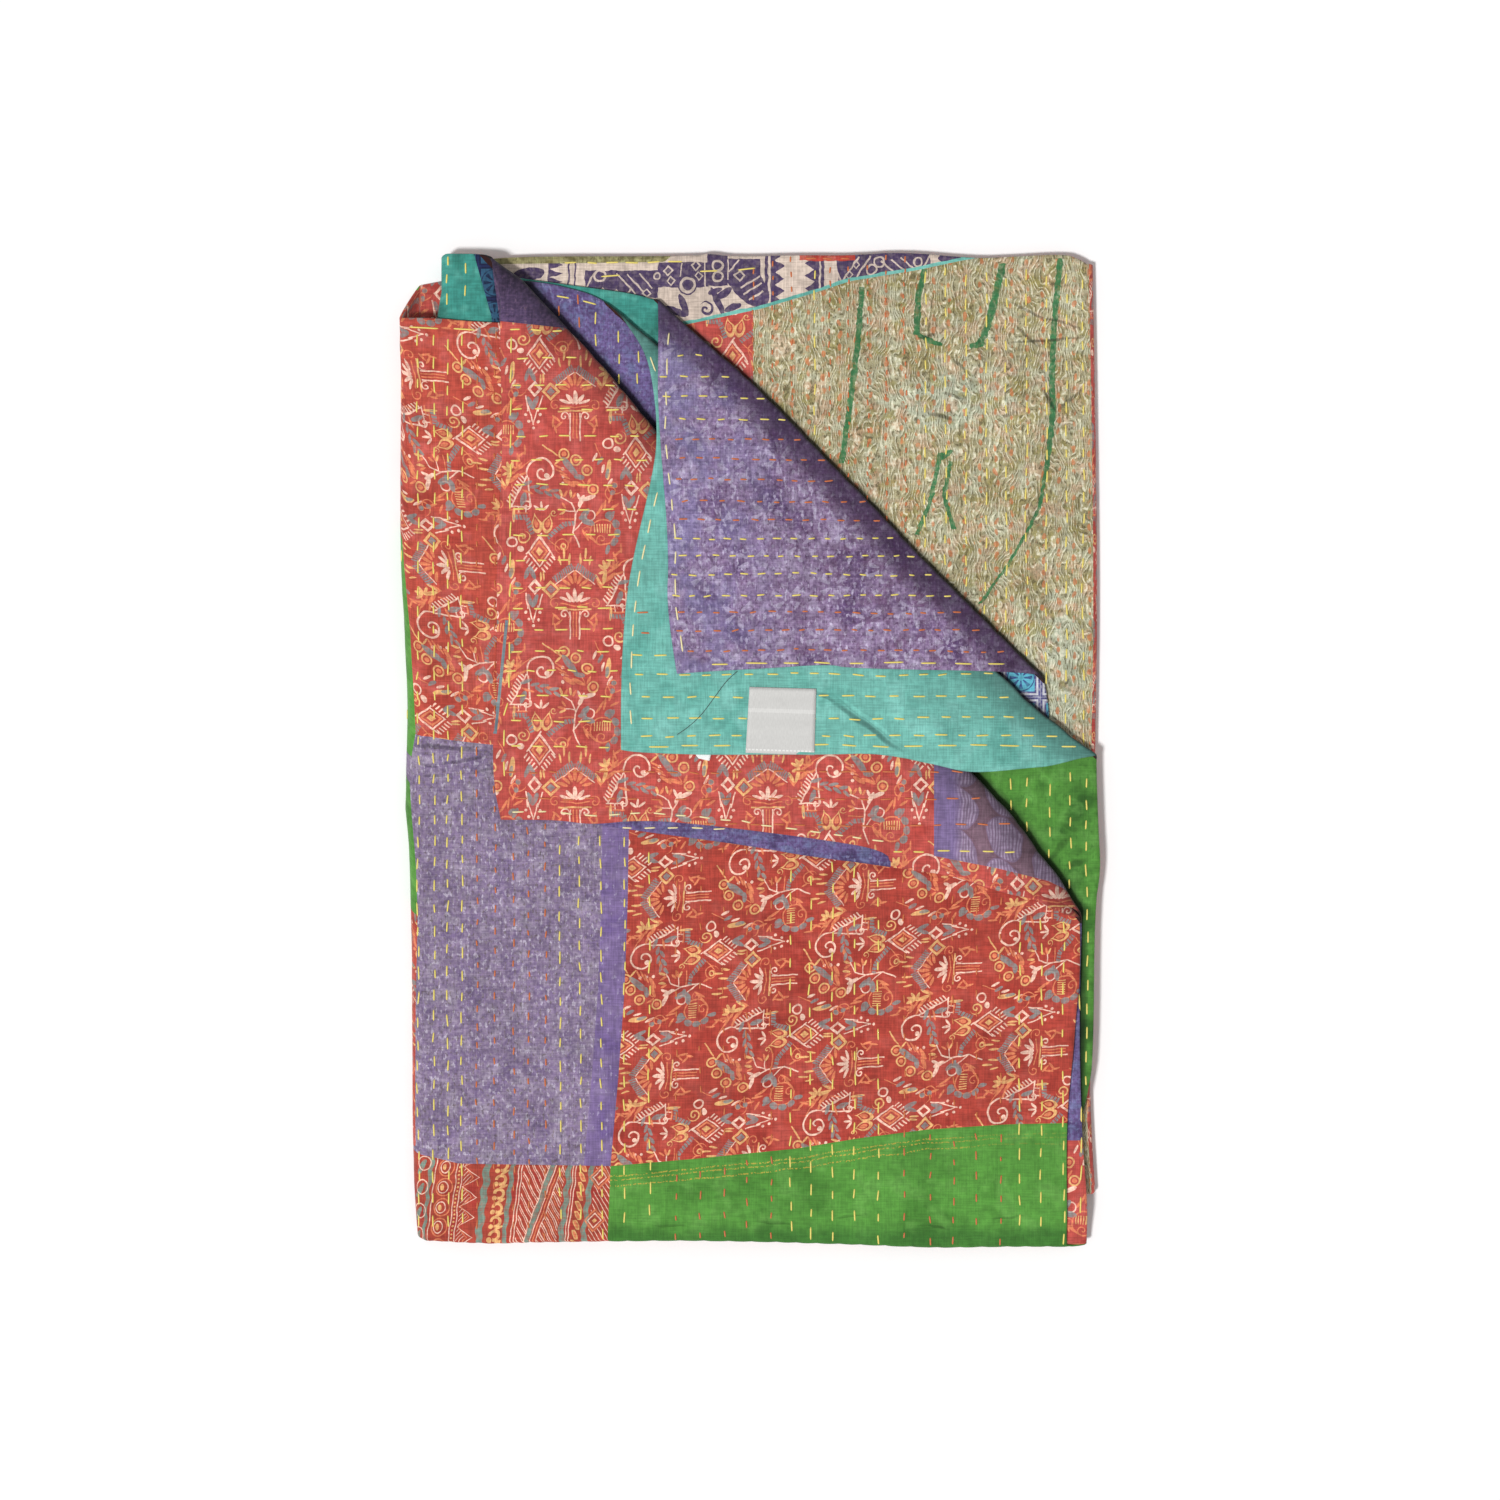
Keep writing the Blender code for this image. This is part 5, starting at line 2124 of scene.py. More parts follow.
            (17, -17, 100, 4, 0.9), (12.8, -19, 140, 4, 0.9), (15.4, -22.5, 75, 3.6, 0.9)),
        ("brush", GOLD_INK): ((4.4, 31, 90, 4.6, 0.9), (8.6, 36, 90, 4.6, 0.9),
            (12, 30, 80, 3.8, 0.8)),
        ("line", CREAM_INK): ((8.2, 16.6, -36, 19, 1), (3.8, -21, 90, 22, 1.3)),
        ("line", ORANGE_INK): ((5.4, -4.8, 9, 12, 1.1), (1.3, -20, 90, 20, 1.1)),
        ("line", GOLD_INK): ((6.4, -8.4, 0, 14, 1.4),),
        ("dashes", BLUE_INK): ((8.6, 20.6, -36, 19, 5.4, 2, 0.3, 0.7),),
        ("curl", ORANGE_INK): ((15.6, -4, 30, 4.6, 1.2, 1.1),),
        ("curl", CREAM_INK): ((8.3, -12.4, 90, 3.8, 1.2, 1.4),),
    }),
    "rosette": ((57, -16), {
        ("brush", GOLD_INK): ((49.6, -12.4, 150, 3.6, 1.3), (51.6, -10.4, 110, 3.6, 1.3),
            (54.4, -10.2, 70, 3.6, 1.3), (50, -16.2, 200, 3.6, 1.3)),
        ("brush", ORANGE_INK): ((59, -12, 55, 5.4, 1), (56, -20, 40, 5.4, 1.5),
            (51, -23.4, 60, 5, 1), (47, -26, 120, 3.6, 0.9), (62.6, -17, 20, 4, 0.9),
            (67, -31, -20, 5, 0.9)),
        ("brush", BLUE_INK): ((66, -24, 20, 4.6, 1.6),),
        ("brush", CREAM_INK): ((60, -30, 60, 3.6, 1),),
        ("line", ORANGE_INK): ((66, -8, 30, 10, 0.9), (55, -30, 100, 10, 0.9)),
        ("curl", CREAM_INK): ((66, -42, 20, 5, 1.4, 1.3),),
    }),
}

BRICK_WIDE = 152.0
BRICK_HIGH = 78.0
PRINT_INKS = (CREAM_INK, ORANGE_INK, GOLD_INK, BLUE_INK)
# The column's two halves are alike, so its marks are given about its own middle.
COLUMN_MIDDLE: Pair = (28, -37)


@dataclass(frozen=True)
class PaisleyCloth(Cloth):
    """Red cloth printed with combs, fringed rhombi, columns and leaves in half-drop bricks.

    middle is where one rhombus lies, across and up lead from it to the next ones beside it
    and above it, and turned cloth has the print's foot to the right.
    """

    deep: Colour = tint(168, 58, 50)
    pale: Colour = tint(206, 104, 98)
    turned: bool = False
    middle: Pair = (0.0, 0.0)
    across: Pair = (BRICK_WIDE, 0.0)
    up: Pair = (0.0, 2 * BRICK_HIGH)

    def paint(self, place: Spot, dress: "Dress") -> Paint:
        """The red ground in clouds, and the print.

        Args:
            place: the cloth's coordinates.
            dress: not used.

        Returns:
            The paint.
        """
        paint = Paint(place.tree, self.ground)
        paint.coat(place.noise(26, 3.0).ramp(0.48, 0.72, 0, 0.6), self.deep)
        paint.coat(place.at(70, 9).noise(18, 3.0).ramp(0.48, 0.7, 0, 0.5), self.pale)
        (ax, ay), (bx, by) = self.across, self.up
        wide, high = (2 * BRICK_HIGH, BRICK_WIDE) if self.turned else (BRICK_WIDE, 2 * BRICK_HIGH)
        area = ax * by - ay * bx
        spot = place.at(*self.middle).slanted((wide * by / area, -wide * bx / area),
                                              (-high * ay / area, high * ax / area))
        spot = spot.wobbly(1.6, 9)
        if self.turned:
            u, v = spot.parts()
            spot = spot.joined(v * -1.0, u * -1.0)
        inks = Inks(spot)
        for name in MOTIFS:
            node = place.tree.nodes.new("ShaderNodeGroup")
            node.node_tree = motif_group(name)
            place.tree.links.new(spot.socket, node.inputs[0])
            for ink, socket in zip(PRINT_INKS, node.outputs):
                inks.add(ink, Field(place.tree, socket))
        return inks.paint(paint)


@cache
def motif_group(name: str) -> bpy.types.NodeTree:
    """The nodes that draw one group of marks in half-drop bricks.

    Args:
        name: the group of marks.

    Returns:
        A group from the print's coordinates to one mask for each ink.
    """
    group = bpy.data.node_groups.new(f"print_{name}", "ShaderNodeTree")
    group.interface.new_socket("point", in_out="INPUT", socket_type="NodeSocketVector")
    for index in range(len(PRINT_INKS)):
        group.interface.new_socket(f"ink_{index}", in_out="OUTPUT",
                                   socket_type="NodeSocketFloat")
    start = group.nodes.new("NodeGroupInput")
    u, v = Spot(group, start.outputs[0]).parts()
    (x, y), strokes = MOTIFS[name]
    row = ((v - y) * (1 / BRICK_HIGH) + 0.5).math("FLOOR")
    across = (u - x - row * (BRICK_WIDE / 2)).repeat(BRICK_WIDE) + x
    spot = Spot(group, start.outputs[0]).joined(across, (v - y).repeat(BRICK_HIGH) + y)
    inks = Inks(spot.at(*COLUMN_MIDDLE).mirrored() if name == "column" else spot)
    for (stroke, ink), marks in strokes.items():
        for mark in marks:
            getattr(inks, stroke)(ink, *mark)
    end = group.nodes.new("NodeGroupOutput")
    for ink, socket in zip(PRINT_INKS, end.inputs):
        if ink in inks.masks:
            group.links.new(inks.masks[ink].socket, socket)
    return group


@dataclass(frozen=True)
class BandedCloth(Cloth):
    """Red cloth printed with leaning upright bands: waves, hearts, scrolls and hatching."""

    teal: Colour = tint(116, 150, 136)

    LEAN = 0.13
    TOP = -329.0

    def paint(self, place: Spot, dress: "Dress") -> Paint:
        """The bands, from the left to the right.

        Args:
            place: the cloth's coordinates.
            dress: not used.

        Returns:
            The paint.
        """
        spot = place.slanted((1.0, -self.LEAN), (0.0, 1.0)).at(-self.LEAN * self.TOP, self.TOP)
        spot = spot.wobbly(1.8, 11)
        across, up = spot.parts()
        paint = Paint(place.tree, self.ground)
        paint.coat(place.noise(15, 3.0).ramp(0.5, 0.7, 0, 0.5), tint(166, 38, 42))
        inks = Inks(spot)
        wave = (up * 0.42).math("SINE") * 0.8
        for band, half in ((-249.5, 1.6), (-205.2, 2.7), (-185.3, 1.9), (-140.2, 2.2),
                           (-122.6, 2.2)):
            inks.add(self.teal, across.near(wave + band, half))
        for band in (-245.6, -228.9, -224.6, -179.8, -177.4, -136.8, -134.6):
            inks.add(CREAM_INK, across.near(wave * 0.3 + band, 0.42))
        sprig = spot.joined(across + 257.6, up.repeat(19.0))
        inks.add(self.teal, sprig.at(0, 0, 62, (7.0, 2.4)).far2().below(1.0))
        inks.add(CREAM_INK, sprig.far(2.0, 3.0).near(5.6, 0.45))
        arch = spot.joined(across + 237.2, up.repeat(15.8))
        inks.add(ORANGE_INK, arch.at(0, 0, 0, (6.6, 7.6)).far().near(0.9, 0.07))
        inks.add(CREAM_INK, arch.at(-1.0, 0, 0, (4.2, 5.2)).far().near(0.85, 0.09))
        inks.add(GOLD_INK, arch.at(-1.6, 0, 0, (1.4, 2.4)).far2().below(1.0))
        inks.add(GOLD_INK, spot.joined(across + 226.8, up.repeat(3.1)).far().below(0.8))
        peak = up.zigzag(7.9)
        inks.add(CREAM_INK, across.near(peak * 1.62 + -223.2, 0.5))
        inks.add(ORANGE_INK, across.near(peak * 0.95 + -222.4, 0.42))
        inks.add(CREAM_INK, (across - up * 0.8).repeat(2.9).near(0, 0.3)
                 * across.below(peak * 0.8 + -222.4) * across.above(-223.0))
        scroll = spot.joined(across + 194.4, up.repeat(11.0))
        curl_x, curl_y = scroll.parts()
        hook = scroll.far(1.2, 1.0).near(3.5, 1.15) * curl_x.above(0.0).either(curl_y.above(0.8))
        inks.add(GOLD_INK, hook.either(scroll.far(-2.4, -2.6).below(1.9)))
        inks.add(GOLD_INK, scroll.at(3.6, -4.0, 25, (3.6, 1.1)).far2().below(1.0))
        bar = across - up * 0.23
        down = across + up * 0.62
        hatch = down.repeat(5.4).near(0, 0.45).either((down + 1.6).repeat(5.4).near(0, 0.3))
        open_part = (bar + 151.3).math("ABSOLUTE").above(5.2)
        inks.add(CREAM_INK, hatch * across.near(-159.8, 16.2) * open_part)
        inks.add(ORANGE_INK, (down + 3.4).repeat(5.4).near(0, 0.3)
                 * across.near(-149.0, 6.0) * open_part)
        for ink, middle, half in ((self.teal, -153.9, 1.8), (CREAM_INK, -156.3, 0.4),
                                  (CREAM_INK, -151.2, 0.4), (CREAM_INK, -146.4, 0.4),
                                  (ORANGE_INK, -148.8, 0.4)):
            inks.add(ink, bar.near(middle, half))
        leaf = spot.joined(across + 129.4, up.repeat(7.6)).at(0, 0, 118, (5.4, 1.7)).far2()
        inks.add(GOLD_INK, leaf.below(1.0) * leaf.above(0.34))
        inks.add(ORANGE_INK, leaf.below(0.34))
        square = spot.joined(across + 115.4, (up + 8.0).repeat(34.0)).rhombus(8.4, 9.4)
        inks.add(ORANGE_INK, square.near(0.92, 0.10))
        inks.add(CREAM_INK, square.near(0.62, 0.07))
        inks.add(GOLD_INK, square.below(0.22))
        inks.add(CREAM_INK, (across + up * 0.7).repeat(3.4).near(0, 0.35)
                 * across.above(-119.0) * square.above(1.05))
        return inks.paint(paint)


@dataclass(frozen=True)
class CarvedCloth(Cloth):
    """Beige cloth with bold shapes in violet, cut with thin lines, and columns of teeth."""

    violet: Colour = tint(60, 42, 86)
    scrap: Colour = tint(190, 66, 48)

    def paint(self, place: Spot, dress: "Dress") -> Paint:
        """The shapes from the left to the right, and then what is cut into them.

        Args:
            place: the cloth's coordinates.
            dress: not used.

        Returns:
            The paint.
        """
        spot = place.at(3.3, 0).wobbly(2.0, 7)
        bold, ink = Inks(spot), self.violet
        for mark in ((-54, 353, -70, 9, 2.8), (-60, 348, -25, 9, 2.8), (-27, 356, -65, 12, 2.6),
                     (-22, 362, 35, 7, 2.8), (-15, 351, 20, 7, 2.8), (-29, 364, 20, 6, 2.2),
                     (-18, 343, 10, 6, 2.6), (2, 349, 5, 7, 2.4), (-4, 370, -48, 23, 12),
                     (-177, 377, 10, 13, 5.5), (157, 390, 0, 9, 4), (187, 392, 20, 10, 5),
                     (219, 391, 0, 12, 4)):
            bold.brush(ink, *mark)
        for mark in ((-103, 369.5, 0, 58, 25), (-54, 377, 0, 40, 23), (-27, 381, 0, 16, 30),
                     (-6, 381, 0, 26, 20), (105, 382, 8, 74, 40), (11.7, 372, 90, 50, 3),
                     (17, 372, 90, 50, 4.4), (51.5, 376, 90, 50, 4.4), (56.2, 376, 90, 50, 3)):
            bold.line(ink, *mark)
        bold.dot(ink, -50.6, 368.6, 7.6)
        bold.teeth(ink, -160, 378, 0, 11, 6.5, 34)
        bold.teeth(ink, 18.6, 374, 0, 7.4, 9.8, 58)
        bold.teeth(ink, 50, 376, 180, 8, 9.8, 58)
        for x in (-145, -140):
            bold.line(ink, x, 376, 88, 66, 1.5)
        bold.curl(ink, -36, 350, 0, 6.0, 1.2, 2.6)
        paint = bold.paint(Paint(place.tree, self.ground), 0.96, 0.88)
        cut, ink = Inks(spot), self.ground
        for mark in ((-100.2, 370.4, -47, 20, 1.4), (-92, 370.4, -47, 19, 1.4),
                     (-84, 372, -47, 15, 1.4), (-128, 372, 60, 15, 1.3), (-56, 381, 80, 11, 1.2),
                     (-18.5, 381, 90, 16, 1.3), (-37, 377, 90, 20, 1.3), (-1.3, 371, 32, 18, 1.7),
                     (1.0, 365.9, 32, 17, 1.7), (3.3, 360.4, 32, 13, 1.7), (-14, 384, 50, 12, 1.4),
                     (78, 381, 56, 26, 1.6), (87.1, 381, 56, 26, 1.6), (69, 376, 115, 18, 1.4),
                     (109.8, 381.3, -42, 19, 1.6), (117.5, 383, -42, 19, 1.6),
                     (124, 385.5, -42, 15, 1.6), (139, 388, 60, 12, 1.4)):
            cut.line(ink, *mark)
        for x, y, half in ((-118, 363, 3.8), (-107, 362.2, 3.8), (-95.5, 362, 3.8),
                           (-83, 362, 3.8), (-66, 380, 4.2), (-64, 372, 3.6), (-44, 384, 4.2),
                           (-42, 376, 3.4), (-9.5, 376.3, 4.6), (77.5, 377, 3.2),
                           (83, 384.6, 3.2), (73, 370.5, 3.0), (92.5, 372, 3.2)):
            cut.lozenge(ink, x, y, (half, half), 0.85, 0.2)
        for mark in ((-120, 376, 4.4, 2.0), (-75, 375.9, 2.4, 1.4), (-50.6, 368.6, 5.4, 2.6),
                     (-26.9, 384.1, 4.0, 2.0), (-26.9, 375.5, 3.8, 2.0), (95, 381, 3.8, 1.8),
                     (101, 387, 4.0, 1.8), (131.7, 387, 3.4, 1.6), (130.5, 379.5, 3.0, 1.6)):
            cut.ring(ink, *mark)
        cut.line(self.scrap, 60, 391.5, 0, 44, 8)
        return cut.paint(paint, 0.95, 0.85)


@dataclass(frozen=True)
class LeafStripeCloth(Cloth):
    """Brown-violet cloth with rounded leaves in thin lavender stripes."""

    violet: Colour = tint(128, 106, 132)
    stripe: Colour = tint(160, 142, 168)

    def paint(self, place: Spot, dress: "Dress") -> Paint:
        """The leaves, and a plain violet edge at the left.

        Args:
            place: the cloth's coordinates.
            dress: not used.

        Returns:
            The paint.
        """
        u, v = place.wobbly(5.0, 18).parts()
        shift = ((u - 6) * (1 / 36.0)).math("FLOOR") * 15.0
        tile = place.joined((u - 24).repeat(36.0), (v + shift + u * 0.3).repeat(34.0))
        leaf = tile.at(0, 0, 24, (14.5, 17.5)).far()
        paint = Paint(place.tree, self.ground)
        paint.coat(leaf.near(1.06, 0.10) * 0.35, tint(98, 68, 84))
        paint.coat(leaf.below(1.0), self.violet)
        worn = place.noise(6, 2.0).ramp(0.3, 0.6, 0.5, 1.0)
        paint.coat(u.repeat(2.5).near(0, 0.62) * leaf.below(0.94) * worn, self.stripe)
        paint.coat(u.ramp(163, 172, 0.9, 0.0), tint(120, 102, 146))
        return paint


@dataclass(frozen=True)
class FlowerTileCloth(Cloth):
    """White cloth printed in blue with squares that hold a flower."""

    blue: Colour = tint(52, 48, 120)
    sky: Colour = tint(96, 178, 200)
    tile: float = 31.0

    def paint(self, place: Spot, dress: "Dress") -> Paint:
        """The squares, the flowers and the lines between them.

        Args:
            place: the cloth's coordinates.
            dress: not used.

        Returns:
            The paint.
        """
        u, v = place.at(215.4, 56.7).parts()
        tile = place.joined(u.repeat(self.tile), v.repeat(self.tile))
        x, y = tile.parts()
        square = x.math("ABSOLUTE").either(y.math("ABSOLUTE"))
        paint = Paint(place.tree, self.ground)
        paint.coat(square.below(11.0), self.sky)
        inks = Inks(tile)
        inks.add(self.blue, square.near(11.6, 0.7))
        inks.add(self.blue, square.near(14.6, 0.8))
        inks.fan(self.blue, 0, 0, 0, 2.5, 9.0, 8, 361, 0.45)
        inks.ring(self.blue, 0, 0, 10.5, 1.0)
        return inks.paint(paint)


@dataclass(frozen=True)
class DriftingViolet(CloudyCloth):
    """Violet cloth that is plum towards the right and bluish towards the left."""

    def paint(self, place: Spot, dress: "Dress") -> Paint:
        """The clouds, the drift of the dye, and a painted plum shade near the crease.

        Args:
            place: the cloth's coordinates.
            dress: the material that this is part of.

        Returns:
            The paint.
        """
        paint = super().paint(place, dress)
        u = place.along(1, 0)
        blue = place.at(20, 70).noise(30, 3.0).ramp(0.4, 0.6, 0.1, 0.8)
        paint.coat(blue * u.ramp(-70, 60, 0.7, 0.0), tint(126, 122, 168))
        plum = place.at(10, 60).noise(13, 4.0).ramp(0.5, 0.66, 0, 0.7)
        paint.coat(plum * u.ramp(-60, 150, 0.1, 0.75), tint(98, 62, 96))
        across, up = place.at(0, 0, 17).wobbly(6.0, 20).parts()
        row = (up * (1 / 36.0)).math("ROUND") * 17.0
        flowers = Inks(place.joined((across + row).repeat(39.0), up.repeat(36.0)))
        flowers.fan(self.fleck, 0, 0, 20, 3.0, 12.5, 6, 361, 0.42)
        paint = flowers.paint(paint, 0.4, 0.1)
        # Painted shade: deep plum where the turned corner's painted shade is darkest, near the
        # crease.
        return paint.coat(dress.shade.ramp(0.5, 0.98, 0.6, 0.0), tint(82, 48, 98))


@dataclass(frozen=True)
class BorderedGreen(CloudyCloth):
    """Green cloth with dotted gold lines beside its upper seam, and painted shade along its foot.
    """

    def paint(self, place: Spot, dress: "Dress") -> Paint:
        """The green, the painted shade along its foot, and the gold lines.

        Args:
            place: the cloth's coordinates.
            dress: the material that this is part of.

        Returns:
            The paint.
        """
        paint = super().paint(place, dress)
        u, v = place.parts()
        # Painted shade: darker green along the foot, where the cloth rolls round the bottom fold.
        paint.coat((v + place.noise(22, 2.0) * 14).ramp(-380, -364, 0.75, 0.0), tint(50, 102, 38))
        speck = place.noise(1.6, 1.0).above(0.5) * u.ramp(120, 215, 0.72, 0.15)
        wander = place.noise(18, 2.0) * 3.0
        for depth in (-8.0, -11.0, -16.0):
            lines = (dress.seams[1] + wander).near(depth + 1.5, 0.55) * speck
            paint.coat(lines, tint(196, 168, 70))
        return paint


@dataclass(frozen=True)
class StripedTan(CloudyCloth):
    """Tan cloth, mottled, with a few painted green stripes of their own widths."""

    stripes: tuple[tuple[float, Line], ...] = ()
    hooks: tuple[tuple[float, float, float, float, float], ...] = ()
    stripe: Colour = tint(46, 116, 70)

    def paint(self, place: Spot, dress: "Dress") -> Paint:
        """The mottled tan with its lines and worn places, and each stripe along its line.

        Args:
            place: the cloth's coordinates.
            dress: the material that this is part of.

        Returns:
            The paint.
        """
        paint = super().paint(place, dress)
        u, v = place.parts()
        mint = place.at(158, 276, 8, (64, 34)).far() + place.noise(18, 4.0) * 1.5
        low = place.at(246, 62, 90, (74, 34)).far() + place.noise(14, 4.0) * 1.5
        paint.coat(mint.math("MINIMUM", low).ramp(1.1, 1.7, 0.62, 0), tint(188, 200, 180))
        paint.coat(place.at(5, 88).noise(20, 4.0).ramp(0.5, 0.66, 0, 0.5), tint(200, 204, 178))
        paint.coat(place.at(33, 7).noise(16, 3.0).ramp(0.5, 0.66, 0, 0.55), tint(204, 166, 138))
        paint.coat(place.at(9, 50).noise(13, 3.0).ramp(0.54, 0.68, 0, 0.6), tint(150, 140, 72))
        worn = place.noise(2.4, 3.0, (1, 1.6))
        flow = u + place.at(70, 20).noise(20, 2.5, (1, 1.9)) * 32.0
        fine = place.noise(0.9, 2.0, (1, 3))
        for shift, half, strength, colour in (
                (0.0, 0.5, 0.8, tint(98, 88, 60)), (1.2, 0.44, 0.66, tint(238, 234, 210)),
                (2.2, 0.4, 0.45, tint(118, 112, 76))):
            line = (flow + shift).repeat(3.3).near(0, half)
            paint.coat(line * (worn + fine).ramp(0.84, 1.12, 0, strength), colour)
        tile = place.wobbly(5.0, 12)
        x, y = tile.parts()
        bead = tile.joined(x.repeat(12.4), (y + (x * (1 / 12.4)).math("ROUND") * 4.1).repeat(9.6))
        bead = bead.at(0, 0, 0, (1.5, 2.8)).far2().below(1.0)
        present = place.noise(11, 2.0).ramp(0.42, 0.56, 0.1, 0.75)
        paint.coat(bead * present, tint(196, 118, 72))
        spot = place.at(3, 0).wobbly(2.4, 5)
        u, v = spot.parts()
        green = Inks(spot)
        for half, line in self.stripes:
            points = [(y, x) for x, y in line]
            low, high = points[0][0], points[-1][0]
            green.add(self.stripe, u.near(follow(v, points), half)
                      * v.near((low + high) / 2, (high - low) / 2))
        for hook in self.hooks:
            green.brush(self.stripe, *hook)
        return green.paint(paint, 0.94, 0.7)


def follow(field_in: Field, points: Sequence[Pair]) -> Field:
    """The height of a line of points over a number.

    Args:
        field_in: the number.
        points: the line, with the number first.

    Returns:
        The height.
    """
    node = field_in.tree.nodes.new("ShaderNodeFloatCurve")
    xs, ys = [x for x, _ in points], [y for _, y in points]
    span, low, rise = xs[-1] - xs[0], min(ys), max(max(ys) - min(ys), 1e-6)
    curve = node.mapping.curves[0]
    while len(curve.points) < len(points):
        curve.points.new(0.5, 0.5)
    for point, (x, y) in zip(curve.points, sorted(points)):
        point.location = ((x - xs[0]) / span, (y - low) / rise)
        point.handle_type = "VECTOR"
    node.mapping.update()
    share = field_in.math("MULTIPLY_ADD", 1 / span, -xs[0] / span)
    field_in.tree.links.new(share.socket, node.inputs["Value"])
    return Field(field_in.tree, node.outputs[0]).math("MULTIPLY_ADD", rise, low)


class Dress:
    """The material of one shown area, with a shader for each of its patches."""

    DIP = -0.5
    DIP_WIDE = 1.3
    RISE = 0.35
    RISE_WIDE = 2.4
    RISE_AT = 2.6

    def __init__(self, name: str) -> None:
        """Args:
            name: the finish.
        """
        self.material = bpy.data.materials.new(name)
        self.material.use_nodes = True
        self.tree = self.material.node_tree
        self.tree.nodes.clear()
        uv = self.tree.nodes.new("ShaderNodeUVMap")
        uv.uv_map = "cloth"
        metres = Spot(self.tree, uv.outputs[0])
        scaled = metres.vector("MULTIPLY_ADD", uv.outputs[0], (1000, 1000, 0), (0, 0, 1))
        self.place = Spot(self.tree, scaled)
        self.seams = [self._mark(layer) for layer in QuiltBody.SEAM_LAYERS]
        self.shade = self._mark("shade")
        self.seam_height = self._seam_height()

    def _mark(self, layer: str) -> Field:
        """The mark that the cloth carries in a layer.

        Args:
            layer: the layer that it is read from.

        Returns:
            The mark's value.
        """
        node = self.tree.nodes.new("ShaderNodeAttribute")
        node.attribute_name = layer
        return Field(self.tree, node.outputs["Fac"])

    def _seam_height(self) -> Field:
        """How far the cloth stands up or dips beside its seams.

        Returns:
            The height.
        """
        total = None
        for seam in self.seams:
            dip = seam.math("ABSOLUTE").ramp(0.0, self.DIP_WIDE, self.DIP, 0.0)
            away = (seam - self.RISE_AT).math("ABSOLUTE")
            both = dip + away.ramp(0.0, self.RISE_WIDE, self.RISE, 0.0)
            total = both if total is None else total + both
        return total

    def mix(self, mask: Field, without: bpy.types.NodeSocket,
            within: bpy.types.NodeSocket) -> bpy.types.NodeSocket:
        """One shader where the mask holds, and another elsewhere.

        Args:
            mask: where the second one shows.
            without: the shader elsewhere.
            within: the shader where the mask holds.

        Returns:
            The mixed shader.
        """
        node = self.tree.nodes.new("ShaderNodeMixShader")
        self.tree.links.new(mask.socket, node.inputs[0])
        self.tree.links.new(without, node.inputs[1])
        self.tree.links.new(within, node.inputs[2])
        return node.outputs[0]

    def done(self, shader: bpy.types.NodeSocket) -> bpy.types.Material:
        """Ends the material.

        Args:
            shader: the shader of the whole area.

        Returns:
            The material.
        """
        output = self.tree.nodes.new("ShaderNodeOutputMaterial")
        self.tree.links.new(shader, output.inputs[0])
        return self.material


RED_UPRIGHT = PaisleyCloth(tint(186, 78, 70), middle=(-164.1, 156.5))
RED_TURNED = PaisleyCloth(tint(174, 66, 54), deep=tint(148, 44, 36), pale=tint(190, 88, 78),
                          turned=True, middle=(-23.2, -158.5),
                          across=(145.5, 9.3), up=(9.6, 140.3))
RED_STRIP = PaisleyCloth(tint(184, 76, 62), deep=tint(160, 54, 44), turned=True,
                         middle=(-219.0, 246.0), across=(150.7, -11.8), up=(-29.5, 151.0))
VIOLET = DriftingViolet(tint(140, 117, 152), deep=tint(80, 54, 100), pale=tint(178, 162, 192),
                        cloud=34.0, fleck=tint(206, 198, 222), fleck_size=4.2,
                        fleck_share=0.605, fleck_amount=0.6, second_fleck=tint(84, 52, 84),
                        pucker=1.2, grain=0.35, deep_amount=0.75, mottle_and_pucker_shade=0.2)
DARK_VIOLET = CloudyCloth(tint(86, 68, 102), deep=tint(46, 34, 60), pale=tint(112, 86, 120),
                          cloud=30.0, fleck=tint(140, 112, 132), fleck_share=0.66,
                          fleck_amount=0.5, grain=0.4)
BLUE_VIOLET = CloudyCloth(tint(110, 92, 142), deep=tint(66, 52, 94), pale=tint(114, 122, 164),
                          cloud=26.0, fleck=tint(168, 166, 200), fleck_share=0.64,
                          fleck_amount=0.4, grain=0.45)
MAUVE = CloudyCloth(tint(137, 119, 149), deep=tint(102, 84, 126), pale=tint(166, 154, 172),
                    cloud=26.0, fleck=tint(206, 198, 214), fleck_size=3.6, fleck_share=0.61,
                    fleck_amount=0.6, second_fleck=tint(104, 92, 84), pucker=1.4, grain=0.35,
                    mottle_and_pucker_shade=0.2, deep_amount=0.5,
                    wrinkles=((-240, 3, -5, 40, 2.4, 0.5), (-224, -7, 10, 26, 1.8, 0.4),
                              (-252, -11, -14, 13, 1.6, 0.35), (-204, -14, 16, 18, 1.5, 0.35),
                              (-247, -19, 5, 18, 1.4, 0.25)))
VIOLET_BAND = CloudyCloth(tint(124, 104, 150), deep=tint(104, 84, 136), pale=tint(142, 124, 162),
                          cloud=24.0, fleck=tint(190, 182, 206), fleck_share=0.65,
                          fleck_amount=0.4)
TEAL = CloudyCloth(tint(112, 180, 168), deep=tint(84, 154, 142), pale=tint(132, 196, 186),
                   cloud=60.0, streak=0.12, mottle_and_pucker_shade=0.08, fleck=tint(84, 150, 138),
                   fleck_share=0.66, fleck_amount=0.3,
                   # The second wrinkle is a painted highlight along the first one's painted shade.
                   wrinkles=((94.0, 20.5, -36.6, 42, 3.0, 0.55),
                             (96.5, 24.5, -36.6, 36, 2.2, -0.2),
                             (60.0, 44.0, -20.0, 16, 2.0, 0.3)))
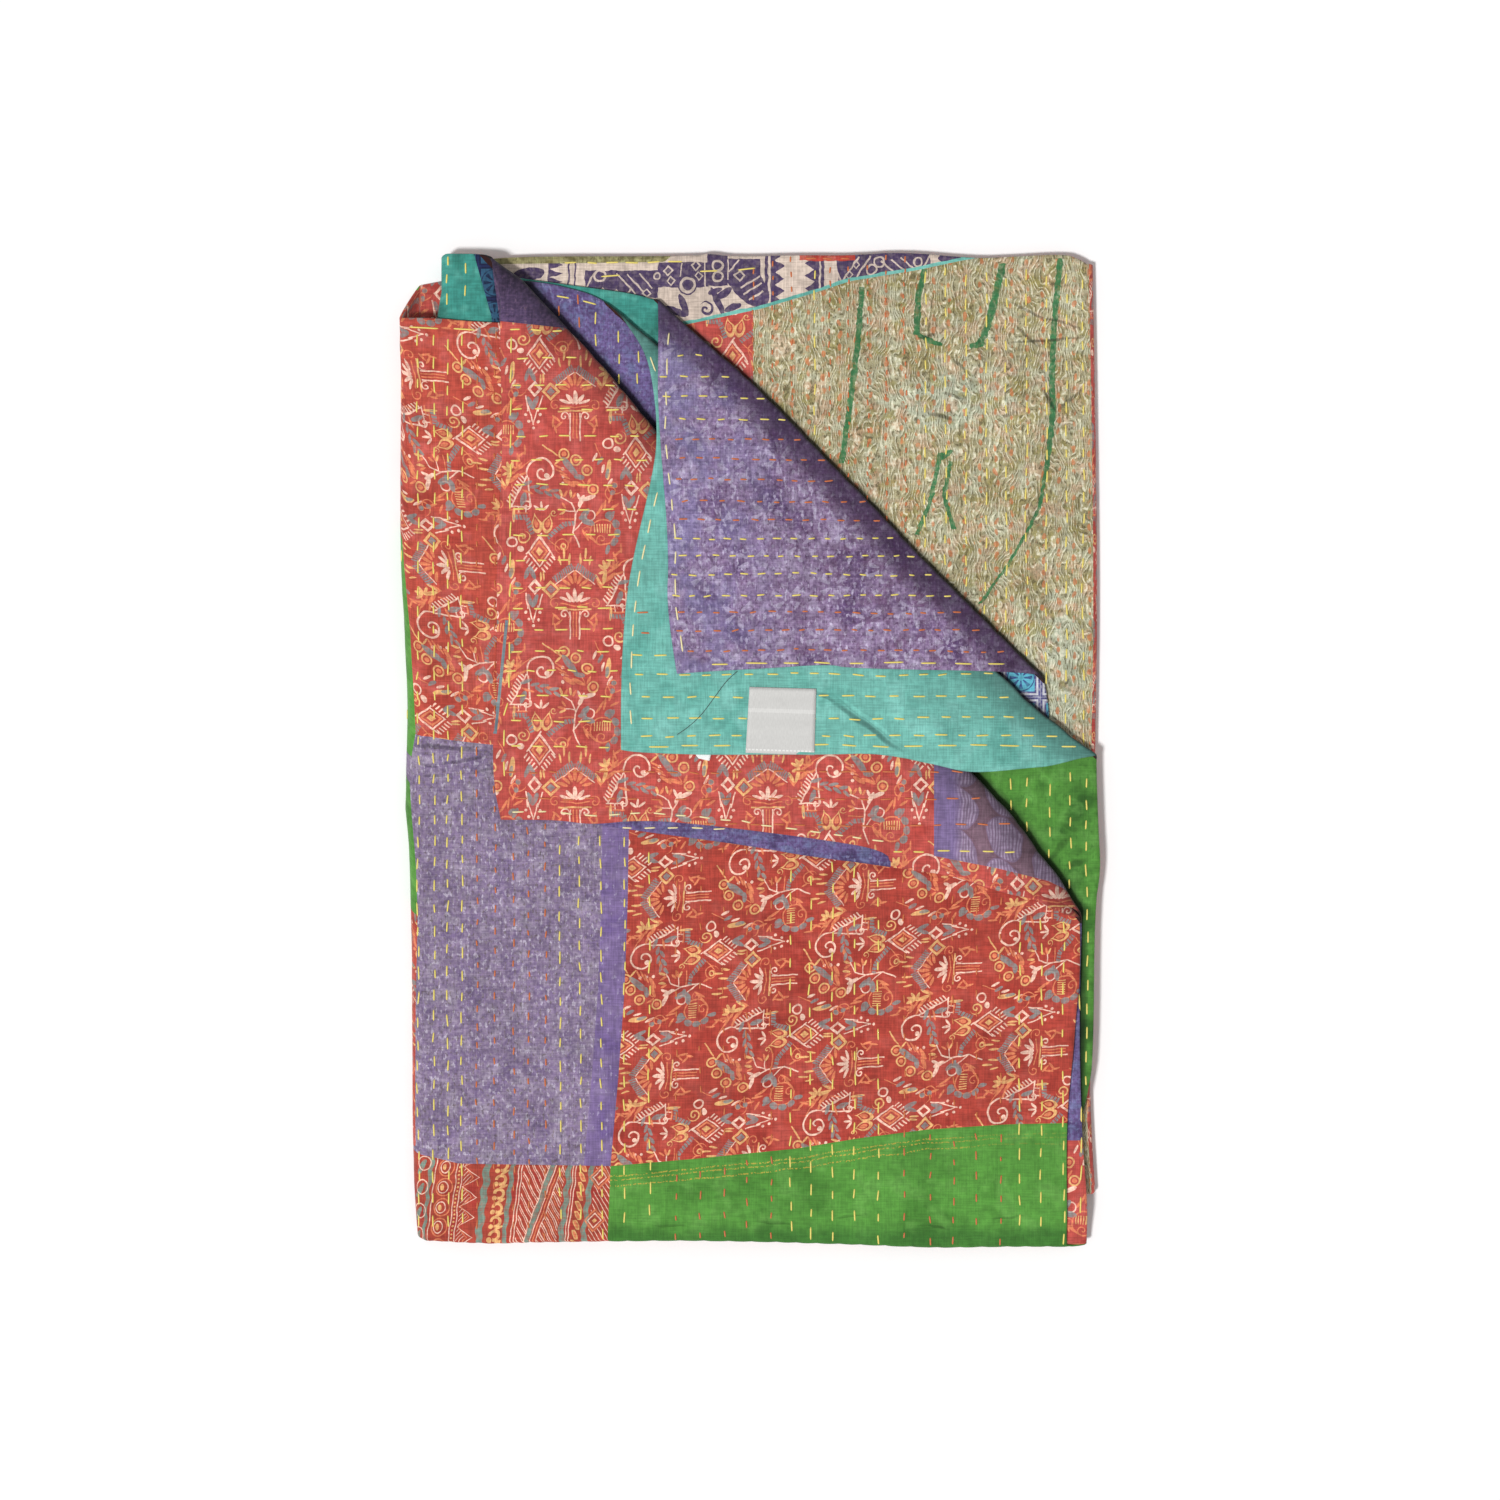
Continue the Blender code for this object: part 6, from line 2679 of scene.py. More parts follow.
DEEP_TEAL = CloudyCloth(tint(62, 146, 134), deep=tint(44, 112, 100), pale=tint(90, 168, 154),
                        cloud=30.0, streak=0.12)
GRASS = BorderedGreen(tint(84, 145, 58), deep=tint(66, 122, 44), pale=tint(102, 160, 74),
                      cloud=40.0, streak=0.10, mottle_and_pucker_shade=0.10, fleck=tint(62, 116, 46),
                      fleck_share=0.66, fleck_amount=0.3,
                      wrinkles=((150.7, -375.7, -12, 9, 1.4, 0.45), (81, -367, 6, 14, 1.2, 0.3),
                                (20, -372, -4, 20, 1.3, 0.25), (205, -368, 8, 16, 1.3, 0.3),
                                (-60, -374, 0, 18, 1.4, 0.25)))
LEAF_GREEN = CloudyCloth(tint(80, 138, 55), deep=tint(42, 88, 30), pale=tint(100, 158, 74),
                         cloud=30.0, streak=0.10, fleck=tint(50, 100, 36), fleck_share=0.64,
                         fleck_amount=0.4,
                         wrinkles=((248, -76, 50, 15, 3.4, 0.35), (262, -88, 20, 12, 3.2, 0.4),
                                   (256, -60, -30, 10, 2.6, 0.25)))
# Green cloth darkened as painted shade, for the strip beside the start of the teal crease.
GREEN_IN_PAINTED_SHADE = CloudyCloth(tint(44, 82, 40), deep=tint(28, 56, 28), pale=tint(60, 104, 52),
                         cloud=18.0)
TAN = StripedTan(tint(177, 169, 133), deep=tint(148, 136, 88), pale=tint(196, 190, 160),
                 cloud=30.0, streak=0.10, fleck=tint(200, 124, 72), fleck_size=3.2,
                 fleck_share=0.64, fleck_amount=0.45, second_fleck=tint(96, 84, 50),
                 pale_amount=0.5, pucker=1.2, mottle_and_pucker_shade=0.2,
                 wrinkles=((225, 348, -27, 22, 1.6, 0.5), (236, 326, 3, 36, 1.5, 0.6),
                           (249, 340, -16, 21, 1.5, 0.5), (240, 278, -60, 14, 1.8, 0.6),
                           (257, 279, 42, 20, 1.6, 0.5), (155, 265, -14, 14, 1.9, 0.6),
                           (164, 282, -14, 11, 1.6, 0.45), (169, 306, -45, 8, 1.8, 0.5),
                           (208, 267, 27, 8, 1.5, 0.4), (186, 315, -79, 18, 1.5, 0.35),
                           (222, 329, -42, 16, 1.5, 0.45), (143, 329, 15, 10, 1.8, 0.5)),
                 stripes=((2.2, ((71.7, 227.7), (79.2, 279.7), (84.7, 323.0), (87.9, 367.4))),
                          (2.5, ((131.2, 329.4), (132.3, 359.8), (137.7, 381.5))),
                          (2.8, ((181.3, 322.7), (187.6, 336.1), (191.9, 353.5), (199.5, 385.9))),
                          (1.8, ((131.5, 171.0), (141.8, 197.1), (150.5, 236.6))),
                          (1.8, ((160.8, 175.8), (152.9, 201.8), (158.4, 229.5))),
                          (2.3, ((234.2, 225.5), (237.4, 249.2), (239.5, 271.0), (238.4, 288.3),
                                 (239.5, 327.5), (241.7, 353.5), (245.0, 390.1))),
                          (1.6, ((181.3, 116.1), (205.0, 149.7), (217.6, 171.0),
                                 (228.7, 193.2), (234.2, 225.5)))),
                 hooks=((141.5, 325.1, -22.7, 11, 2.2), (179.0, 321.6, 12, 6.5, 2.4),
                        (154.5, 234.5, 35, 6.0, 2.2)))
BANDED = BandedCloth(tint(172, 70, 54))
CARVED = CarvedCloth(tint(208, 190, 176))
STRIPED_LEAF = LeafStripeCloth(tint(127, 99, 114))
FLOWER_TILE = FlowerTileCloth(tint(206, 206, 214))
DARK_BAND = FlowerTileCloth(tint(30, 40, 80), blue=tint(20, 26, 60), sky=tint(48, 88, 118),
                            tile=26.0)
OLIVE = CloudyCloth(tint(150, 142, 100), deep=tint(108, 100, 58), pale=tint(182, 182, 126),
                    cloud=9.0, fleck=tint(92, 86, 54), fleck_size=2.5, fleck_share=0.56,
                    fleck_amount=0.6)
SELVEDGE = CloudyCloth(tint(118, 134, 140), deep=tint(96, 112, 124), pale=tint(140, 150, 150))


FOLD_SEAM = -132.0
VIOLET_BAND_EDGE = -21.0
LEAF_3_MIDDLE = 60.0
SELVEDGE_LINE = (-195.2, 57.0, 84.2, 90.0, 2.4)


def selvedge(dress: Dress, shader: bpy.types.NodeSocket) -> bpy.types.NodeSocket:
    """A shader with the grey selvedge that runs beside the second flap's left edge.

    Args:
        dress: the material that this is part of.
        shader: the shader of the cloth beside it.

    Returns:
        The shader.
    """
    x, y, turn, length, width = SELVEDGE_LINE
    along, across = dress.place.at(x, y, turn).parts()
    line = along.near(0, length / 2) * across.near(0, width / 2)
    return dress.mix(line, shader, SELVEDGE.shader(dress))


def dress_leaf_1(dress: Dress) -> bpy.types.NodeSocket:
    """Red at the top left and the right, mauve, then bands and green along the bottom.

    Round the left fold the cloth goes on in green, and in the red print lower down.

    Args:
        dress: the material that this is part of.

    Returns:
        The area's shader.
    """
    upper, lower, upright, edge = dress.seams
    red_strip, grass = RED_STRIP.shader(dress), GRASS.shader(dress)
    mauve = dress.mix(upright.above(VIOLET_BAND_EDGE), MAUVE.shader(dress),
                      VIOLET_BAND.shader(dress))
    left = dress.mix(upper.above(0), mauve, selvedge(dress, red_strip))
    top = dress.mix(upright.above(0), left, RED_TURNED.shader(dress))
    bottom = dress.mix(upright.above(0), BANDED.shader(dress), grass)
    shown = dress.mix(lower.above(0), bottom, top)
    side = dress.mix(dress.place.along(0, 1).above(FOLD_SEAM), red_strip, grass)
    return dress.mix(edge.below(0), shown, side)


def dress_leaf_1_flap(dress: Dress) -> bpy.types.NodeSocket:
    """A blue violet strip, and the red print at its right end."""
    return dress.mix(dress.seams[0].above(0), BLUE_VIOLET.shader(dress),
                     RED_UPRIGHT.shader(dress))


def dress_leaf_2(dress: Dress) -> bpy.types.NodeSocket:
    """Teal, a dark band and violet at the left, violet over red at the right.

    Args:
        dress: the material that this is part of.

    Returns:
        The area's shader.
    """
    band, band_end, lower = dress.seams[:3]
    left = dress.mix(band.above(0), DEEP_TEAL.shader(dress),
                     dress.mix(band_end.above(0), DARK_BAND.shader(dress),
                               DARK_VIOLET.shader(dress)))
    right = dress.mix(lower.above(0), RED_UPRIGHT.shader(dress), BLUE_VIOLET.shader(dress))
    return dress.mix(dress.place.along(1, 0).above(0), left, right)


def dress_leaf_2_flap(dress: Dress) -> bpy.types.NodeSocket:
    """Dark violet at the top, the red print, and striped leaves over a red hem.

    Args:
        dress: the material that this is part of.

    Returns:
        The area's shader.
    """
    top, upright, hem = dress.seams[:3]
    leaves = upright.above(0) * hem.above(0)
    red = selvedge(dress, RED_UPRIGHT.shader(dress))
    low = dress.mix(leaves, red, STRIPED_LEAF.shader(dress))
    return dress.mix(top.above(0), low, DARK_VIOLET.shader(dress))


def dress_leaf_4(dress: Dress) -> bpy.types.NodeSocket:
    """Teal, with the flower tiles at the right."""
    return dress.mix(dress.seams[0].above(0), DEEP_TEAL.shader(dress),
                     FLOWER_TILE.shader(dress))


def dress_leaf_5(dress: Dress) -> bpy.types.NodeSocket:
    """The carved print and an olive hem at the top, a red piece, and the striped tan.

    Args:
        dress: the material that this is part of.

    Returns:
        The area's shader.
    """
    strip, upright, hem = dress.seams[:3]
    carved = dress.mix(hem.above(0), CARVED.shader(dress), OLIVE.shader(dress))
    low = dress.mix(upright.above(0), RED_UPRIGHT.shader(dress), TAN.shader(dress))
    pipe = strip.near(dress.place.noise(16, 2.0) * 2.4, 1.5)
    piping = dress.mix(pipe, carved, TEAL.shader(dress))
    return dress.mix(strip.above(0), low, piping)


def dress_leaf_3(dress: Dress) -> bpy.types.NodeSocket:
    """Blue violet at the left, with a green strip in painted shade, and green at the right.

    Args:
        dress: the material that this is part of.

    Returns:
        The area's shader.
    """
    u = dress.place.along(1, 0)
    left = dress.mix(dress.seams[0].above(0), BLUE_VIOLET.shader(dress),
                     GREEN_IN_PAINTED_SHADE.shader(dress))
    return dress.mix(u.above(LEAF_3_MIDDLE), left, LEAF_GREEN.shader(dress))


DRESSES: dict[str, Callable[[Dress], bpy.types.NodeSocket]] = {
    "leaf_1": dress_leaf_1,
    "leaf_1_flap": dress_leaf_1_flap,
    "leaf_2": dress_leaf_2,
    "leaf_2_flap": dress_leaf_2_flap,
    "leaf_3": dress_leaf_3,
    "leaf_3_flap": TEAL.shader,
    "leaf_4": dress_leaf_4,
    "leaf_4_flap": VIOLET.shader,
    "leaf_5": dress_leaf_5,
    HIDDEN_FINISH: RED_UPRIGHT.shader,
}


# ---------------------------------------------------------------- sewing and labels


@dataclass(frozen=True)
class HemLine:
    """A line of stitches that follows an edge."""

    finish: str
    thread: Thread
    line: Line
    stitch: float = 13.0
    gap: float = 9.0


HEM_LINES: tuple[HemLine, ...] = (
    HemLine("leaf_4_flap", Thread.CREAM,
            ((-63, 330), (-66, 250), (-57, 160), (-58, 117), (-51, 72))),
    HemLine("leaf_3_flap", Thread.CREAM,
            ((-78, 312), (-70, 290), (-65, 252), (-68, 220), (-84, 149), (-90, 109),
             (-93, 54), (-93, 8))),
    HemLine("leaf_2_flap", Thread.YELLOW,
            ((-187, 328), (-189, 40), (-193, 25), (-193, -20), (-188, -46)), 14.0, 10.0),
    HemLine("leaf_2_flap", Thread.CREAM,
            ((-193, -49), (-150, -49.5), (-124, -53), (-87, -50), (-40, -53), (47, -64),
             (109, -73)), 10.0, 8.0),
    HemLine("leaf_1", Thread.YELLOW, ((-272, 334), (-240, 332), (-205, 331)), 24.0, 8.0),
    HemLine("leaf_3", Thread.YELLOW, ((-180, 362), (-145, 358), (-120, 351)), 12.0, 10.0),
    HemLine("leaf_5", Thread.YELLOW, ((-150, 385.5), (-96, 385.5), (-52, 386.5)), 11.0, 6.0),
    HemLine("leaf_5", Thread.YELLOW, ((-118, 374), (-84, 378)), 17.0, 9.0),
    HemLine("leaf_5", Thread.YELLOW, ((-52, 377), (-24, 379), (12, 381)), 15.0, 14.0),
    HemLine("leaf_5", Thread.ORANGE, ((44, 388.5), (66, 388.5), (86, 388.5)), 9.0, 4.0),
    HemLine("leaf_1", Thread.YELLOW, ((-275.2, 165), (-274.8, 126), (-274.2, 90)), 9.0, 8.0),
    HemLine("leaf_1", Thread.YELLOW, ((-270.4, 40), (-269.6, 10)), 8.0, 9.0),
    HemLine("leaf_1", Thread.YELLOW, ((-276.5, -28), (-275.5, -56)), 6.0, 9.0),
)


@dataclass(frozen=True)
class ThreadShape:
    """How one stitch stands on the cloth, in millimetres."""

    width: float = 1.3
    height: float = 0.8
    lifts: tuple[float, ...] = (-0.5, 0.12, 0.3, 0.3, 0.12, -0.5)
    sides: int = 6
    step_most: float = 1.4
    side_jitter: float = 0.35
    length_jitter: float = 0.2
    end_share: float = 0.72
    twist: float = 5.5
    full_turn: float = 6.283
    roughness: float = 0.55
    sheen: float = 0.2


THREAD = ThreadShape()


class Stitcher:
    """Sews rows of running stitches onto the finished cloth."""

    ABOVE = 300.0
    SEED = 7
    ROW_STEPS = 60

    def __init__(self, body: QuiltBody) -> None:
        """Args:
            body: the closed cloth, in millimetres.
        """
        self.body = body
        self.tree = BVHTree.FromBMesh(body.mesh)
        self.meshes = {thread: bmesh.new() for thread in Thread}
        self.uvs = {thread: mesh.loops.layers.uv.new("thread")
                    for thread, mesh in self.meshes.items()}
        self.random = random.Random(self.SEED)
        self.sewn = 0

    def drop(self, x: float, y: float) -> tuple[Vector, str] | None:
        """The place and the finish of the cloth that shows from above at a point.

        Args:
            x: the place across.
            y: the place up.

        Returns:
            The place and the finish, or None beside the cloth.
        """
        place, _, index, _ = self.tree.ray_cast(Vector((x, y, self.ABOVE)), Vector((0, 0, -1)))
        if place is None:
            return None
        return place, self.body.finishes[self.body.mesh.faces[index].material_index]

    def stitch(self, start: Vector, end: Vector, finish: str, thread: Thread) -> None:
        """One stitch, if the whole of it lies on the cloth that it belongs to.

        Args:
            start: where it goes in.
            end: where it comes out.
            finish: the finish of the cloth there.
            thread: the colour of the thread.
        """
        steps = len(THREAD.lifts) - 1
        places = []
        for step in range(steps + 1):
            spot = start.lerp(end, step / steps)
            found = self.drop(spot.x, spot.y)
            if found is None or found[1] != finish:
                return
            if places and abs(found[0].z - places[-1].z) > THREAD.step_most:
                return
            places.append(found[0])
        for place, lift in zip(places, THREAD.lifts):
            place.z += lift
        self.tube(self.meshes[thread], self.uvs[thread], places, THREAD.width, THREAD.height)
        self.sewn += 1

    def tube(self, mesh: bmesh.types.BMesh, uv: object, line: list[Vector], width: float,
             height: float) -> None:
        """A closed flat tube along a line.

        Args:
            mesh: the mesh that it is added to.
            uv: its UV layer.
            line: the middle line's points.
            width: its width.
            height: its height.
        """
        sides, rings, reach = THREAD.sides, [], 0.0
        for index, point in enumerate(line):
            along = (line[min(index + 1, len(line) - 1)] - line[max(index - 1, 0)]).normalized()
            beside = Vector((-along.y, along.x, 0)).normalized()
            over = along.cross(beside) * -1
            reach += (point - line[index - 1]).length if index else 0.0
            thin = THREAD.end_share if index in (0, len(line) - 1) else 1.0
            ring = []
            for side in range(sides):
                angle = 2 * math.pi * side / sides
                offset = (beside * math.cos(angle) * width / 2
                          + over * math.sin(angle) * height / 2)
                ring.append(mesh.verts.new(point + offset * thin))
            rings.append((ring, reach))
        for (first, from_reach), (second, to_reach) in zip(rings, rings[1:]):
            for side in range(sides):
                after = (side + 1) % sides
                face = mesh.faces.new((first[side], first[after], second[after], second[side]))
                face.smooth = True
                corners = ((from_reach, side), (from_reach, side + 1), (to_reach, side + 1),
                           (to_reach, side))
                for loop, (u, v) in zip(face.loops, corners):
                    loop[uv].uv = (u, v / sides)
        mesh.faces.new(list(reversed(rings[0][0])))
        mesh.faces.new(rings[-1][0])

    def sew(self, points: list[Vector], finish: str, thread: Thread, stitch: float,
            gap: float) -> None:
        """A row of stitches along a line.

        Args:
            points: the line's points, in order.
            finish: the finish of the cloth there.
            thread: the colour of the thread.
            stitch: how long a stitch is.
            gap: the cloth between two stitches.
        """
        path, jitter = Path(points), THREAD.length_jitter
        length = path.reach[-1]
        reach = self.random.uniform(0, gap)
        while reach + stitch < length:
            size = stitch * self.random.uniform(1 - jitter, 1 + jitter)
            start, end = path.at(reach / length), path.at(min((reach + size) / length, 1.0))
            for spot in (start, end):
                spot.x += self.random.gauss(0, THREAD.side_jitter)
                spot.y += self.random.gauss(0, THREAD.side_jitter)
            self.stitch(start, end, finish, thread)
            reach += size + gap * self.random.uniform(1 - jitter, 1 + jitter)

    def sew_all(self) -> None:
        """Every row of every area, and the hems."""
        for area in AREAS.values():
            for row in area.rows:
                low, high = row.span
                alongs = [low + (high - low) * step / self.ROW_STEPS
                          for step in range(self.ROW_STEPS + 1)]
                places = [(row.place(along), along) for along in alongs]
                points = [Vector(p if area.upright else p[::-1]) for p in places]
                self.sew(points, area.finish, row.thread, row.stitch, row.gap)
        for hem in HEM_LINES:
            self.sew(vectors(hem.line), hem.finish, hem.thread, hem.stitch, hem.gap)
        LOG.info("%d stitches", self.sewn)


def plain_material(name: str, layer: str) -> tuple[bpy.types.Material, Spot]:
    """A new material and the coordinates of its piece.

    Args:
        name: the material's name.
        layer: the UV map that they are read from.

    Returns:
        The material and the coordinates.
    """
    material = bpy.data.materials.new(name)
    material.use_nodes = True
    uv = material.node_tree.nodes.new("ShaderNodeUVMap")
    uv.uv_map = layer
    return material, Spot(material.node_tree, uv.outputs[0])


def thread_material(name: str, colour: Colour, dark: Colour) -> bpy.types.Material:
    """Twisted cotton thread, with painted shade between the twists.

    Args:
        name: the material's name.
        colour: its colour.
        dark: its colour between the twists, painted shade of the grooves there.

    Returns:
        The material.
    """
    material, place = plain_material(name, "thread")
    tree = material.node_tree
    shader = tree.nodes["Principled BSDF"]
    along, around = place.parts()
    wound = (along * THREAD.twist + around * THREAD.full_turn).math("SINE")
    # Painted shade in the grooves between the twists.
    twist = wound.ramp(-1.0, 0.2, 0.6, 0.0)
    paint = Paint(tree, colour).coat(twist, dark)
    tree.links.new(paint.colour, shader.inputs["Base Color"])
    shader.inputs["Roughness"].default_value = THREAD.roughness
    shader.inputs["Sheen Weight"].default_value = THREAD.sheen
    return material


# Each thread's colour, and its darker colour between the twists as painted shade.
THREAD_COLOURS: dict[Thread, tuple[Colour, Colour]] = {
    Thread.YELLOW: (tint(240, 222, 112), tint(198, 170, 78)),
    Thread.ORANGE: (tint(208, 112, 58), tint(160, 78, 42)),
    Thread.CREAM: (tint(244, 232, 176), tint(206, 186, 132)),
}


@dataclass(frozen=True)
class Tab:
    """A small woven label: its corners from the lower left round to the upper left.

    level_with is the point of the cloth that it lies level with, where it doesn't follow it.
    """

    name: str
    corners: tuple[Pair, Pair, Pair, Pair]
    thick: float
    steps: int
    ground: Colour
    band: Colour
    level_with: Pair | None = None
    lift: float = 0.35
    wave: float = 0.25
    wave_size: float = 16.0
    roughness: float = 0.6
    weave: float = 420.0

    def _sheets(self, mesh: bmesh.types.BMesh, stitcher: Stitcher) -> list[list]:
        """The grids of points of the label's lower and upper side.

        Args:
            mesh: the label's mesh.
            stitcher: what has found where the cloth lies.

        Returns:
            The two grids, line after line.
        """
        low_left, low_right, high_right, high_left = vectors(self.corners)
        level = stitcher.drop(*self.level_with)[0].z if self.level_with else None
        sheets: list[list] = [[], []]
        for i in range(self.steps + 1):
            lines: list[list] = [[], []]
            for j in range(self.steps + 1):
                a, b = i / self.steps, j / self.steps
                spot = mix(mix(low_left, low_right, a), mix(high_left, high_right, a), b)
                under = level if level is not None else stitcher.drop(spot.x, spot.y)[0].z
                where = Vector((spot.x / self.wave_size, spot.y / self.wave_size, 2.0))
                height = under + self.lift + self.wave * noise.noise(where)
                lines[0].append(mesh.verts.new((spot.x, spot.y, height)))
                lines[1].append(mesh.verts.new((spot.x, spot.y, height + self.thick)))
            for sheet, line in zip(sheets, lines):
                sheet.append(line)
        return sheets

    def mesh(self, stitcher: Stitcher) -> bmesh.types.BMesh:
        """The label's tape, which lies on the cloth or level with one point of it.

        Args:
            stitcher: what has found where the cloth lies.

        Returns:
            The mesh, in millimetres.
        """
        mesh, last = bmesh.new(), self.steps
        uv = mesh.loops.layers.uv.new("label")
        bottom, top = self._sheets(mesh, stitcher)

        def add(corners: Sequence[bmesh.types.BMVert], places: Sequence[Pair],
                smooth: bool) -> None:
            """Adds a face and writes where its corners lie on the tape.

            Args:
                corners: its corners.
                places: where they lie on the tape.
                smooth: whether it is shaded smooth.
            """
            face = mesh.faces.new(corners)
            face.smooth = smooth
            for loop, (a, b) in zip(face.loops, places):
                loop[uv].uv = (a / last, b / last)

        for i in range(last):
            for j in range(last):
                corners = ((i, j), (i + 1, j), (i + 1, j + 1), (i, j + 1))
                for sheet, order in ((top, corners), (bottom, corners[::-1])):
                    add([sheet[a][b] for a, b in order], order, True)
        ring = ([(i, 0) for i in range(last)] + [(last, j) for j in range(last)]
                + [(i, last) for i in range(last, 0, -1)] + [(0, j) for j in range(last, 0, -1)])
        for (a, b), (c, d) in zip(ring, ring[1:] + ring[:1]):
            add((bottom[a][b], bottom[c][d], top[c][d], top[a][b]),
                ((a, b), (c, d), (c, d), (a, b)), False)
        return mesh

    def material(self) -> bpy.types.Material:
        """Woven satin tape with a paler band and a line of stitches near its lower edge.

        Returns:
            The material.
        """
        material, place = plain_material(f"{self.name}_tape", "label")
        tree = material.node_tree
        shader = tree.nodes["Principled BSDF"]
        u, v = place.parts()
        sewn = v.near(0.055, 0.012) * u.repeat(0.055).near(0, 0.018)
        paint = Paint(tree, self.ground).coat(v.near(0.65, 0.03) * 0.35, self.band)
        paint.coat(sewn, self.band)
        paint.shade(place.noise(0.012, 2.0, (1, 6)).ramp(0.3, 0.7, 0.94, 1.03))
        tree.links.new(paint.colour, shader.inputs["Base Color"])
        shader.inputs["Roughness"].default_value = self.roughness
        weave = (u * self.weave).math("SINE") * (v * self.weave).math("SINE")
        paint.emboss(weave * 0.3 + sewn, shader, 0.4, 0.4 * MM)
        return material


MAIN_TAB = Tab("label", ((-2.5, -2.8), (51.7, -4.7), (53.2, 47.6), (0.6, 49.1)), 0.45, 18,
               tint(204, 203, 200), tint(232, 231, 228))
CARE_TAB = Tab("care_label", ((-39.5, -7.2), (-30.9, -9.2), (-29.0, -1.5), (-44.0, -1.5)), 0.4, 6,
               tint(246, 246, 244), tint(250, 250, 250), (-35.0, -8.0))


@dataclass(frozen=True)
class LooseThread:
    """The dark end of thread that lies over the second flap."""

    line: Line = ((-8.8, 61.5), (-17.6, 53.9), (-26.5, 41.5), (-37.8, 26.1), (-49.1, 16.2),
                  (-56.3, 11.5))
    thick: float = 0.5
    lift: float = 0.75
    first_drop: float = 0.3
    last_drop: float = 0.4
    colour: Colour = tint(46, 40, 44)
    # Its colour between the twists, painted shade of the grooves.
    dark: Colour = tint(28, 24, 28)

    def mesh(self, stitcher: Stitcher) -> bmesh.types.BMesh:
        """The thread, laid over the cloth.

        Args:
            stitcher: what has found where the cloth lies.

        Returns:
            The mesh, in millimetres.
        """
        mesh = bmesh.new()
        uv = mesh.loops.layers.uv.new("thread")
        line = [stitcher.drop(spot.x, spot.y)[0] + Vector((0, 0, self.lift))
                for spot in round_off(vectors(self.line))]
        line[0].z -= self.first_drop
        line[-1].z -= self.last_drop
        stitcher.tube(mesh, uv, line, self.thick, self.thick)
        return mesh


# ---------------------------------------------------------------- the studio


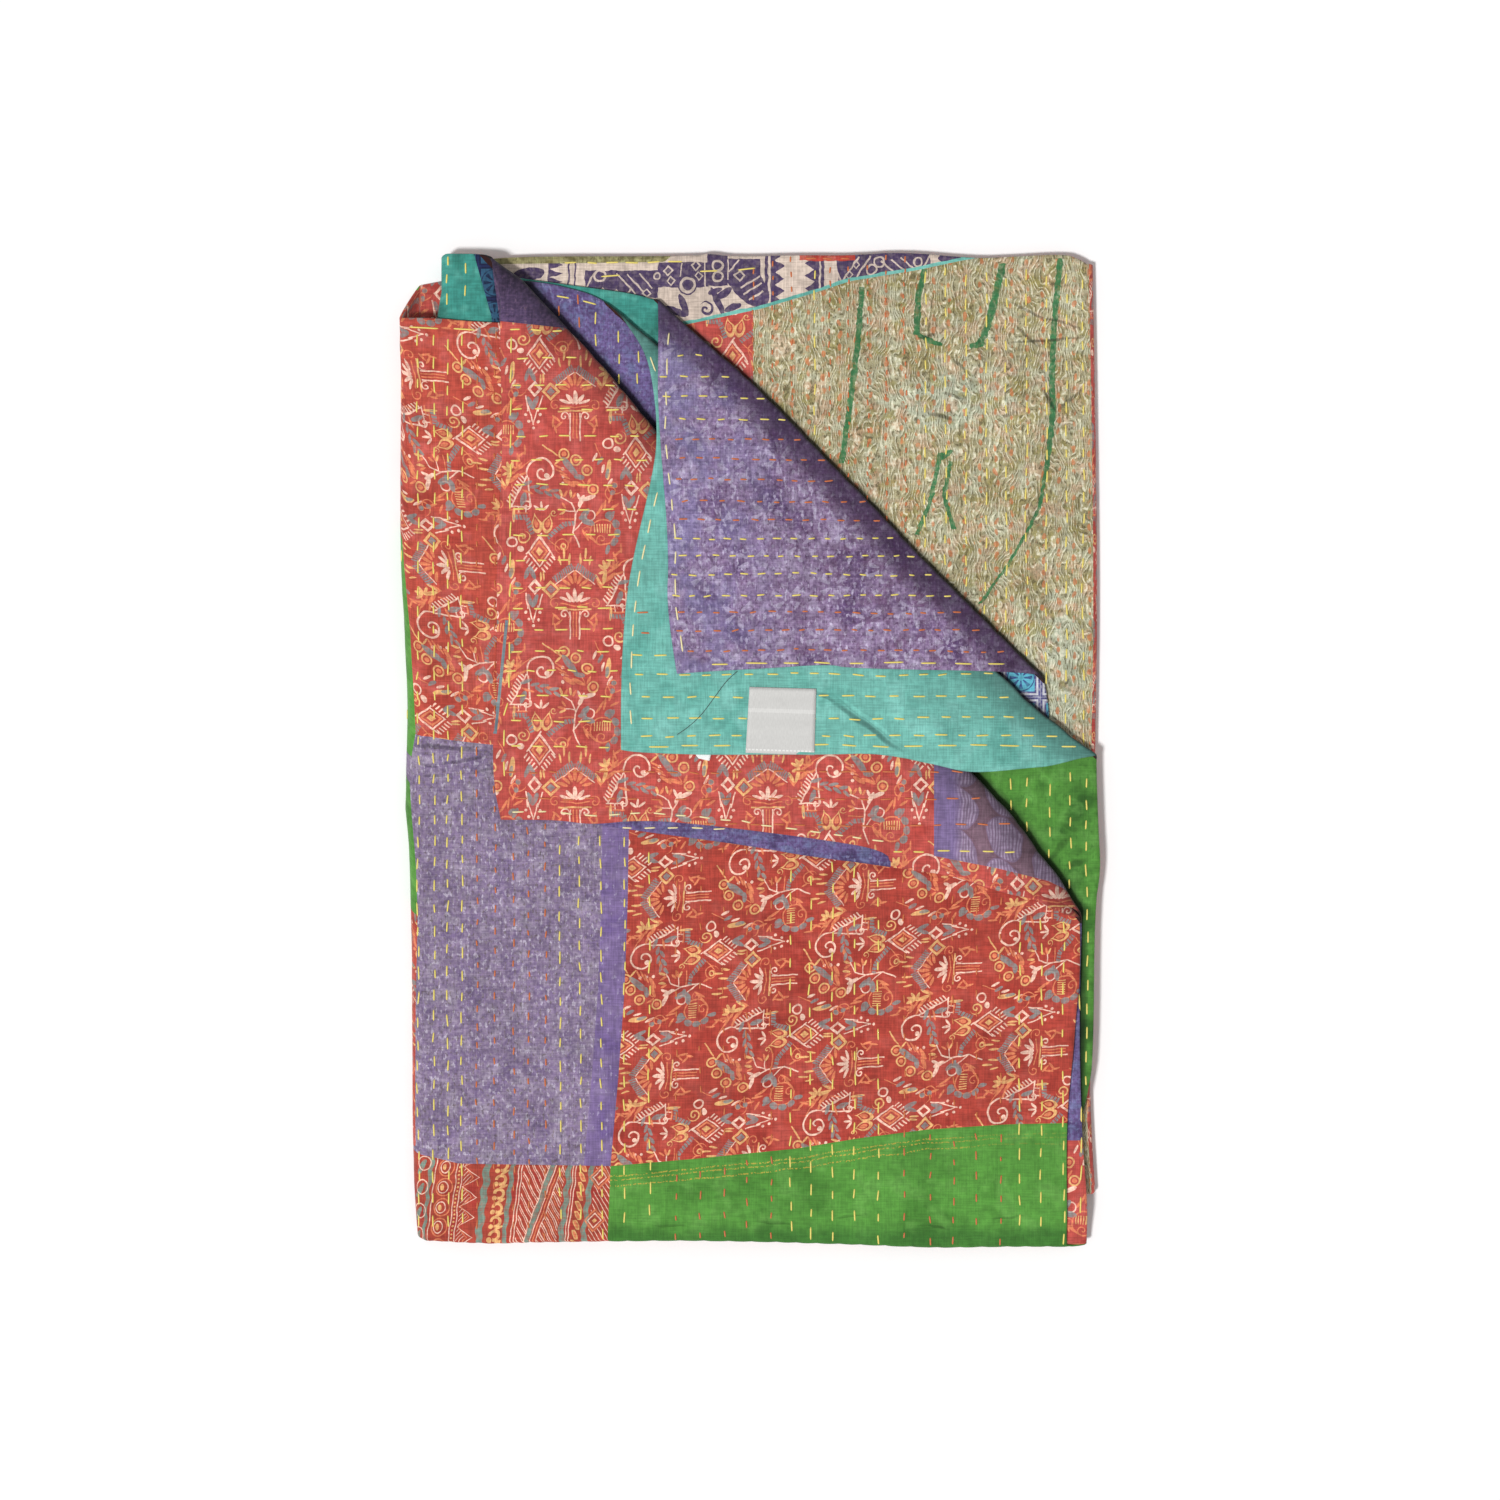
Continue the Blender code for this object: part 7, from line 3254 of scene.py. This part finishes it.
@dataclass(frozen=True)
class Studio:
    """The floor, the camera straight above it and the light, in metres and degrees."""

    floor_size: float = 6.0
    floor_grey: float = 0.93
    lens: float = 100.0
    sensor: float = 36.0
    view_wide: float = 1.185
    view_height: float = 0.02
    sun_angle: float = 9.0
    sun_energy: float = 2.5
    sun_way: Row3 = (0.42, 0.36, -1.0)
    sky: float = 0.42

    def build(self) -> None:
        """Builds them all."""
        self._lay_floor()
        height = self.view_wide * self.lens / self.sensor + self.view_height
        camera = self._place("camera", self._camera(), (0, 0, height))
        bpy.context.scene.camera = camera
        key = self._place("key", self._sun(), (0, 0, 0))
        key.rotation_euler = Vector(self.sun_way).to_track_quat("-Z", "Y").to_euler()
        self._light_sky()
        bpy.context.scene.view_settings.view_transform = "Standard"

    @staticmethod
    def _place(name: str, data: bpy.types.ID, spot: Row3) -> bpy.types.Object:
        """An object of the camera or a light, put at a spot.

        Args:
            name: its name.
            data: the camera or the light.
            spot: where it is put.

        Returns:
            The object.
        """
        made = bpy.data.objects.new(name, data)
        bpy.context.collection.objects.link(made)
        made.location = spot
        return made

    def _lay_floor(self) -> None:
        """A plain pale floor."""
        bpy.ops.mesh.primitive_plane_add(size=self.floor_size)
        floor = bpy.context.object
        floor.name = "floor"
        paper = bpy.data.materials.new("floor")
        paper.use_nodes = True
        grey = self.floor_grey
        shader = paper.node_tree.nodes["Principled BSDF"]
        shader.inputs["Base Color"].default_value = (grey, grey, grey, 1)
        floor.data.materials.append(paper)

    def _camera(self) -> bpy.types.Camera:
        """A long lens.

        Returns:
            The camera.
        """
        camera = bpy.data.cameras.new("camera")
        camera.lens = self.lens
        return camera

    def _sun(self) -> bpy.types.Light:
        """A soft sun.

        Returns:
            The light.
        """
        light = bpy.data.lights.new("key", "SUN")
        light.angle = math.radians(self.sun_angle)
        light.energy = self.sun_energy
        return light

    def _light_sky(self) -> None:
        """An even white sky."""
        world = bpy.data.worlds.new("world")
        bpy.context.scene.world = world
        world.use_nodes = True
        background = world.node_tree.nodes["Background"]
        background.inputs[0].default_value = (1, 1, 1, 1)
        background.inputs[1].default_value = self.sky


def thick_cloth(shown_cells: set[int] | None) -> QuiltBody:
    """The folded cloth with its thickness.

    Args:
        shown_cells: the cells that are made finer, or None for a coarse trial.

    Returns:
        The cloth, in millimetres.
    """
    surface = MiddleSurface(shown_cells)
    surface.fold()
    LOG.info("middle surface: %d faces", len(surface.mesh.faces))
    body = QuiltBody(surface)
    body.thicken()
    return body


def fold_cloth() -> QuiltBody:
    """The folded cloth. A coarse trial finds what shows, and that is then made finer.

    Returns:
        The closed cloth.
    """
    shown = thick_cloth(None).find_shown_cells()
    LOG.info("%d cells show", len(shown))
    body = thick_cloth(shown)
    body.close()
    return body


def sew(body: QuiltBody, workshop: Workshop) -> list[bpy.types.Object]:
    """The threads and the labels.

    Args:
        body: the closed cloth.
        workshop: what makes the objects.

    Returns:
        Their objects.
    """
    stitcher = Stitcher(body)
    stitcher.sew_all()
    pieces = []
    for thread, mesh in stitcher.meshes.items():
        material = thread_material(thread.value, *THREAD_COLOURS[thread])
        pieces.append(workshop.make(f"stitches_{thread.name.lower()}", mesh, [material]))
    loose = LooseThread()
    dark = thread_material("dark_thread", loose.colour, loose.dark)
    pieces.append(workshop.make("loose_thread", loose.mesh(stitcher), [dark]))
    for tab, slot in ((MAIN_TAB, "label_tape"), (CARE_TAB, "care_tape")):
        piece = workshop.make(f"{tab.name}_piece", tab.mesh(stitcher), [tab.material()])
        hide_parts(tab.name)
        pieces.append(piece)
    return pieces


def main() -> None:
    """Builds every piece and the studio round them."""
    logging.basicConfig(level=logging.INFO, format="%(name)s: %(message)s")
    body = fold_cloth()
    workshop = Workshop(body)
    pieces = sew(body, workshop)
    dresses = []
    for finish in body.finishes:
        dress = Dress(finish)
        dresses.append(dress.done(DRESSES[finish](dress)))
    quilt = workshop.make("quilt_cloth", body.mesh, dresses)
    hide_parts("quilt")
    Studio().build()


if __name__ == "__main__":
    main()
